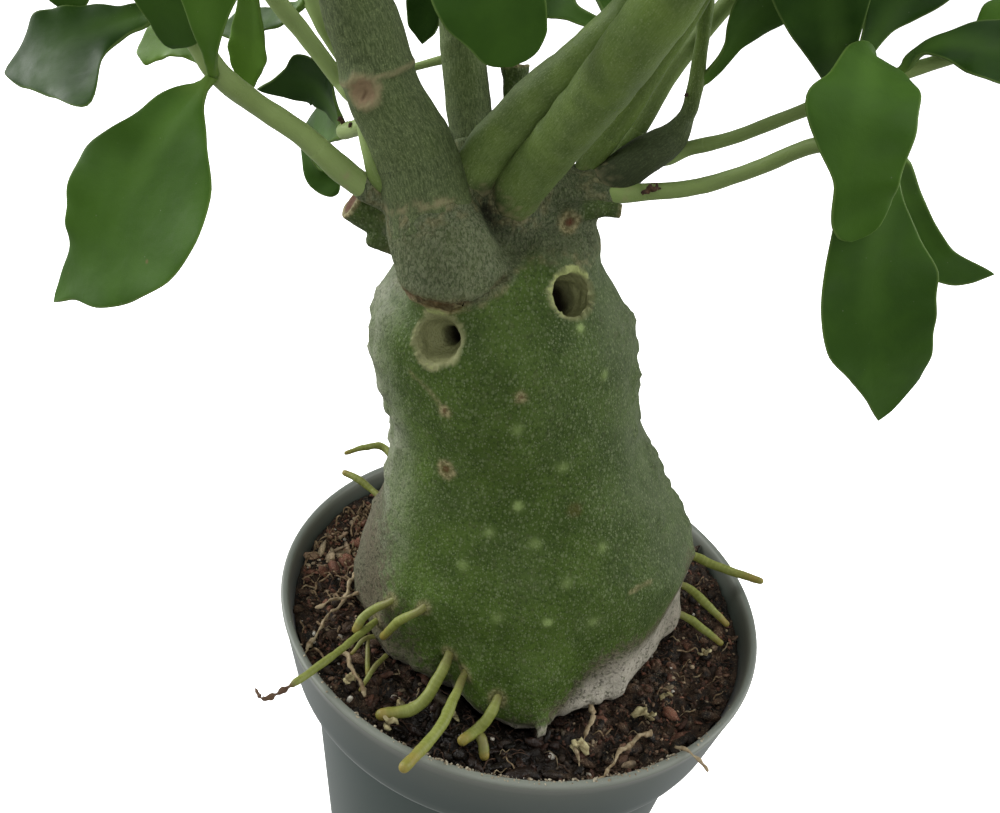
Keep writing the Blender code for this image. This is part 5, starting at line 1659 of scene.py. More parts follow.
@dataclass(frozen=True)
class Pot:
    """Round nursery pot with a deep collar.

    Args:
        rim_radius: Radius of the rim.
        height: Height of the pot.
        collar: Height of the collar.
        collar_foot: Radius of the collar's lower edge.
        body_top: Radius of the body under the collar.
        base: Radius of the base.
        wall: Thickness of the wall.
        floor: Thickness of the floor.
        holes: Number of drain holes.
        hole_radius: Radius of a drain hole.
        hole_ring: Radius of the ring that the drain holes lie on.
        foot_edge: Height at which the body's straight wall starts.
        sides: Number of sides of the turned mesh.
    """

    rim_radius: float = 57.0
    height: float = 108.0
    collar: float = 19.0
    collar_foot: float = 53.3
    body_top: float = 49.2
    base: float = 39.0
    wall: float = 1.8
    floor: float = 2.2
    holes: int = 6
    hole_radius: float = 4.0
    hole_ring: float = 28.0
    foot_edge: float = 1.2
    sides: int = 168

    def inner_radius(self, height: np.ndarray) -> np.ndarray:
        """Return the radius of the inner wall at a height above the collar's foot.

        Args:
            height: Heights.

        Returns:
            The radii.
        """
        low = self.height - self.collar
        share = (np.asarray(height) - low) / self.collar
        return self.collar_foot + (self.rim_radius - self.collar_foot) * share - self.wall

    def profile(self) -> list[tuple[float, float]]:
        """Return the radius and height of each ring, from the base's middle to the floor's.

        Returns:
            The rings in order.
        """
        foot = self.height - self.collar
        rows = [(12.0, 0.0), (24.0, 0.0), (32.0, 0.0), (self.base - 1.4, 0.0),
                (self.base - 0.5, 0.15), (self.base - 0.1, 0.6)]
        for share in np.linspace(0.0, 1.0, 15):
            rows.append((self.base + (self.body_top - self.base) * share,
                         self.foot_edge + (foot - self.foot_edge) * share))
        rows += [(self.body_top + 0.6, foot), (self.collar_foot - 0.7, foot),
                 (self.collar_foot - 0.2, foot + 0.2), (self.collar_foot, foot + 0.7)]
        for share in np.linspace(0.08, 0.93, 9):
            rows.append((self.collar_foot + (self.rim_radius - self.collar_foot) * share,
                         foot + self.collar * share))
        rim, top = self.rim_radius, self.height
        rows += [(rim - 0.05, top - 1.0), (rim, top - 0.55), (rim - 0.2, top - 0.15),
                 (rim - 0.6, top), (rim - 1.2, top), (rim - 1.6, top - 0.15),
                 (rim - 1.85, top - 0.6)]
        for share in np.linspace(0.9, 0.14, 7):
            height = foot + self.collar * share
            rows.append((float(self.inner_radius(height)), height))
        rows += [(self.body_top - self.wall + 0.5, foot + 0.9), (self.body_top - self.wall, foot)]
        for share in (0.8, 0.6, 0.4, 0.2, 0.05):
            rows.append((self.base + (self.body_top - self.base) * share - self.wall, foot * share))
        rows += [(self.base - self.wall + 0.1, self.floor), (32.0, self.floor), (24.0, self.floor),
                 (12.0, self.floor)]
        return rows

    def build(self, effects: Effects) -> bpy.types.Object:
        """Turn the pot, cut its drain holes and dress it.

        Args:
            effects: Shader groups.

        Returns:
            The pot.
        """
        rows = self.profile()
        angle = np.linspace(0.0, 2.0 * math.pi, self.sides, endpoint=False)
        rings = [circle(radius, angle, height) for radius, height in rows]
        points = np.vstack([*rings, [(0.0, 0.0, 0.0)], [(0.0, 0.0, self.floor)]])
        quads, triangles = ring_net(len(rows), self.sides)
        pot = Shape(points, quads, triangles).to_object("nursery_pot")
        self._drill(pot)
        points = read_points(pot)
        turn = np.degrees(np.arctan2(points[:, 1], points[:, 0])) % 360.0
        front = bell(turn - 272.0, 26.0)
        drop = self.height - points[:, 2]
        lime = (0.4 + 1.6 * front) * bell(drop, 1.3) + (0.3 + 0.4 * front) * bell(drop, 5.0)
        lime = lime + 0.5 * smoothstep(self.rim_radius - 1.0, self.rim_radius - 2.2,
                                       np.hypot(points[:, 0], points[:, 1])) * bell(drop, 5.0)
        worn = bell(drop - 0.4, 0.5) + bell(drop - self.collar, 0.5) + bell(points[:, 2], 0.7)
        write_values(pot, {"grain": points, "lime": np.clip(lime, 0.0, 1.0),
                           "worn": np.clip(worn, 0.0, 1.0)})
        pot.data.materials.append(PlasticFinish().material(effects))
        pot.data.set_sharp_from_angle(angle=math.radians(50.0))
        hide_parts("pot")
        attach(pot, "root")
        return pot

    def _drill(self, pot: bpy.types.Object) -> None:
        """Cut the drain holes through the floor.

        Args:
            pot: The pot, which is changed.
        """
        drills = []
        for number in range(self.holes):
            turn = 2.0 * math.pi * (number + 0.5) / self.holes
            x, y = self.hole_ring * math.cos(turn), self.hole_ring * math.sin(turn)
            drills.append(sweep(((x, y, -3.0), (x, y, self.floor + 3.0)),
                                (self.hole_radius, self.hole_radius), 32,
                                np.array([0.0, 1.0]), dome=False))
        cut(pot, Shape.joined(drills))


def cut(body: bpy.types.Object, tool: Shape) -> None:
    """Cut a shape out of a mesh object.

    Args:
        body: The object, which is changed.
        tool: The shape to take away.
    """
    cutter = tool.to_object("cutter")
    change = body.modifiers.new("cut", "BOOLEAN")
    change.operation = "DIFFERENCE"
    change.object = cutter
    change.solver = "EXACT"
    apply_modifiers(body)
    bpy.data.objects.remove(cutter)


@dataclass(frozen=True)
class Caudex:
    """The swollen base of the plant, with its necks, cut stubs, ant holes and corky skirt.

    Args:
        stations: Height, centre across and radius across.
        depth_ratio: Depth as a share of the width.
        skirt_radii: Radius of the corky skirt every 15 degrees, anticlockwise from +X.
        skirt_mean: Radius that the skirt's radii are compared with.
        skirt_full: Height below which the skirt's own radii hold.
        skirt_top: Height above which the skirt ends.
        cork_edge: Turn in degrees and height of the upper edge of the corky skin.
        warts: Turn in degrees, height and height above the skin of each wart.
        spots: Places of the pale round spots.
        bright: Numbers of the spots that stand out brightest.
        crack: Points of the red-brown crack under the main neck and of the crease after it.
        cleft: Middle of the cleft between the main stem and the others, where shade is painted.
        stub_foot: Middle of the tan patch under the cut stubs.
        blush: Middle of a faint brown patch.
        scars: Place, size and strength of each round scar.
        scratches: Points and strength of each pale scratch.
        collar_height: Height up to which the necks' skin climbs the stems.
        voxel: Size of the mesh's faces.
    """

    stations: tuple[Vec, ...] = (
        (86.0, -3.0, 8.0), (90.0, -3.0, 20.0), (96.0, -3.0, 31.0), (102.0, -3.0, 36.5),
        (107.0, -3.0, 39.3), (112.0, -2.9, 38.8), (122.0, -1.5, 37.2), (131.0, -0.3, 35.6),
        (140.0, -3.0, 32.5), (148.0, -5.2, 29.8), (157.0, -8.8, 27.8), (168.0, -12.6, 27.9),
        (178.0, -14.3, 27.0), (186.0, -14.8, 23.0), (193.0, -15.5, 17.0), (198.0, -16.0, 9.0))
    depth_ratio: float = 0.95
    skirt_radii: tuple[float, ...] = (
        39.6, 41.0, 40.0, 38.5, 39.5, 37.5, 38.0, 39.5, 37.5, 38.5, 39.0, 38.0,
        36.5, 36.2, 34.6, 36.2, 34.8, 33.8, 39.3, 42.0, 37.8, 38.5, 36.5, 36.7)
    skirt_mean: float = 38.2
    skirt_full: float = 108.0
    skirt_top: float = 128.0
    cork_edge: tuple[tuple[float, float], ...] = (
        (0.0, 131.0), (30.0, 122.0), (70.0, 127.0), (110.0, 119.0), (150.0, 126.0), (185.0, 140.0),
        (205.0, 146.0), (215.0, 144.0), (223.0, 136.0), (233.0, 128.5), (243.0, 122.5),
        (250.0, 116.0), (257.0, 111.0), (265.0, 107.8), (277.0, 106.6), (288.0, 108.5),
        (296.0, 112.7), (303.0, 117.0), (310.0, 119.5), (320.0, 120.5), (333.0, 121.5),
        (345.0, 130.0), (360.0, 131.0))
    warts: tuple[Vec, ...] = (
        (-4.0, 187.0, 1.0), (8.0, 181.5, 1.3), (7.0, 175.5, 1.0), (-3.0, 172.0, 1.2),
        (4.0, 168.5, 1.1), (9.0, 160.0, 1.0), (3.0, 152.5, 1.0), (10.0, 149.5, 1.2),
        (10.0, 146.5, 1.0), (4.0, 144.0, 1.4), (9.0, 138.5, 1.0), (8.0, 132.0, 0.9),
        (190.0, 177.0, 1.4), (200.0, 172.5, 1.0), (208.0, 170.0, 1.2), (209.0, 163.0, 1.0),
        (206.0, 158.5, 1.0), (196.0, 149.0, 0.8), (203.0, 146.0, 0.8))
    spots: tuple[Vec, ...] = (
        (-6.6, -26.2, 168.5), (3.1, -23.4, 160.3), (-3.8, -27.1, 151.5), (0.9, -28.7, 144.6),
        (-8.5, -28.4, 144.8), (-12.5, -30.0, 136.6), (8.5, -29.9, 137.3), (14.2, -24.4, 143.7),
        (-3.6, -34.3, 128.5), (6.3, -33.4, 129.3), (15.4, -29.9, 128.6), (7.6, -14.1, 176.9),
        (1.1, -15.0, 186.3))
    bright: tuple[int, ...] = (2, 12, 9)
    crack: tuple[Vec, ...] = (
        (-31.5, -20.0, 188.6), (-29.7, -21.4, 190.2), (-27.2, -22.8, 190.1), (-24.8, -23.3, 190.0),
        (-22.4, -23.1, 190.0), (-20.4, -22.7, 191.0), (-17.9, -21.4, 192.3), (-16.1, -19.4, 193.4),
        (-14.4, -16.6, 194.2))
    cleft: Vec = (-20.2, -10.8, 203.7)
    stub_foot: Vec = (-34.5, -12.5, 190.5)
    blush: Vec = (7.3, -24.5, 151.6)
    scars: tuple[tuple[Vec, float, float], ...] = (
        ((-20.5, -25.2, 169.0), 0.8, 1.0), ((-19.1, -24.5, 155.0), 1.5, 0.55),
        ((-6.9, -25.3, 175.2), 0.55, 0.5), ((-4.3, -7.8, 203.7), 1.5, 0.8))
    scratches: tuple[tuple[tuple[Vec, ...], float], ...] = (
        (((-20.5, -25.2, 169.0), (-22.5, -24.5, 170.6), (-25.3, -23.2, 172.5),
          (-28.3, -21.8, 174.0)), 0.4),
        (((22.0, -24.6, 133.8), (23.9, -22.7, 134.1), (26.0, -20.6, 134.2)), 0.55))
    collar_height: float = 208.0
    voxel: float = 0.66

    def centre(self, height: np.ndarray) -> np.ndarray:
        """Return the centre across at heights."""
        heights = [station[0] for station in self.stations]
        return steady(heights, [station[1] for station in self.stations], height)

    def radius(self, angle: np.ndarray, height: np.ndarray) -> np.ndarray:
        """Return the radius across at turns in radians and heights.

        Args:
            angle: Turns in radians.
            height: Heights.

        Returns:
            The radii.
        """
        heights = [station[0] for station in self.stations]
        radius = steady(heights, [station[2] for station in self.stations], height)
        place = (angle / (2.0 * math.pi) % 1.0) * len(self.skirt_radii)
        index = place.astype(int) % len(self.skirt_radii)
        share = smoothstep(0.0, 1.0, place - np.floor(place))
        radii = np.array(self.skirt_radii)
        skirt = radii[index] * (1.0 - share) + radii[(index + 1) % len(radii)] * share
        amount = 1.0 - smoothstep(self.skirt_full, self.skirt_top, height)
        radius = radius * (1.0 + amount * (skirt / self.skirt_mean - 1.0))
        lump = 0.4 * np.sin(3.0 * angle + height * 0.11) + 0.3 * np.sin(5.0 * angle - height * 0.17)
        return radius + (lump * smoothstep(112.0, 130.0, height)
                         * (1.0 - smoothstep(176.0, 190.0, height)))

    def skin_point(self, turn: float, height: float, outward: float = 0.0) -> np.ndarray:
        """Find a point of the smooth skin.

        Args:
            turn: Turn in degrees, anticlockwise from +X.
            height: Height.
            outward: Distance outside the skin.

        Returns:
            The point.
        """
        angle, level = np.array([math.radians(turn)]), np.array([height])
        reach = self.radius(angle, level) / np.hypot(np.cos(angle), np.sin(angle) / self.depth_ratio)
        reach = reach + outward
        return np.array([float(self.centre(level)[0] + reach[0] * math.cos(angle[0])),
                         float(reach[0] * math.sin(angle[0])), height])

    @cached_property
    def _rods(self) -> list[tuple[np.ndarray, np.ndarray, float, bool]]:
        """Return the path, radii, fillet and cut end of every neck that the skin climbs.

        Returns:
            A row for each neck.
        """
        rods = []
        for spec, fillet in ((BACK_NECK, 5.0), *((stub, 1.2) for stub in CUT_STUBS)):
            rods.append((*rod(spec, 15), fillet, not spec.rounded))
        for plan in LEAFY_STEMS:
            top = plan.collar_share(self.collar_height)
            if top > 0.0:
                shares = np.linspace(0.0, top, 25)
                radii = steady(np.linspace(0.0, 1.0, len(plan.stem.radii)), plan.stem.radii, shares)
                radii = radii + 0.2 - 1.0 * smoothstep(0.7, 1.0, shares / top)
                rods.append((spline(plan.stem.path, shares), np.maximum(radii, 0.3),
                             3.0 if radii[0] > 4.0 else 1.6, False))
        return rods

    def field(self, points: np.ndarray) -> np.ndarray:
        """Measure how far points are from the finished skin.

        Args:
            points: Places in millimetres.

        Returns:
            Rough distance, negative inside.
        """
        low, high = self.stations[0][0], self.stations[-1][0]
        height = np.clip(points[:, 2], low, high)
        out = points[:, 0] - self.centre(height)
        angle = np.arctan2(points[:, 1], out)
        skin = np.hypot(out, points[:, 1] / self.depth_ratio) - self.radius(angle, height)
        skin = -soft_join(-skin, -(points[:, 2] - high - 1.0), 2.0)
        skin = -soft_join(-skin, points[:, 2] - low + 1.0, 2.0)
        for path, radii, fillet, is_cut in self._rods:
            gap = path_distance(points, path, radii)
            if is_cut:
                gap = np.maximum(gap, (points - path[-1]) @ unit(path[-1] - path[-2]))
            skin = soft_join(skin, gap, fillet)
        for path, radii in self._tips:
            skin = soft_join(skin, path_distance(points, path, radii), 1.6)
        skin = skin - self._lumps(points, angle) - self._crack_relief(points)
        for number, (path, radii) in enumerate(self._pits):
            pit = path_distance(points, path, radii) + 0.35 * noise(points, 1.5, 71 + number)
            lip = bell(pit - 0.35, 0.4) * (0.5 + 1.1 * noise(points, 1.9, 73 + number))
            skin = -soft_join(-(skin - lip), pit, 0.3)
        return skin

    @cached_property
    def _tips(self) -> list[tuple[np.ndarray, np.ndarray]]:
        """Return the paths and radii of the skirt's hanging points."""
        return [rod(spec, 9) for spec in SKIRT_POINTS]

    @cached_property
    def _pits(self) -> list[tuple[np.ndarray, np.ndarray]]:
        """Return the paths and radii of the ant holes."""
        return [rod(spec, 11) for spec in ANT_HOLES]

    @cached_property
    def _crack_line(self) -> tuple[np.ndarray, np.ndarray]:
        """Return the path of the crack, with radii of nothing."""
        return spline(self.crack, np.linspace(0.0, 1.0, 25)), np.zeros(25)

    @cached_property
    def _bumps(self) -> list[Vec]:
        """Return the warts and the smaller bumps of the sides, the back and the hem.

        Returns:
            Turn in degrees, height and height above the skin of each.
        """
        rng = random.Random(8)
        small = [(rng.uniform(-25.0, 215.0), rng.uniform(118.0, 186.0), rng.uniform(0.3, 1.0))
                 for _ in range(130)]
        hem = [(turn + rng.uniform(-4.0, 4.0), rng.uniform(101.5, 106.0), rng.uniform(0.4, 1.3))
               for turn in range(0, 360, 9)]
        return [*self.warts, *small, *hem]

    def _lumps(self, points: np.ndarray, angle: np.ndarray) -> np.ndarray:
        """Return how far warts, lumps and cork stand out of the smooth skin.

        Args:
            points: Places in millimetres.
            angle: Turn of each place in radians.

        Returns:
            Distances in millimetres.
        """
        height = points[:, 2]
        body = smoothstep(112.0, 124.0, height) * (1.0 - smoothstep(184.0, 192.0, height))
        lump = 0.35 * noise(points, 9.0, 3) * body + 0.12 * noise(points, 3.0, 4)
        skirt = 1.0 - smoothstep(108.0, 122.0, height)
        lump = lump + skirt * (0.5 * noise(points, 5.5, 5) + 0.25 * noise(points, 2.4, 6)
                               + 0.5 * noise(points * (1.0, 1.0, 0.35), 3.2, 8))
        neck = smoothstep(190.0, 197.0, height)
        knobbly = neck * smoothstep(-18.0, -12.0, points[:, 0])
        lump = lump + neck * (0.2 * noise(points * (1.0, 1.0, 0.4), 1.8, 7))
        lump = lump + knobbly * (0.45 * noise(points * (1.0, 1.0, 0.6), 2.2, 9))
        for turn, level, rise in self._bumps:
            near = np.abs(height - level) < 6.0
            away = away_from(points[near], self.skin_point(turn, level, 0.2))
            lump[near] += rise * (1.25 * bell(away, 0.8) + 0.45 * bell(away, 1.8))
        for place in self.spots:
            lump = lump + 0.22 * bell(away_from(points, place), 0.9)
        for spec in GREEN_ROOTS + THIN_ROOTS:
            lump = lump + 0.5 * bell(self._root_gap(points, spec), 0.8)
        return lump

    @staticmethod
    def _root_gap(points: np.ndarray, spec: Tube) -> np.ndarray:
        """Return how far points are from the first part of a root."""
        path, radii = rod(spec, 9)
        return np.abs(path_distance(points, path[:5], radii[:5]))

    def _crack_relief(self, points: np.ndarray) -> np.ndarray:
        """Return how far the crack's lips stand out and its bottom lies in.

        Args:
            points: Places in millimetres.

        Returns:
            Distances in millimetres.
        """
        gap = path_distance(points, *self._crack_line)
        open_part = 1.0 - smoothstep(-22.5, -19.0, points[:, 0])
        lips = 0.5 * bell(gap - 1.4, 0.5) * open_part
        overhang = 0.9 * bell(gap - 2.0, 1.2) * smoothstep(0.0, 1.2, points[:, 2] - 190.6)
        return lips + overhang - bell(gap, 0.5) * (0.5 + 1.2 * open_part)

    def build(self, effects: Effects) -> list[bpy.types.Object]:
        """Grow the skin and the feet of the stems.

        Args:
            effects: Shader groups.

        Returns:
            The pieces that stand for the CAD node.
        """
        skin = self._skin()
        points = read_points(skin)
        write_values(skin, self._paint(points))
        skin.data.materials.append(SkinFinish().material(effects))
        feet = Shape.joined([stem_shape(plan, below=True) for plan in LEAFY_STEMS])
        feet_piece = feet.to_object("stem_feet")
        feet_piece.data.materials.append(shared_material("stem", effects))
        pieces = [skin, feet_piece]
        for piece in pieces:
            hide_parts("caudex")
            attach(piece, "root")
        return pieces

    def _skin(self) -> bpy.types.Object:
        """Join rough shells, remesh them evenly and draw them onto the finished skin.

        Returns:
            The mesh object.
        """
        rows, sides = 40, 72
        low, high = self.stations[0][0], self.stations[-1][0]
        angle = np.linspace(0.0, 2.0 * math.pi, sides, endpoint=False)
        rings = []
        for height in np.linspace(low, high, rows):
            reach = self.radius(angle, np.full(sides, height))
            reach = reach / np.hypot(np.cos(angle), np.sin(angle) / self.depth_ratio)
            rings.append(circle(reach, angle, height, float(self.centre(np.array([height]))[0])))
        points = np.vstack([*rings, [(-3.0, 0.0, 85.0)], [(-16.0, 0.0, 199.5)]])
        shells = [Shape(points, *ring_net(rows, sides))]
        for path, radii, *_ in self._rods:
            line = tuple(tuple(point) for point in path)
            shells.append(sweep(line, tuple(radii), 20, np.linspace(0.0, 1.0, 24)))
        for spec in SKIRT_POINTS:
            shells.append(sweep(spec.path, spec.radii, 12, np.linspace(0.0, 1.0, 12)))
        skin = Shape.joined(shells).to_object("caudex_skin")
        self._remesh(skin, 0.9)
        pits = [sweep(spec.path, spec.radii, 24, np.linspace(0.0, 1.0, 16)) for spec in ANT_HOLES]
        cut(skin, Shape.joined(pits))
        self._remesh(skin, self.voxel)
        points = read_points(skin)
        for _ in range(4):
            points = self._drawn(points)
        write_points(skin, points)
        skin.data.shade_smooth()
        return skin

    @staticmethod
    def _remesh(skin: bpy.types.Object, size: float) -> None:
        """Rebuild a mesh with even faces of a size.

        Args:
            skin: The mesh object, which is changed.
            size: Size of a face in millimetres.
        """
        change = skin.modifiers.new("remesh", "REMESH")
        change.mode = "VOXEL"
        change.voxel_size = size * MM
        apply_modifiers(skin)

    def _drawn(self, points: np.ndarray) -> np.ndarray:
        """Move points one step onto the finished skin.

        Args:
            points: Places in millimetres.

        Returns:
            The new places.
        """
        step = 0.05
        here = self.field(points)
        slope = np.stack([(self.field(points + axis) - here) / step
                          for axis in np.eye(3) * step], axis=1)
        steep = np.maximum(np.einsum("ij,ij->i", slope, slope), 0.15)
        move = -(here / steep)[:, None] * slope
        length = np.linalg.norm(move, axis=1, keepdims=True)
        return points + move * np.minimum(1.0, 0.7 / np.maximum(length, 1e-9))

    def _paint(self, points: np.ndarray) -> dict[str, np.ndarray]:
        """Work out where each colour of the skin shows.

        Args:
            points: Places of the skin in millimetres.

        Returns:
            The masks that the skin's material reads.
        """
        height = np.clip(points[:, 2], self.stations[0][0], self.stations[-1][0])
        out = points[:, 0] - self.centre(height)
        angle = np.arctan2(points[:, 1], out)
        aside = out / self.radius(angle, height)
        cork, chalk = self._foot_masks(points, np.degrees(angle) % 360.0)
        border = 189.5 + 7.5 * smoothstep(-17.0, -9.0, points[:, 0])
        neck = smoothstep(-1.5, 2.5, points[:, 2] - border + 2.0 * rough(points, 5.0, 22))
        # Partly the waxy coat and partly painted sheen: the flanks, the left much more than the right, and
        # the back are marked pale
        flank = 1.1 * smoothstep(0.58, 1.02, -aside) + 0.22 * smoothstep(0.75, 1.0, aside)
        behind = 0.4 * smoothstep(-0.1, 0.9, points[:, 1] / 30.0)
        bloom_and_sheen = np.clip(flank + behind + 0.12 * rough(points, 8.0, 23), 0.0, 1.0)
        cleft = away_from(points, self.cleft)
        flap, lip, shade_in_hollows = self._hole_masks(points)
        # Painted shade in the cleft between the stems
        shade_in_hollows = np.maximum(shade_in_hollows, 0.75 * (1.0 - smoothstep(1.2, 4.5, cleft)))
        # Painted shade: the right and back of the necks, the cleft between the stems and the right flank
        # are marked darker
        painted_shade = 0.34 * neck * smoothstep(-19.0, -12.0, points[:, 0]) + 0.3 * rough(points, 3.0, 34) * neck
        painted_shade = painted_shade + 0.8 * (1.0 - smoothstep(2.0, 8.0, cleft))
        painted_shade = painted_shade + 0.3 * smoothstep(0.2, 0.85, aside) * (1.0 - neck) * (1.0 - cork)
        tan, brown = self._crust_masks(points, neck)
        for spec in CUT_STUBS:
            path, radii = rod(spec, 9)
            close = 1.0 - smoothstep(0.3, 1.2, path_distance(points, path[4:], radii[4:]))
            neck, bloom_and_sheen = neck * (1.0 - 0.8 * close), bloom_and_sheen * (1.0 - close)
            if not spec.rounded:
                face = (points - path[-1]) @ unit(path[-1] - path[-2])
                middle = away_from(points, path[-1]) / radii[-1]
                end = close * smoothstep(-0.7, -0.25, face)
                brown = np.maximum(brown, 0.8 * end * (1.0 - smoothstep(0.55, 0.85, middle)))
                tan = np.maximum(tan, end * smoothstep(0.5, 0.85, middle))
        tan, brown = self._scars(points, tan, brown)
        masks = {"chalk": chalk, "painted_shade": painted_shade, "tan": tan, "brown": brown, "shade_in_hollows": shade_in_hollows}
        masks = {name: np.clip(mask, 0.0, 1.0) for name, mask in masks.items()}
        return {"grain": points, "cork": cork, "neck": neck, "bloom_and_sheen": bloom_and_sheen, "flap": flap,
                "spot": self._spot_mask(points), "lip": lip, **masks}

    def _foot_masks(self, points: np.ndarray, turn: np.ndarray) -> tuple[np.ndarray, np.ndarray]:
        """Mark the corky skin of the skirt.

        Args:
            points: Places of the skin in millimetres.
            turn: Turn of each place in degrees.

        Returns:
            The mark of the cork and of its chalky part.
        """
        edge = np.interp(turn, *np.array(self.cork_edge).T)
        below = edge + 3.0 * rough(points, 7.0, 21) - points[:, 2]
        left = bell(turn - 225.0, 26.0)
        cork = smoothstep(-5.0 + 5.0 * left, 5.0 + 28.0 * left, below)
        right = bell((turn - 312.0 + 180.0) % 360.0 - 180.0, 34.0)
        chalk = (0.2 - 0.2 * left + 0.8 * right) * smoothstep(1.0 + 6.0 * left, 9.0 + 16.0 * left, below)
        hem = 1.0 - smoothstep(102.8, 105.2, points[:, 2] + 0.8 * rough(points, 3.0, 24))
        for path, radii in self._tips:
            gap = path_distance(points, path[3:], radii[3:])
            hem = np.maximum(hem, 1.0 - smoothstep(0.5, 1.2, gap))
        return np.maximum(cork, 0.85 * hem), np.maximum(chalk, 0.6 * hem)

    def _spot_mask(self, points: np.ndarray) -> np.ndarray:
        """Mark the pale spots.

        Args:
            points: Places of the skin in millimetres.

        Returns:
            The mark.
        """
        spot = np.zeros(len(points))
        for place in self.spots:
            spot = np.maximum(spot, bell(away_from(points, place), 0.75))
        for number in self.bright:
            away = away_from(points, self.spots[number])
            spot = np.maximum(spot, 1.5 * (1.0 - smoothstep(0.7, 1.25, away)))
        return spot

    def _hole_masks(self, points: np.ndarray) -> tuple[np.ndarray, np.ndarray, np.ndarray]:
        """Mark the ant holes.

        Args:
            points: Places of the skin in millimetres.

        Returns:
            The marks of their walls, of their lips and of the painted shade at their bottoms.
        """
        flap, rim, shade_in_hollows = (np.zeros(len(points)) for _ in range(3))
        for (path, radii), lip, depth in zip(self._pits, (1.2, 1.1), (11.0, 10.5)):
            gap = path_distance(points, path, radii)
            sunk = (path[2] - points) @ unit(path[0] - path[-1])
            ragged = 0.55 * noise(points, 3.0, 75) + 0.2 * noise(points, 0.9, 76)
            close = 1.0 - smoothstep(lip - 0.3, lip, gap + ragged)
            flap = np.maximum(flap, close)
            rim = np.maximum(rim, close * (1.0 - smoothstep(0.4, 1.8, sunk + 1.4 * ragged)))
            # Painted shade: the deep part of each hole is marked dark
            shade_in_hollows = np.maximum(shade_in_hollows, close * smoothstep(depth - 4.0, depth + 1.0, sunk))
        return flap, 0.6 * rim, shade_in_hollows

    def _crust_masks(self, points: np.ndarray, neck: np.ndarray) -> tuple[np.ndarray, np.ndarray]:
        """Mark the crack, the feet of the roots and the crusts of the necks.

        Args:
            points: Places of the skin in millimetres.
            neck: The mark of the necks.

        Returns:
            The marks of tan and of brown.
        """
        gap = path_distance(points, *self._crack_line)
        open_part = 1.0 - smoothstep(-22.5, -18.0, points[:, 0])
        tan = 0.7 * bell(gap - 1.5, 0.7) * open_part
        brown = bell(gap, 0.75) * (0.2 + 0.8 * open_part)
        for spec in GREEN_ROOTS:
            tan = np.maximum(tan, 0.6 * bell(self._root_gap(points, spec) - 0.2, 0.4))
        margin = away_from(points, self.stub_foot) + rough(points, 2.0, 33)
        tan = np.maximum(tan, 0.4 * (1.0 - smoothstep(2.0, 6.0, margin)))
        crust = 3.2 * neck * (1.0 - neck) * smoothstep(-26.0, -20.0, points[:, 0])
        for path, radii, *_ in self._rods[1 + len(CUT_STUBS):]:
            away = away_from(points, path[-1]) - radii[len(radii) // 2]
            crust = np.maximum(crust, 1.0 - smoothstep(0.5, 4.0, away))
        tan = np.maximum(tan, 0.55 * crust * smoothstep(-0.2, 0.6, noise(points, 1.0, 37)))
        return np.maximum(tan, joint_ring(points)), brown

    def _scars(self, points: np.ndarray, tan: np.ndarray,
               brown: np.ndarray) -> tuple[np.ndarray, np.ndarray]:
        """Add the round scars, a pale ring about a brown middle, and the scratches.

        Args:
            points: Places of the skin in millimetres.
            tan: The mark of tan so far.
            brown: The mark of brown so far.

        Returns:
            Both marks with the scars.
        """
        for place, size, depth in self.scars:
            away = away_from(points, place) + 0.25 * noise(points, 1.0, 41)
            tan = np.maximum(tan, bell(away - size, 0.45))
            brown = np.maximum(brown, depth * (1.0 - smoothstep(size * 0.3, size * 0.85, away)))
        for line, power in self.scratches:
            path = spline(line, np.linspace(0.0, 1.0, 9))
            gap = path_distance(points, path, np.zeros(9)) + 0.2 * noise(points, 1.0, 42)
            tan = np.maximum(tan, power * (1.0 - smoothstep(0.2, 0.9, gap)))
        away = away_from(points, self.blush)
        return tan, np.maximum(brown, 0.22 * (1.0 - smoothstep(0.8, 2.2, away)))


def joint_ring(points: np.ndarray) -> np.ndarray:
    """Mark the broken pale ring where the bark of the main stem starts.

    Args:
        points: Places in millimetres.

    Returns:
        The mark, from 0 to 1.
    """
    count = 17
    line = spline(RING_JOINT, np.linspace(0.0, 1.0, count))
    gap = path_distance(points, line, np.zeros(count)) + 0.35 * noise(points, 1.2, 35)
    return 0.75 * bell(gap - 0.3, 0.4) * smoothstep(-0.5, 0.6, noise(points, 0.9, 36))


def rod(spec: Tube, count: int) -> tuple[np.ndarray, np.ndarray]:
    """Return evenly numbered points and radii along a tube.

    Args:
        spec: The tube.
        count: Number of points.

    Returns:
        The points and the radii.
    """
    shares = np.linspace(0.0, 1.0, count)
    radii = steady(np.linspace(0.0, 1.0, len(spec.radii)), spec.radii, shares)
    return spline(spec.path, shares), radii


@cache
def shared_material(kind: str, effects: Effects) -> bpy.types.Material:
    """Return a material that several pieces wear, made the first time.

    Args:
        kind: Stem, leaf or root.
        effects: Shader groups.

    Returns:
        The material.
    """
    finishes = {"stem": StemFinish(), "leaf": LeafFinish(), "root": RootFinish()}
    return finishes[kind].material(effects)


def mark(shape: Shape, name: str, amount: np.ndarray) -> None:
    """Raise a value of a shape to an amount where that is more."""
    shape.values[name] = np.maximum(shape.values[name], amount)


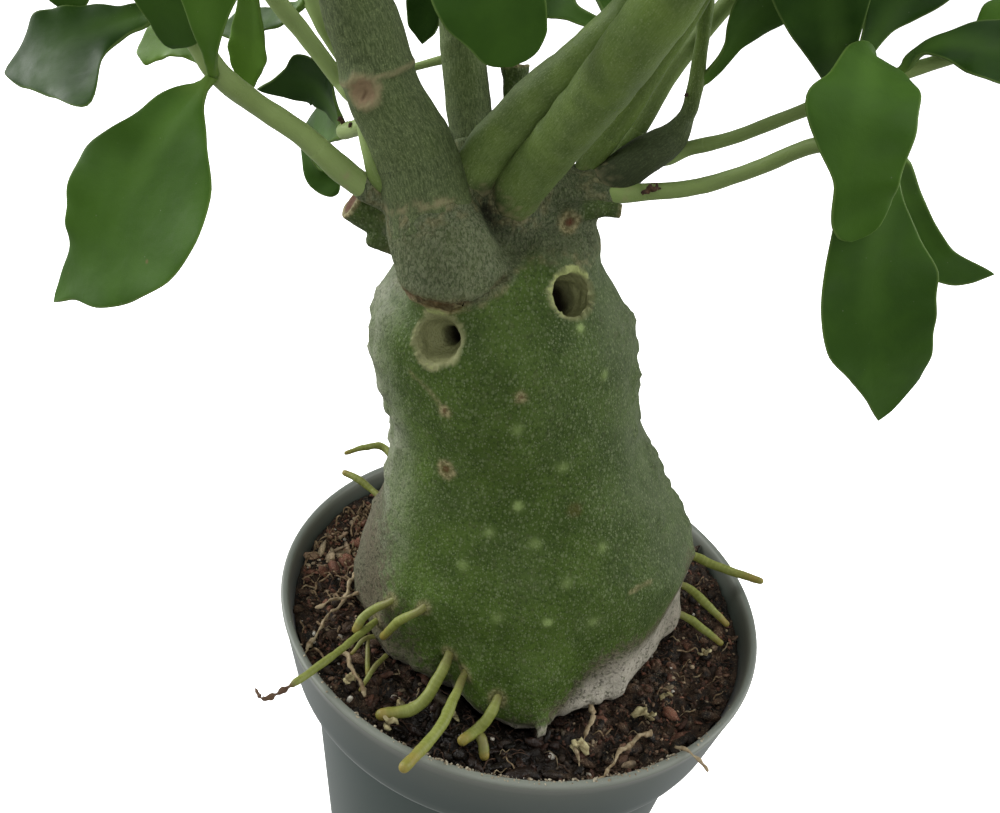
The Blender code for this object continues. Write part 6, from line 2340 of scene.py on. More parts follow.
def bark_values(shape: Shape, spec: Tube) -> None:
    """Give a stem's points the age, paleness and darkness of its skin, and painted shade between the stems'
    feet.

    Args:
        shape: The stem's shape, which gets the values.
        spec: The stem, with the skin at both ends.
    """
    share = smoothstep(0.1, 0.9, shape.values["share"])
    for column, name in enumerate(("age", "pale", "dark")):
        first, last = spec.start.value[column], spec.end.value[column]
        wobble = 0.12 * rough(shape.points, 6.0, 51 + column)
        shape.values[name] = np.clip(first + (last - first) * share + wobble, 0.0, 1.0)
    # Painted shade: the stems are darkened near the place between their feet
    mark(shape, "dark", 1.0 - smoothstep(3.0, 9.0, away_from(shape.points, FEET_SHADE)))
    shape.values["ring"] = joint_ring(shape.points)
    for name in ("pink", "brown"):
        shape.values[name] = np.zeros(len(share))


def tube_shape(spec: Tube, first: float = 0.0, last: float = 1.0, dome: bool = True,
               seed: int = 1, foot: float = 1.0) -> Shape:
    """Make a stem's skin with its ring scars and small lumps.

    Args:
        spec: The stem.
        first: Share of the path where the piece starts.
        last: Share of the path where it ends.
        dome: True where the far end is rounded.
        seed: Number of the pattern of rings.
        foot: What the first ring's radius is multiplied by.

    Returns:
        The shape with its values.
    """
    length = length_of(spline(spec.path, np.linspace(0, 1, 60)))
    thick = float(max(spec.radii))
    sides = int(np.clip(10 + 5 * thick, 12, 56))
    rows = max(int(length * (last - first) / (0.45 + 0.03 * thick)), 6)
    shares = np.linspace(first, last, rows)
    swell = np.ones(rows)
    for ring in spec.rings:
        swell += 0.05 * bell((shares - ring) * length, 0.6)
    rng = random.Random(seed)
    place = rng.uniform(5.0, 10.0)
    while place < length - 3.0:
        swell += 0.022 * bell(shares * length - place, rng.uniform(0.5, 1.4))
        place += rng.uniform(7.0, 15.0)
    shape = sweep(spec.path, spec.radii, sides, shares, dome=dome, swell=swell, foot=foot)
    push(shape, min(0.16, 0.04 * thick) * noise(shape.points, 2.6, 61)
         + min(0.2, 0.03 * thick) * noise(shape.points, 6.0, 62))
    bark_values(shape, spec)
    for ring in spec.rings:
        away = (shape.values["share"] - ring) * length + 0.4 * noise(shape.points, 1.5, 63)
        mark(shape, "ring", 0.75 * bell(away, 0.4))
    shape.values["grain"] = shape.values["grain"] + (0.0, 0.0, 37.0 * (seed % 17))
    return shape


def stem_shape(plan: LeafyStem, below: bool) -> Shape:
    """Make a leafy stem's main stem above or below its joint.

    Args:
        plan: The leafy stem.
        below: True for the foot below the joint.

    Returns:
        The shape; the two meet in the same ring.
    """
    collar = plan.collar_share(Caudex.collar_height)
    first, last = (0.75 * collar, plan.joint) if below else (plan.joint * 0.97, 1.0)
    seed = sum(ord(letter) for letter in plan.name)
    shape = tube_shape(plan.stem, first, last, dome=not below, seed=seed, foot=0.93)
    if below and plan.name != "stem_main_left":
        start = spline(plan.stem.path, np.array([collar]))[0]
        away = away_from(shape.points, start) - plan.stem.radii[0]
        crust = 1.0 - smoothstep(-0.5, 1.6, away + 1.4 * noise(shape.points, 1.2, 66))
        broken = smoothstep(-0.2, 0.7, noise(shape.points, 0.8, 67))
        mark(shape, "ring", 0.6 * crust * broken)
    if plan.name == "stem_main_left":
        away = away_from(shape.points, KNOT) + 0.3 * noise(shape.points, 1.1, 64)
        away = away + 0.4 * noise(shape.points, 0.6, 65)
        mark(shape, "pink", 1.0 - smoothstep(1.9, 2.4, away))
        mark(shape, "ring", bell(away - 2.5, 0.45))
        lines = smoothstep(0.0, 0.6, noise(shape.points * (1.0, 1.0, 2.0), 1.0, 68))
        mark(shape, "brown", 0.7 * lines * (1.0 - smoothstep(1.3, 1.9, away)))
        push(shape, 0.5 * bell(away - 2.8, 0.6) - 0.35 * (1.0 - smoothstep(1.0, 2.3, away)))
    return shape


def leaf_shape(leaf: Leaf, rows: int, columns: int) -> Shape:
    """Make a leaf as a closed blade with a groove over its rib and a rounded margin.

    Args:
        leaf: The leaf.
        rows: Rows of points along the rib.
        columns: Points across the blade.

    Returns:
        The shape, with the values its material reads.
    """
    shares = 1.0 - (1.0 - np.linspace(0.0, 1.0, rows)) ** 1.3
    line = spline(leaf.rib, shares)
    step = 0.004
    ahead = unit(spline(leaf.rib, shares + step) - spline(leaf.rib, shares - step))
    across = unit(np.cross(ahead, leaf.face))
    normal = np.cross(across, ahead)
    knots = [0.0, 0.03, *(k / 9.0 for k in range(1, 9)), 0.955, 0.985, 1.0]
    tip = (0.72, 0.42, 0.02) if leaf.round_tip else (0.46, 0.18, 0.01)
    halves = []
    for widths in (leaf.right, leaf.left):
        ends = [widths[-1] * share for share in tip]
        halves.append(steady(knots, [0.9, 0.9, *(max(w, 0.9) for w in widths), *ends], shares))
    c = np.sin(0.5 * math.pi * np.linspace(-1.0, 1.0, columns))
    width = np.where(c[None, :] > 0, halves[1][:, None], halves[0][:, None])
    wobble = 0.3 * np.sin(2 * math.pi * (5.3 * shares[:, None] + leaf.phase * 3 + (c > 0) * 0.37))
    turn = 2.0 * math.pi * (1.7 * shares[:, None] + leaf.phase) + (c[None, :] <= 0) * 2.2
    fade = np.minimum(1.0, width / 6.0)
    lift = c * c * (leaf.cup * width + leaf.wave * fade * np.sin(turn)) + c ** 4 * fade * wobble
    side = c[None, :] * width
    blade = smoothstep(0.0, 0.16, shares)[:, None]
    groove = bell(side, 0.55) * blade * (1.0 - shares[:, None])
    middle = (line[:, None] + across[:, None] * side[..., None]
              + normal[:, None] * (lift - 0.12 * groove)[..., None])
    round_off = np.where(blade < 0.5, np.sqrt(np.maximum(1.0 - c * c, 0.0)),
                         np.sqrt(np.maximum(1.0 - c ** 6, 0.0)))
    thick = (1.8 * (1.0 - blade) + 0.85 * blade) * round_off * 0.5
    thin = np.minimum(1.0, (1.0 - shares[:, None]) / 0.04 + 0.25)
    upper = middle + normal[:, None] * (thick * thin)[..., None]
    lower = middle - normal[:, None] * (thick * thin + 0.35 * groove)[..., None]
    over = np.arange(rows * columns).reshape(rows, columns)
    under = over.copy()
    under[:, 1:-1] = rows * columns + np.arange(rows * (columns - 2)).reshape(rows, columns - 2)
    quads = []
    for numbers, order in ((over, (0, 3, 2, 1)), (under, (0, 1, 2, 3))):
        corners = (numbers[:-1, :-1], numbers[:-1, 1:], numbers[1:, 1:], numbers[1:, :-1])
        quads.append(np.stack([corners[k].ravel() for k in order], axis=1))
    ends = np.stack([over[0, :-1], over[0, 1:], under[0, 1:], under[0, :-1]], axis=1)
    tip_end = np.stack([over[-1, :-1], under[-1, :-1], under[-1, 1:], over[-1, 1:]], axis=1)
    quads += [ends[1:-1], tip_end[1:-1]]
    corners = np.array([[over[0, 0], over[0, 1], under[0, 1]],
                        [over[0, -2], over[0, -1], under[0, -2]],
                        [over[-1, 0], under[-1, 1], over[-1, 1]],
                        [over[-1, -2], under[-1, -2], over[-1, -1]]])
    points = np.vstack([upper.reshape(-1, 3), lower[:, 1:-1].reshape(-1, 3)])

    def both(upper_values: np.ndarray) -> np.ndarray:
        """Give a net's values to the upper points and again to the lower ones."""
        return np.concatenate([upper_values.ravel(), upper_values[:, 1:-1].ravel()])

    edge = np.where(c > 0, (1.0 - c) * halves[1][:, None], (1.0 + c) * halves[0][:, None])
    length = length_of(line)
    spotted = np.zeros(side.shape)
    for place, share, size in leaf.marks:
        away = np.hypot(side - place, (shares[:, None] - share) * length)
        spotted = np.maximum(spotted, 1.0 - smoothstep(0.5 * size, 1.3 * size, away))
    tone, hue = leaf.tone.value
    values = {
        "side": both(side), "edge": both(edge), "mark": both(spotted),
        "share": both(np.broadcast_to(shares[:, None], side.shape)),
        "grain": points + np.array(leaf.rib[0]) * 3.0,
        "under": np.concatenate([np.zeros(rows * columns), np.ones(rows * (columns - 2))]),
        "tone": np.full(len(points), tone), "hue": np.full(len(points), hue)}
    return Shape(points, np.vstack(quads), corners, values)


@dataclass(frozen=True)
class Roots:
    """Stubby green aerial roots, thin ones behind, and small shoots in the mix.

    Args:
        ring_spacing: Distance between a green root's rings.
        long_root: Length above which a root's end has dried up.
    """

    ring_spacing: float = 1.2
    long_root: float = 40.0

    def build(self, effects: Effects) -> list[bpy.types.Object]:
        """Grow the roots out of the caudex.

        Args:
            effects: Shader groups.

        Returns:
            The pieces.
        """
        green = Shape.joined([self._ringed(spec, 18) for spec in GREEN_ROOTS])
        thin = Shape.joined([self._ringed(spec, 12) for spec in THIN_ROOTS + WEEDS])
        pieces = []
        for shape, name in ((green, "green_roots"), (thin, "thin_roots")):
            piece = shape.to_object(name)
            piece.data.materials.append(shared_material("root", effects))
            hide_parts("caudex")
            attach(piece, "root")
            pieces.append(piece)
        return pieces

    def _ringed(self, spec: Tube, sides: int) -> Shape:
        """Make one root with rings along it.

        Args:
            spec: The root.
            sides: Number of sides of its section.

        Returns:
            The shape.
        """
        line = spline(spec.path, np.linspace(0.0, 1.0, 60))
        length = length_of(line)
        rows = int(length / 0.3)
        shares = np.linspace(0.0, 1.0, rows)
        bend = 1.2 * np.sin(shares * 9.0)
        swell = 1.0 + 0.008 * np.sin(2.0 * math.pi * shares * length / self.ring_spacing + bend)
        swell = swell * (0.88 - 0.14 * (1.0 - smoothstep(0.15, 0.6, shares)))
        dead = np.zeros(rows)
        if length > self.long_root:
            dead = smoothstep(0.6, 0.65, shares)
            swell = swell * (1.0 - 0.4 * dead * (1.0 + 0.5 * np.sin(shares * 90.0)))
        shape = sweep(spec.path, spec.radii, sides, shares, swell=swell)
        shape.values["dead"] = np.interp(shape.values["share"], shares, dead)
        push(shape, 0.1 * noise(shape.points, 1.4, 81) + 0.1 * noise(shape.points, 4.0, 82)
             + 0.25 * shape.values["dead"] * noise(shape.points, 0.7, 83))
        return shape


@dataclass(frozen=True)
class DriedScales:
    """Tufts of shrivelled brown scales at the nodes of the stems.

    Args:
        count: Number of scales in a tuft.
        reach: Length of a scale.
    """

    count: int = 7
    reach: float = 1.5

    def build(self, effects: Effects) -> bpy.types.Object:
        """Set the tufts.

        Args:
            effects: Shader groups.

        Returns:
            The piece.
        """
        rng = random.Random(31)
        shapes = []
        for place in SCALES:
            for _ in range(self.count):
                knots = [np.array(place)]
                for _ in range(3):
                    step = [rng.gauss(0.0, 0.4), rng.gauss(-0.1, 0.4), rng.gauss(0.0, 0.4)]
                    knots.append(knots[-1] + np.array(step) * self.reach * rng.uniform(0.4, 1.0))
                path = tuple(tuple(float(number) for number in knot) for knot in knots)
                shapes.append(sweep(path, (0.45, 0.4, 0.3, 0.12), 7, np.linspace(0.0, 1.0, 12)))
        tufts = Shape.joined(shapes)
        push(tufts, 0.15 * noise(tufts.points, 0.7, 102))
        piece = tufts.to_object("dried_scales")
        finish = PaleFinish("dried scales", paint(96, 72, 50), paint(44, 30, 22))
        piece.data.materials.append(finish.material(effects))
        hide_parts("stem_main_left")
        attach(piece, "root")
        return piece


@dataclass(frozen=True)
class PottingMix:
    """The mix in the pot: a rough dark bed with crumbs, bark, perlite and threads.

    Args:
        top: Height of the bed.
        base: Height of its underside.
        chunks: Number of pieces of bark.
        crumbs: Number of crumbs.
        perlite: Number of white grains.
        threads: Number of fine dark threads.
        fibre_places: Places drawn for the tan fibres, of which those near their pile are kept.
        loose_roots: Number of small dead roots.
        rim_grains: Number of grains on the rim.
        pile: Middle of the pile of fibres and husks at the left.
        shaded_front: Middle of the front of the mix, which is painted darker for shade and made glossier.
        inner: Radius that nothing is strewn within.
        reach: Radius that threads stay within.
        seat: Number of the caudex's station at the top of the bowl that it sits in.
        bowl: Radius and height of the bowl.
        pot: The pot that holds it.
        caudex: The plant that stands in it.
    """

    top: float = 101.5
    base: float = 2.7
    chunks: int = 330
    crumbs: int = 4300
    perlite: int = 70
    threads: int = 460
    fibre_places: int = 820
    loose_roots: int = 40
    rim_grains: int = 420
    pile: tuple[float, float] = (-46.0, 6.0)
    shaded_front: tuple[float, float] = (-4.0, -44.0)
    inner: float = 33.0
    reach: float = 53.0
    seat: int = 3
    bowl: tuple[tuple[float, float], ...] = ((9.0, 84.0), (20.0, 88.5), (31.0, 94.5), (36.5, 100.0))
    pot: Pot = Pot()
    caudex: Caudex = Caudex()

    def height(self, x: np.ndarray, y: np.ndarray) -> np.ndarray:
        """Return the height of the bed at places across it.

        Args:
            x: Places across.
            y: Places from front to back.

        Returns:
            The heights.
        """
        flat = np.stack([x, y, np.zeros_like(x)], axis=1)
        wall = float(self.pot.inner_radius(self.top))
        away = np.hypot(x, y)
        level = (self.top + 1.1 * noise(flat, 9.0, 91) + 0.9 * noise(flat, 4.0, 92)
                 + 0.6 * noise(flat, 1.9, 93) + 0.4 * noise(flat, 1.0, 94))
        level = level + 1.2 * smoothstep(wall - 7.0, wall, away)
        seat_height, centre, seat_radius = self.caudex.stations[self.seat]
        out = x - centre
        angle = np.arctan2(y, out)
        skirt = self.caudex.radius(angle, np.full_like(x, seat_height))
        gap = np.hypot(out, y / self.caudex.depth_ratio) - skirt
        level = level - 1.6 * (1.0 - smoothstep(0.5, 4.5, gap))
        bowl = np.interp(gap + seat_radius, *np.array(self.bowl).T)
        return np.where(gap < 0.0, np.minimum(level, bowl), level)

    def build(self, effects: Effects) -> list[bpy.types.Object]:
        """Lay the bed and scatter what lies in it.

        Args:
            effects: Shader groups.

        Returns:
            The pieces.
        """
        mix = MixFinish().material(effects)
        pale = PaleFinish("perlite", paint(206, 202, 190), paint(140, 130, 112)).material(effects)
        dry = PaleFinish("dry roots", paint(172, 158, 128), paint(112, 92, 64)).material(effects)
        dark = PaleFinish("peat threads", paint(86, 62, 46), paint(44, 32, 24)).material(effects)
        crust = PaleFinish("rim crust", paint(176, 168, 146), paint(98, 84, 64)).material(effects)
        fibre = PaleFinish("plant fibres", paint(158, 138, 106), paint(92, 72, 52)).material(effects)
        husk = PaleFinish("husks", paint(186, 178, 136), paint(112, 98, 64)).material(effects)
        shapes = (("potting_bed", self._bed(), mix),
                  ("bark_chunks", self._crumbs(self.chunks, True), mix),
                  ("crumbs", self._crumbs(self.crumbs, False), mix),
                  ("perlite", self._perlite(), pale), ("dry_roots", self._dry_roots(), dry),
                  ("husks", self._husks(), husk), ("rim_crust", self._rim_crust(), crust),
                  ("peat_threads", self._threads(), dark), ("fibre_clumps", self._fibres(), fibre))
        pieces = []
        for name, shape, material in shapes:
            # Painted shade: the mix in front, under the plant and the rim, is marked darker and glossier
            away = np.hypot(shape.points[:, 0] - self.shaded_front[0], shape.points[:, 1] - self.shaded_front[1])
            shape.values["damp"] = 1.0 - smoothstep(12.0, 30.0, away)
            piece = shape.to_object(name)
            piece.data.materials.append(material)
            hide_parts("soil")
            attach(piece, "root")
            pieces.append(piece)
        return pieces

    def _bed(self) -> Shape:
        """Make the bed as one closed body.

        Returns:
            The shape.
        """
        sides = 400
        angle = np.linspace(0.0, 2.0 * math.pi, sides, endpoint=False)
        wall = float(self.pot.inner_radius(self.top)) - 0.15
        radii = np.concatenate([np.linspace(4.0, 28.0, 8), np.linspace(30.0, wall, 56)])
        rings = []
        low_radius = self.pot.base - self.pot.wall
        foot = self.pot.height - self.pot.collar
        for radius, height in ((low_radius - 0.3, self.base), (42.0, 45.0),
                               (self.pot.body_top - self.pot.wall - 0.3, foot),
                               (float(self.pot.inner_radius(foot + 2.0)) - 0.3, foot + 2.6)):
            rings.append(circle(radius, angle, height))
        for radius in radii[::-1]:
            x, y = radius * np.cos(angle), radius * np.sin(angle)
            rings.append(np.stack([x, y, self.height(x, y)], axis=1))
        middle = self.height(np.zeros(1), np.zeros(1))[0]
        points = np.vstack([*rings, [(0.0, 0.0, self.base)], [(0.0, 0.0, middle)]])
        shape = Shape(points, *ring_net(len(rings), sides))
        shape.values["grain"] = points
        shape.values["kind"] = 0.15 + 0.3 * rough(points, 5.0, 95)
        shape.values["deep"] = 0.55 + 0.45 * rough(points, 3.0, 96)
        return shape

    def _places(self, rng: random.Random, count: int) -> np.ndarray:
        """Draw places between the caudex and the wall.

        Args:
            rng: Source of the places.
            count: Number of places.

        Returns:
            Points on the bed.
        """
        wall = float(self.pot.inner_radius(self.top)) - 1.0
        centre = self.caudex.stations[self.seat][1]
        found: list[tuple[float, float]] = []
        while len(found) < count:
            radius = math.sqrt(rng.uniform(self.inner ** 2, wall ** 2))
            turn = rng.uniform(0.0, 2.0 * math.pi)
            x, y = radius * math.cos(turn), radius * math.sin(turn)
            skirt = self.caudex.skin_point(math.degrees(math.atan2(y, x - centre)), 103.0)
            if math.hypot(x - centre, y) > math.hypot(skirt[0] - centre, skirt[1]) - 1.5:
                found.append((x, y))
        flat = np.array(found)
        return np.column_stack([flat, self.height(flat[:, 0], flat[:, 1])])

    @staticmethod
    def _lump(rng: random.Random, centre: np.ndarray, size: Vec, seed: int,
              rings: int = 5) -> Shape:
        """Make an irregular crumb.

        Args:
            rng: Source of its turn.
            centre: Its middle.
            size: Half lengths along its three axes.
            seed: Number of its shape.
            rings: Number of rings of points; it has three sides more.

        Returns:
            The crumb.
        """
        sides = rings + 3
        tilt = np.linspace(0.16, 0.84, rings) * math.pi
        angle = np.linspace(0.0, 2.0 * math.pi, sides, endpoint=False)
        ball = np.stack([np.outer(np.sin(tilt), np.cos(angle)), np.outer(np.sin(tilt), np.sin(angle)),
                         -np.outer(np.cos(tilt), np.ones(sides))], axis=2).reshape(-1, 3)
        ball = np.vstack([ball, [(0.0, 0.0, -1.0)], [(0.0, 0.0, 1.0)]])
        ball = ball * (1.0 + 0.38 * noise(ball + seed * 3.7, 0.8, 97))[:, None]
        turns = [rng.uniform(0.0, 2.0 * math.pi) for _ in range(3)]
        spin = np.eye(3)
        for axis, turn in enumerate(turns):
            first, second = (axis + 1) % 3, (axis + 2) % 3
            step = np.eye(3)
            step[first, first] = step[second, second] = math.cos(turn if axis == 2 else turn * 0.12)
            step[first, second] = -math.sin(turn if axis == 2 else turn * 0.12)
            step[second, first] = math.sin(turn if axis == 2 else turn * 0.12)
            spin = step @ spin
        points = (ball * np.array(size)) @ spin.T + centre
        shape = Shape(points, *ring_net(rings, sides))
        shape.values["grain"] = points + seed * 2.3
        return shape

    def _crumbs(self, count: int, big: bool) -> Shape:
        """Scatter flat pieces of bark or small crumbs.

        Args:
            count: Number of pieces.
            big: True for bark and False for crumbs.

        Returns:
            All of them in one shape.
        """
        rng = random.Random(21 if big else 20)
        crumbs = []
        for number, place in enumerate(self._places(rng, count)):
            size = rng.uniform(0.7, 1.9) if big else rng.uniform(0.2, 0.75)
            flat = rng.uniform(0.3, 0.7)
            half = (size * rng.uniform(0.9, 1.8), size * rng.uniform(0.5, 1.0), size * flat)
            lift = size * flat * rng.uniform(0.1, 1.0)
            crumb = self._lump(rng, place + (0.0, 0.0, lift), half, number, 5 if big else 3)
            kind = rng.random() ** (1.5 if big else 1.7)
            away = math.hypot(place[0] - self.pile[0], place[1] - self.pile[1])
            husk = math.exp(-(away / 14.0) ** 2)
            kind = min(1.0, kind + (1.0 - kind) * husk * rng.uniform(0.5, 1.3))
            crumb.values["kind"] = np.full(len(crumb.points), kind)
            crumb.values["deep"] = np.full(len(crumb.points), rng.random() ** 1.4 * (1.0 - husk))
            crumbs.append(crumb)
        return Shape.joined(crumbs)

    def _perlite(self) -> Shape:
        """Scatter white grains.

        Returns:
            All of them in one shape.
        """
        rng = random.Random(22)
        grains = []
        for number, place in enumerate(self._places(rng, self.perlite)):
            size = rng.uniform(0.2, 0.45) if rng.random() < 0.88 else rng.uniform(0.5, 0.85)
            half = (size * rng.uniform(0.9, 1.3), size, size * 0.8)
            grains.append(self._lump(rng, place + (0.0, 0.0, size * 0.4), half, 500 + number))
        return Shape.joined(grains)

    @staticmethod
    def _husks() -> Shape:
        """Lay the crumpled pale husks that the photo shows on the mix.

        Returns:
            All of them in one shape.
        """
        rng = random.Random(27)
        shapes = []
        for number, (place, size) in enumerate(HUSKS):
            for part in range(3):
                shift = np.array([rng.gauss(0.0, 0.5), rng.gauss(0.0, 0.4), 0.4 * part]) * size
                half = (size * rng.uniform(0.6, 1.0), size * rng.uniform(0.4, 0.6), size * 0.22)
                lump = PottingMix._lump(rng, np.array(place) + shift, half, 40 * number + part, 9)
                push(lump, 0.3 * size * noise(lump.points, 0.8, 103))
                shapes.append(lump)
        return Shape.joined(shapes)

    def _rim_crust(self) -> Shape:
        """Lay grains of dirt along the front of the pot's rim.

        Returns:
            All of them in one shape.
        """
        rng = random.Random(26)
        grains = []
        wall = float(self.pot.inner_radius(self.pot.height - 0.8))
        for number in range(self.rim_grains):
            turn = math.radians(rng.gauss(276.0, 26.0))
            size = 0.07 + 0.3 * rng.random() ** 2.5
            reach = wall + rng.uniform(-0.25, 1.3)
            level = self.pot.height - (0.1 if reach > wall else rng.uniform(0.3, 2.0))
            place = np.array((reach * math.cos(turn), reach * math.sin(turn), level))
            grains.append(self._lump(rng, place, (size * 1.4, size, size * 0.6), number, 3))
        return Shape.joined(grains)

    def _thread(self, rng: random.Random, place: np.ndarray, length: float, radius: float,
                lift: float) -> Shape:
        """Make one bent thread that lies on the bed.

        Args:
            rng: Source of its bends.
            place: Where it starts.
            length: Its length.
            radius: Its radius.
            lift: How far its middle stands up.

        Returns:
            The thread.
        """
        turn = rng.uniform(0.0, 2.0 * math.pi)
        knots = [np.array(place)]
        for step in range(4):
            turn += rng.uniform(-0.9, 0.9)
            x = knots[-1][0] + math.cos(turn) * length / 4
            y = knots[-1][1] + math.sin(turn) * length / 4
            away = math.hypot(x, y)
            if away > self.reach:
                x, y = x * self.reach / away, y * self.reach / away
            level = float(self.height(np.array([x]), np.array([y]))[0])
            knots.append(np.array([x, y, level + lift * rng.uniform(0.0, 1.0) * (step < 3)]))
        path = tuple(tuple(float(number) for number in knot) for knot in knots)
        radii = tuple(radius * share for share in (0.9, 1.0, 0.9, 0.75, 0.4))
        return sweep(path, radii, 6, np.linspace(0.0, 1.0, 15))

    def _threads(self) -> Shape:
        """Scatter the fine dark threads of peat.

        Returns:
            All of them in one shape.
        """
        rng = random.Random(23)
        places = self._places(rng, self.threads)
        return Shape.joined([self._thread(rng, place, rng.uniform(2.0, 6.5), rng.uniform(0.06, 0.17),
                                          1.3) for place in places])

    def _fibres(self) -> Shape:
        """Pile the tan fibres and husks that lie at the left behind the caudex.

        Returns:
            All of them in one shape.
        """
        rng = random.Random(25)
        shapes = []
        for place in self._places(rng, self.fibre_places):
            away = math.hypot(place[0] - self.pile[0], place[1] - self.pile[1] - 3.0)
            if rng.random() < 2.4 * math.exp(-(away / 16.0) ** 2) + 0.06:
                raised = place + (0.0, 0.0, rng.uniform(0.0, 1.6))
                shapes.append(self._thread(rng, raised, rng.uniform(2.0, 7.0),
                                           rng.uniform(0.1, 0.32), 2.2))
        return Shape.joined(shapes)

    def _dry_roots(self) -> Shape:
        """Lay the pale dead roots, the large ones where the photo shows them.

        Returns:
            All of them in one shape.
        """
        rng = random.Random(24)
        shapes = [self._thread(rng, place, rng.uniform(2.0, 6.0), rng.uniform(0.08, 0.22), 1.5)
                  for place in self._places(rng, self.loose_roots)]
        for path, radius in DRY_ROOTS:
            radii = tuple(0.75 * radius * share for share in np.linspace(1.0, 0.45, len(path)))
            shape = sweep(path, radii, 10, np.linspace(0.0, 1.0, 48))
            push(shape, 0.45 * radius * noise(shape.points, 1.0, 98))
            bent = 0.5 * np.stack([noise(shape.points, 2.2, seed) for seed in (99, 100, 101)], axis=1)
            shape.points = shape.points + bent
            shapes.append(shape)
        return Shape.joined(shapes)


@dataclass(frozen=True)
class FloorFinish:
    """White studio floor, which shines less on the plant than it does in the picture.

    Args:
        white: Colour of the floor.
        shade: Colour of its faint patches.
        grey: Colour that it has for the light it throws back.
        shown: Strength of its shine in the picture.
        cast: Strength of the light that it casts.
    """

    white: Colour = paint(252, 252, 251)
    shade: Colour = paint(244, 244, 243)
    grey: Colour = paint(150, 150, 148)
    shown: float = 0.95
    cast: float = 0.1

    def material(self, effects: Effects) -> bpy.types.Material:
        """Build the material.

        Args:
            effects: Shader groups.

        Returns:
            The material.
        """
        make = Surface("studio floor", effects, Specular_IOR_Level=0.0)
        make.place = make.node("ShaderNodeTexCoord").outputs["Object"]
        patches = make.patches(1.5, 0.3)
        colour = make.mix(patches, self.white, self.shade)
        seen = make.node("ShaderNodeLightPath").outputs["Is Camera Ray"]
        make.feed(make.shader.inputs["Emission Color"], colour)
        make.feed(make.shader.inputs["Emission Strength"],
                  make.span(seen, 0.0, 1.0, self.cast, self.shown))
        make.colour = make.mix(seen, self.grey, colour)
        return make.finish(make.span(patches, 0.0, 1.0, 0.7, 0.8))


@dataclass(frozen=True)
class Lamp:
    """A square soft light.

    Args:
        name: Name of the light.
        place: Place in metres.
        target: Point that it faces, in metres.
        size: Length of its side in metres.
        power: Power in watts.
    """

    name: str
    place: Vec
    target: Vec
    size: float
    power: float

    def build(self) -> None:
        """Hang the light and turn it to its target."""
        light = bpy.data.lights.new(self.name, "AREA")
        light.shape = "SQUARE"
        light.size = self.size
        light.energy = self.power
        lamp = bpy.data.objects.new(self.name, light)
        bpy.context.scene.collection.objects.link(lamp)
        lamp.location = self.place
        aim = Vector(self.target) - Vector(self.place)
        lamp.rotation_euler = aim.to_track_quat("-Z", "Y").to_euler()


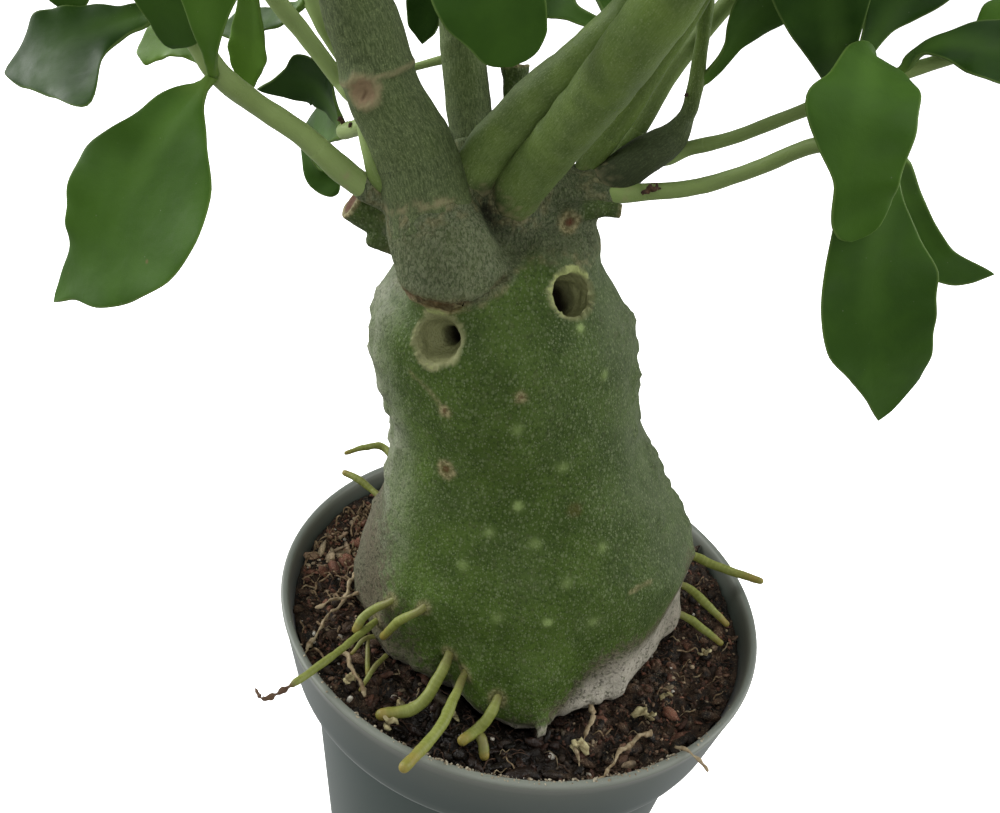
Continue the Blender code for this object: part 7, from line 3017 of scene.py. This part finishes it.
@dataclass(frozen=True)
class Studio:
    """White floor and air, soft lights and the camera at the photo's angle.

    Args:
        floor_radius: Radius of the floor in metres.
        lens: Focal length in millimetres on a sensor 36 mm wide.
        eye: Place of the camera in metres.
        right: Direction of the picture's right.
        down: Direction of the picture's lower edge.
        ahead: Direction that the camera looks in.
        lamps: Soft lights.
        air: Strength of the even light all round.
    """

    floor_radius: float = 14.0
    lens: float = 36.0
    eye: Vec = (0.0, -0.183668, 0.270687)
    right: Vec = (0.979788406, 0.148336848, 0.134204540)
    down: Vec = (0.191966759, -0.508611803, -0.839322821)
    ahead: Vec = (-0.056244488, 0.848121579, -0.526807692)
    lamps: tuple[Lamp, ...] = (
        Lamp("overhead softbox", (0.0, 0.0, 1.5), (0.0, 0.0, 0.15), 1.2, 7.0),
        Lamp("left softbox", (-1.4, 0.3, 0.8), (0.0, 0.0, 0.15), 1.2, 32.0),
        Lamp("right softbox", (1.4, 0.3, 0.8), (0.0, 0.0, 0.15), 1.2, 21.0),
        Lamp("front softbox", (0.2, -1.5, 1.0), (0.0, 0.0, 0.15), 1.2, 10.0),
    )
    air: float = 0.26

    def build(self, effects: Effects) -> None:
        """Set the floor, air, lights and camera.

        Args:
            effects: Shader groups.
        """
        self._floor(effects)
        self._air()
        for lamp in self.lamps:
            lamp.build()
        self._camera()
        bpy.context.scene.view_settings.view_transform = "Standard"

    def _floor(self, effects: Effects) -> None:
        """Lay the round floor.

        Args:
            effects: Shader groups.
        """
        sides = 64
        angle = np.linspace(0.0, 2.0 * math.pi, sides, endpoint=False)
        points = np.vstack([circle(self.floor_radius / MM, angle, 0.0), [(0.0, 0.0, 0.0)]])
        around = np.arange(sides)
        faces = np.stack([np.full(sides, sides), around, (around + 1) % sides], axis=1)
        floor = Shape(points, np.zeros((0, 4), dtype=int), faces).to_object("studio_floor")
        floor.data.materials.append(FloorFinish().material(effects))

    def _air(self) -> None:
        """Fill the air with even light, which looks white in the picture."""
        world = bpy.data.worlds.new("white air")
        world.use_nodes = True
        make = Painter(world.node_tree)
        background = world.node_tree.nodes["Background"]
        background.inputs["Color"].default_value = (1.0, 1.0, 1.0, 1.0)
        seen = make.node("ShaderNodeLightPath").outputs["Is Camera Ray"]
        make.feed(background.inputs["Strength"], make.span(seen, 0.0, 1.0, self.air, 1.0))
        bpy.context.scene.world = world

    def _camera(self) -> None:
        """Place the camera where the photo was taken from."""
        lens = bpy.data.cameras.new("camera")
        lens.lens = self.lens
        lens.sensor_width = 36.0
        lens.clip_start = 0.01
        lens.clip_end = 100.0
        camera = bpy.data.objects.new("camera", lens)
        bpy.context.scene.collection.objects.link(camera)
        columns = (Vector(self.right), -Vector(self.down), -Vector(self.ahead))
        turn = Matrix([[column[row] for column in columns] for row in range(3)])
        camera.matrix_world = Matrix.Translation(self.eye) @ turn.to_4x4()
        bpy.context.scene.camera = camera


def triangles(piece: bpy.types.Object) -> int:
    """Count the triangles of a mesh."""
    return sum(len(face.vertices) - 2 for face in piece.data.polygons)


def main() -> None:
    """Build the plant piece by piece and set the studio around it."""
    logging.basicConfig(level=logging.INFO, format="%(message)s")
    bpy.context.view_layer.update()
    effects = Effects.build()
    total = 0
    for builder in (Pot(), PottingMix(), Caudex(), Roots(), DriedScales(), *LEAFY_STEMS):
        built = builder.build(effects)
        for piece in built if isinstance(built, list) else [built]:
            count = triangles(piece)
            total += count
            LOG.info("%-28s %8d triangles", piece.name, count)
    LOG.info("%-28s %8d triangles", "all pieces", total)
    Studio().build(effects)
    bpy.context.view_layer.update()


if __name__ == "__main__":
    main()
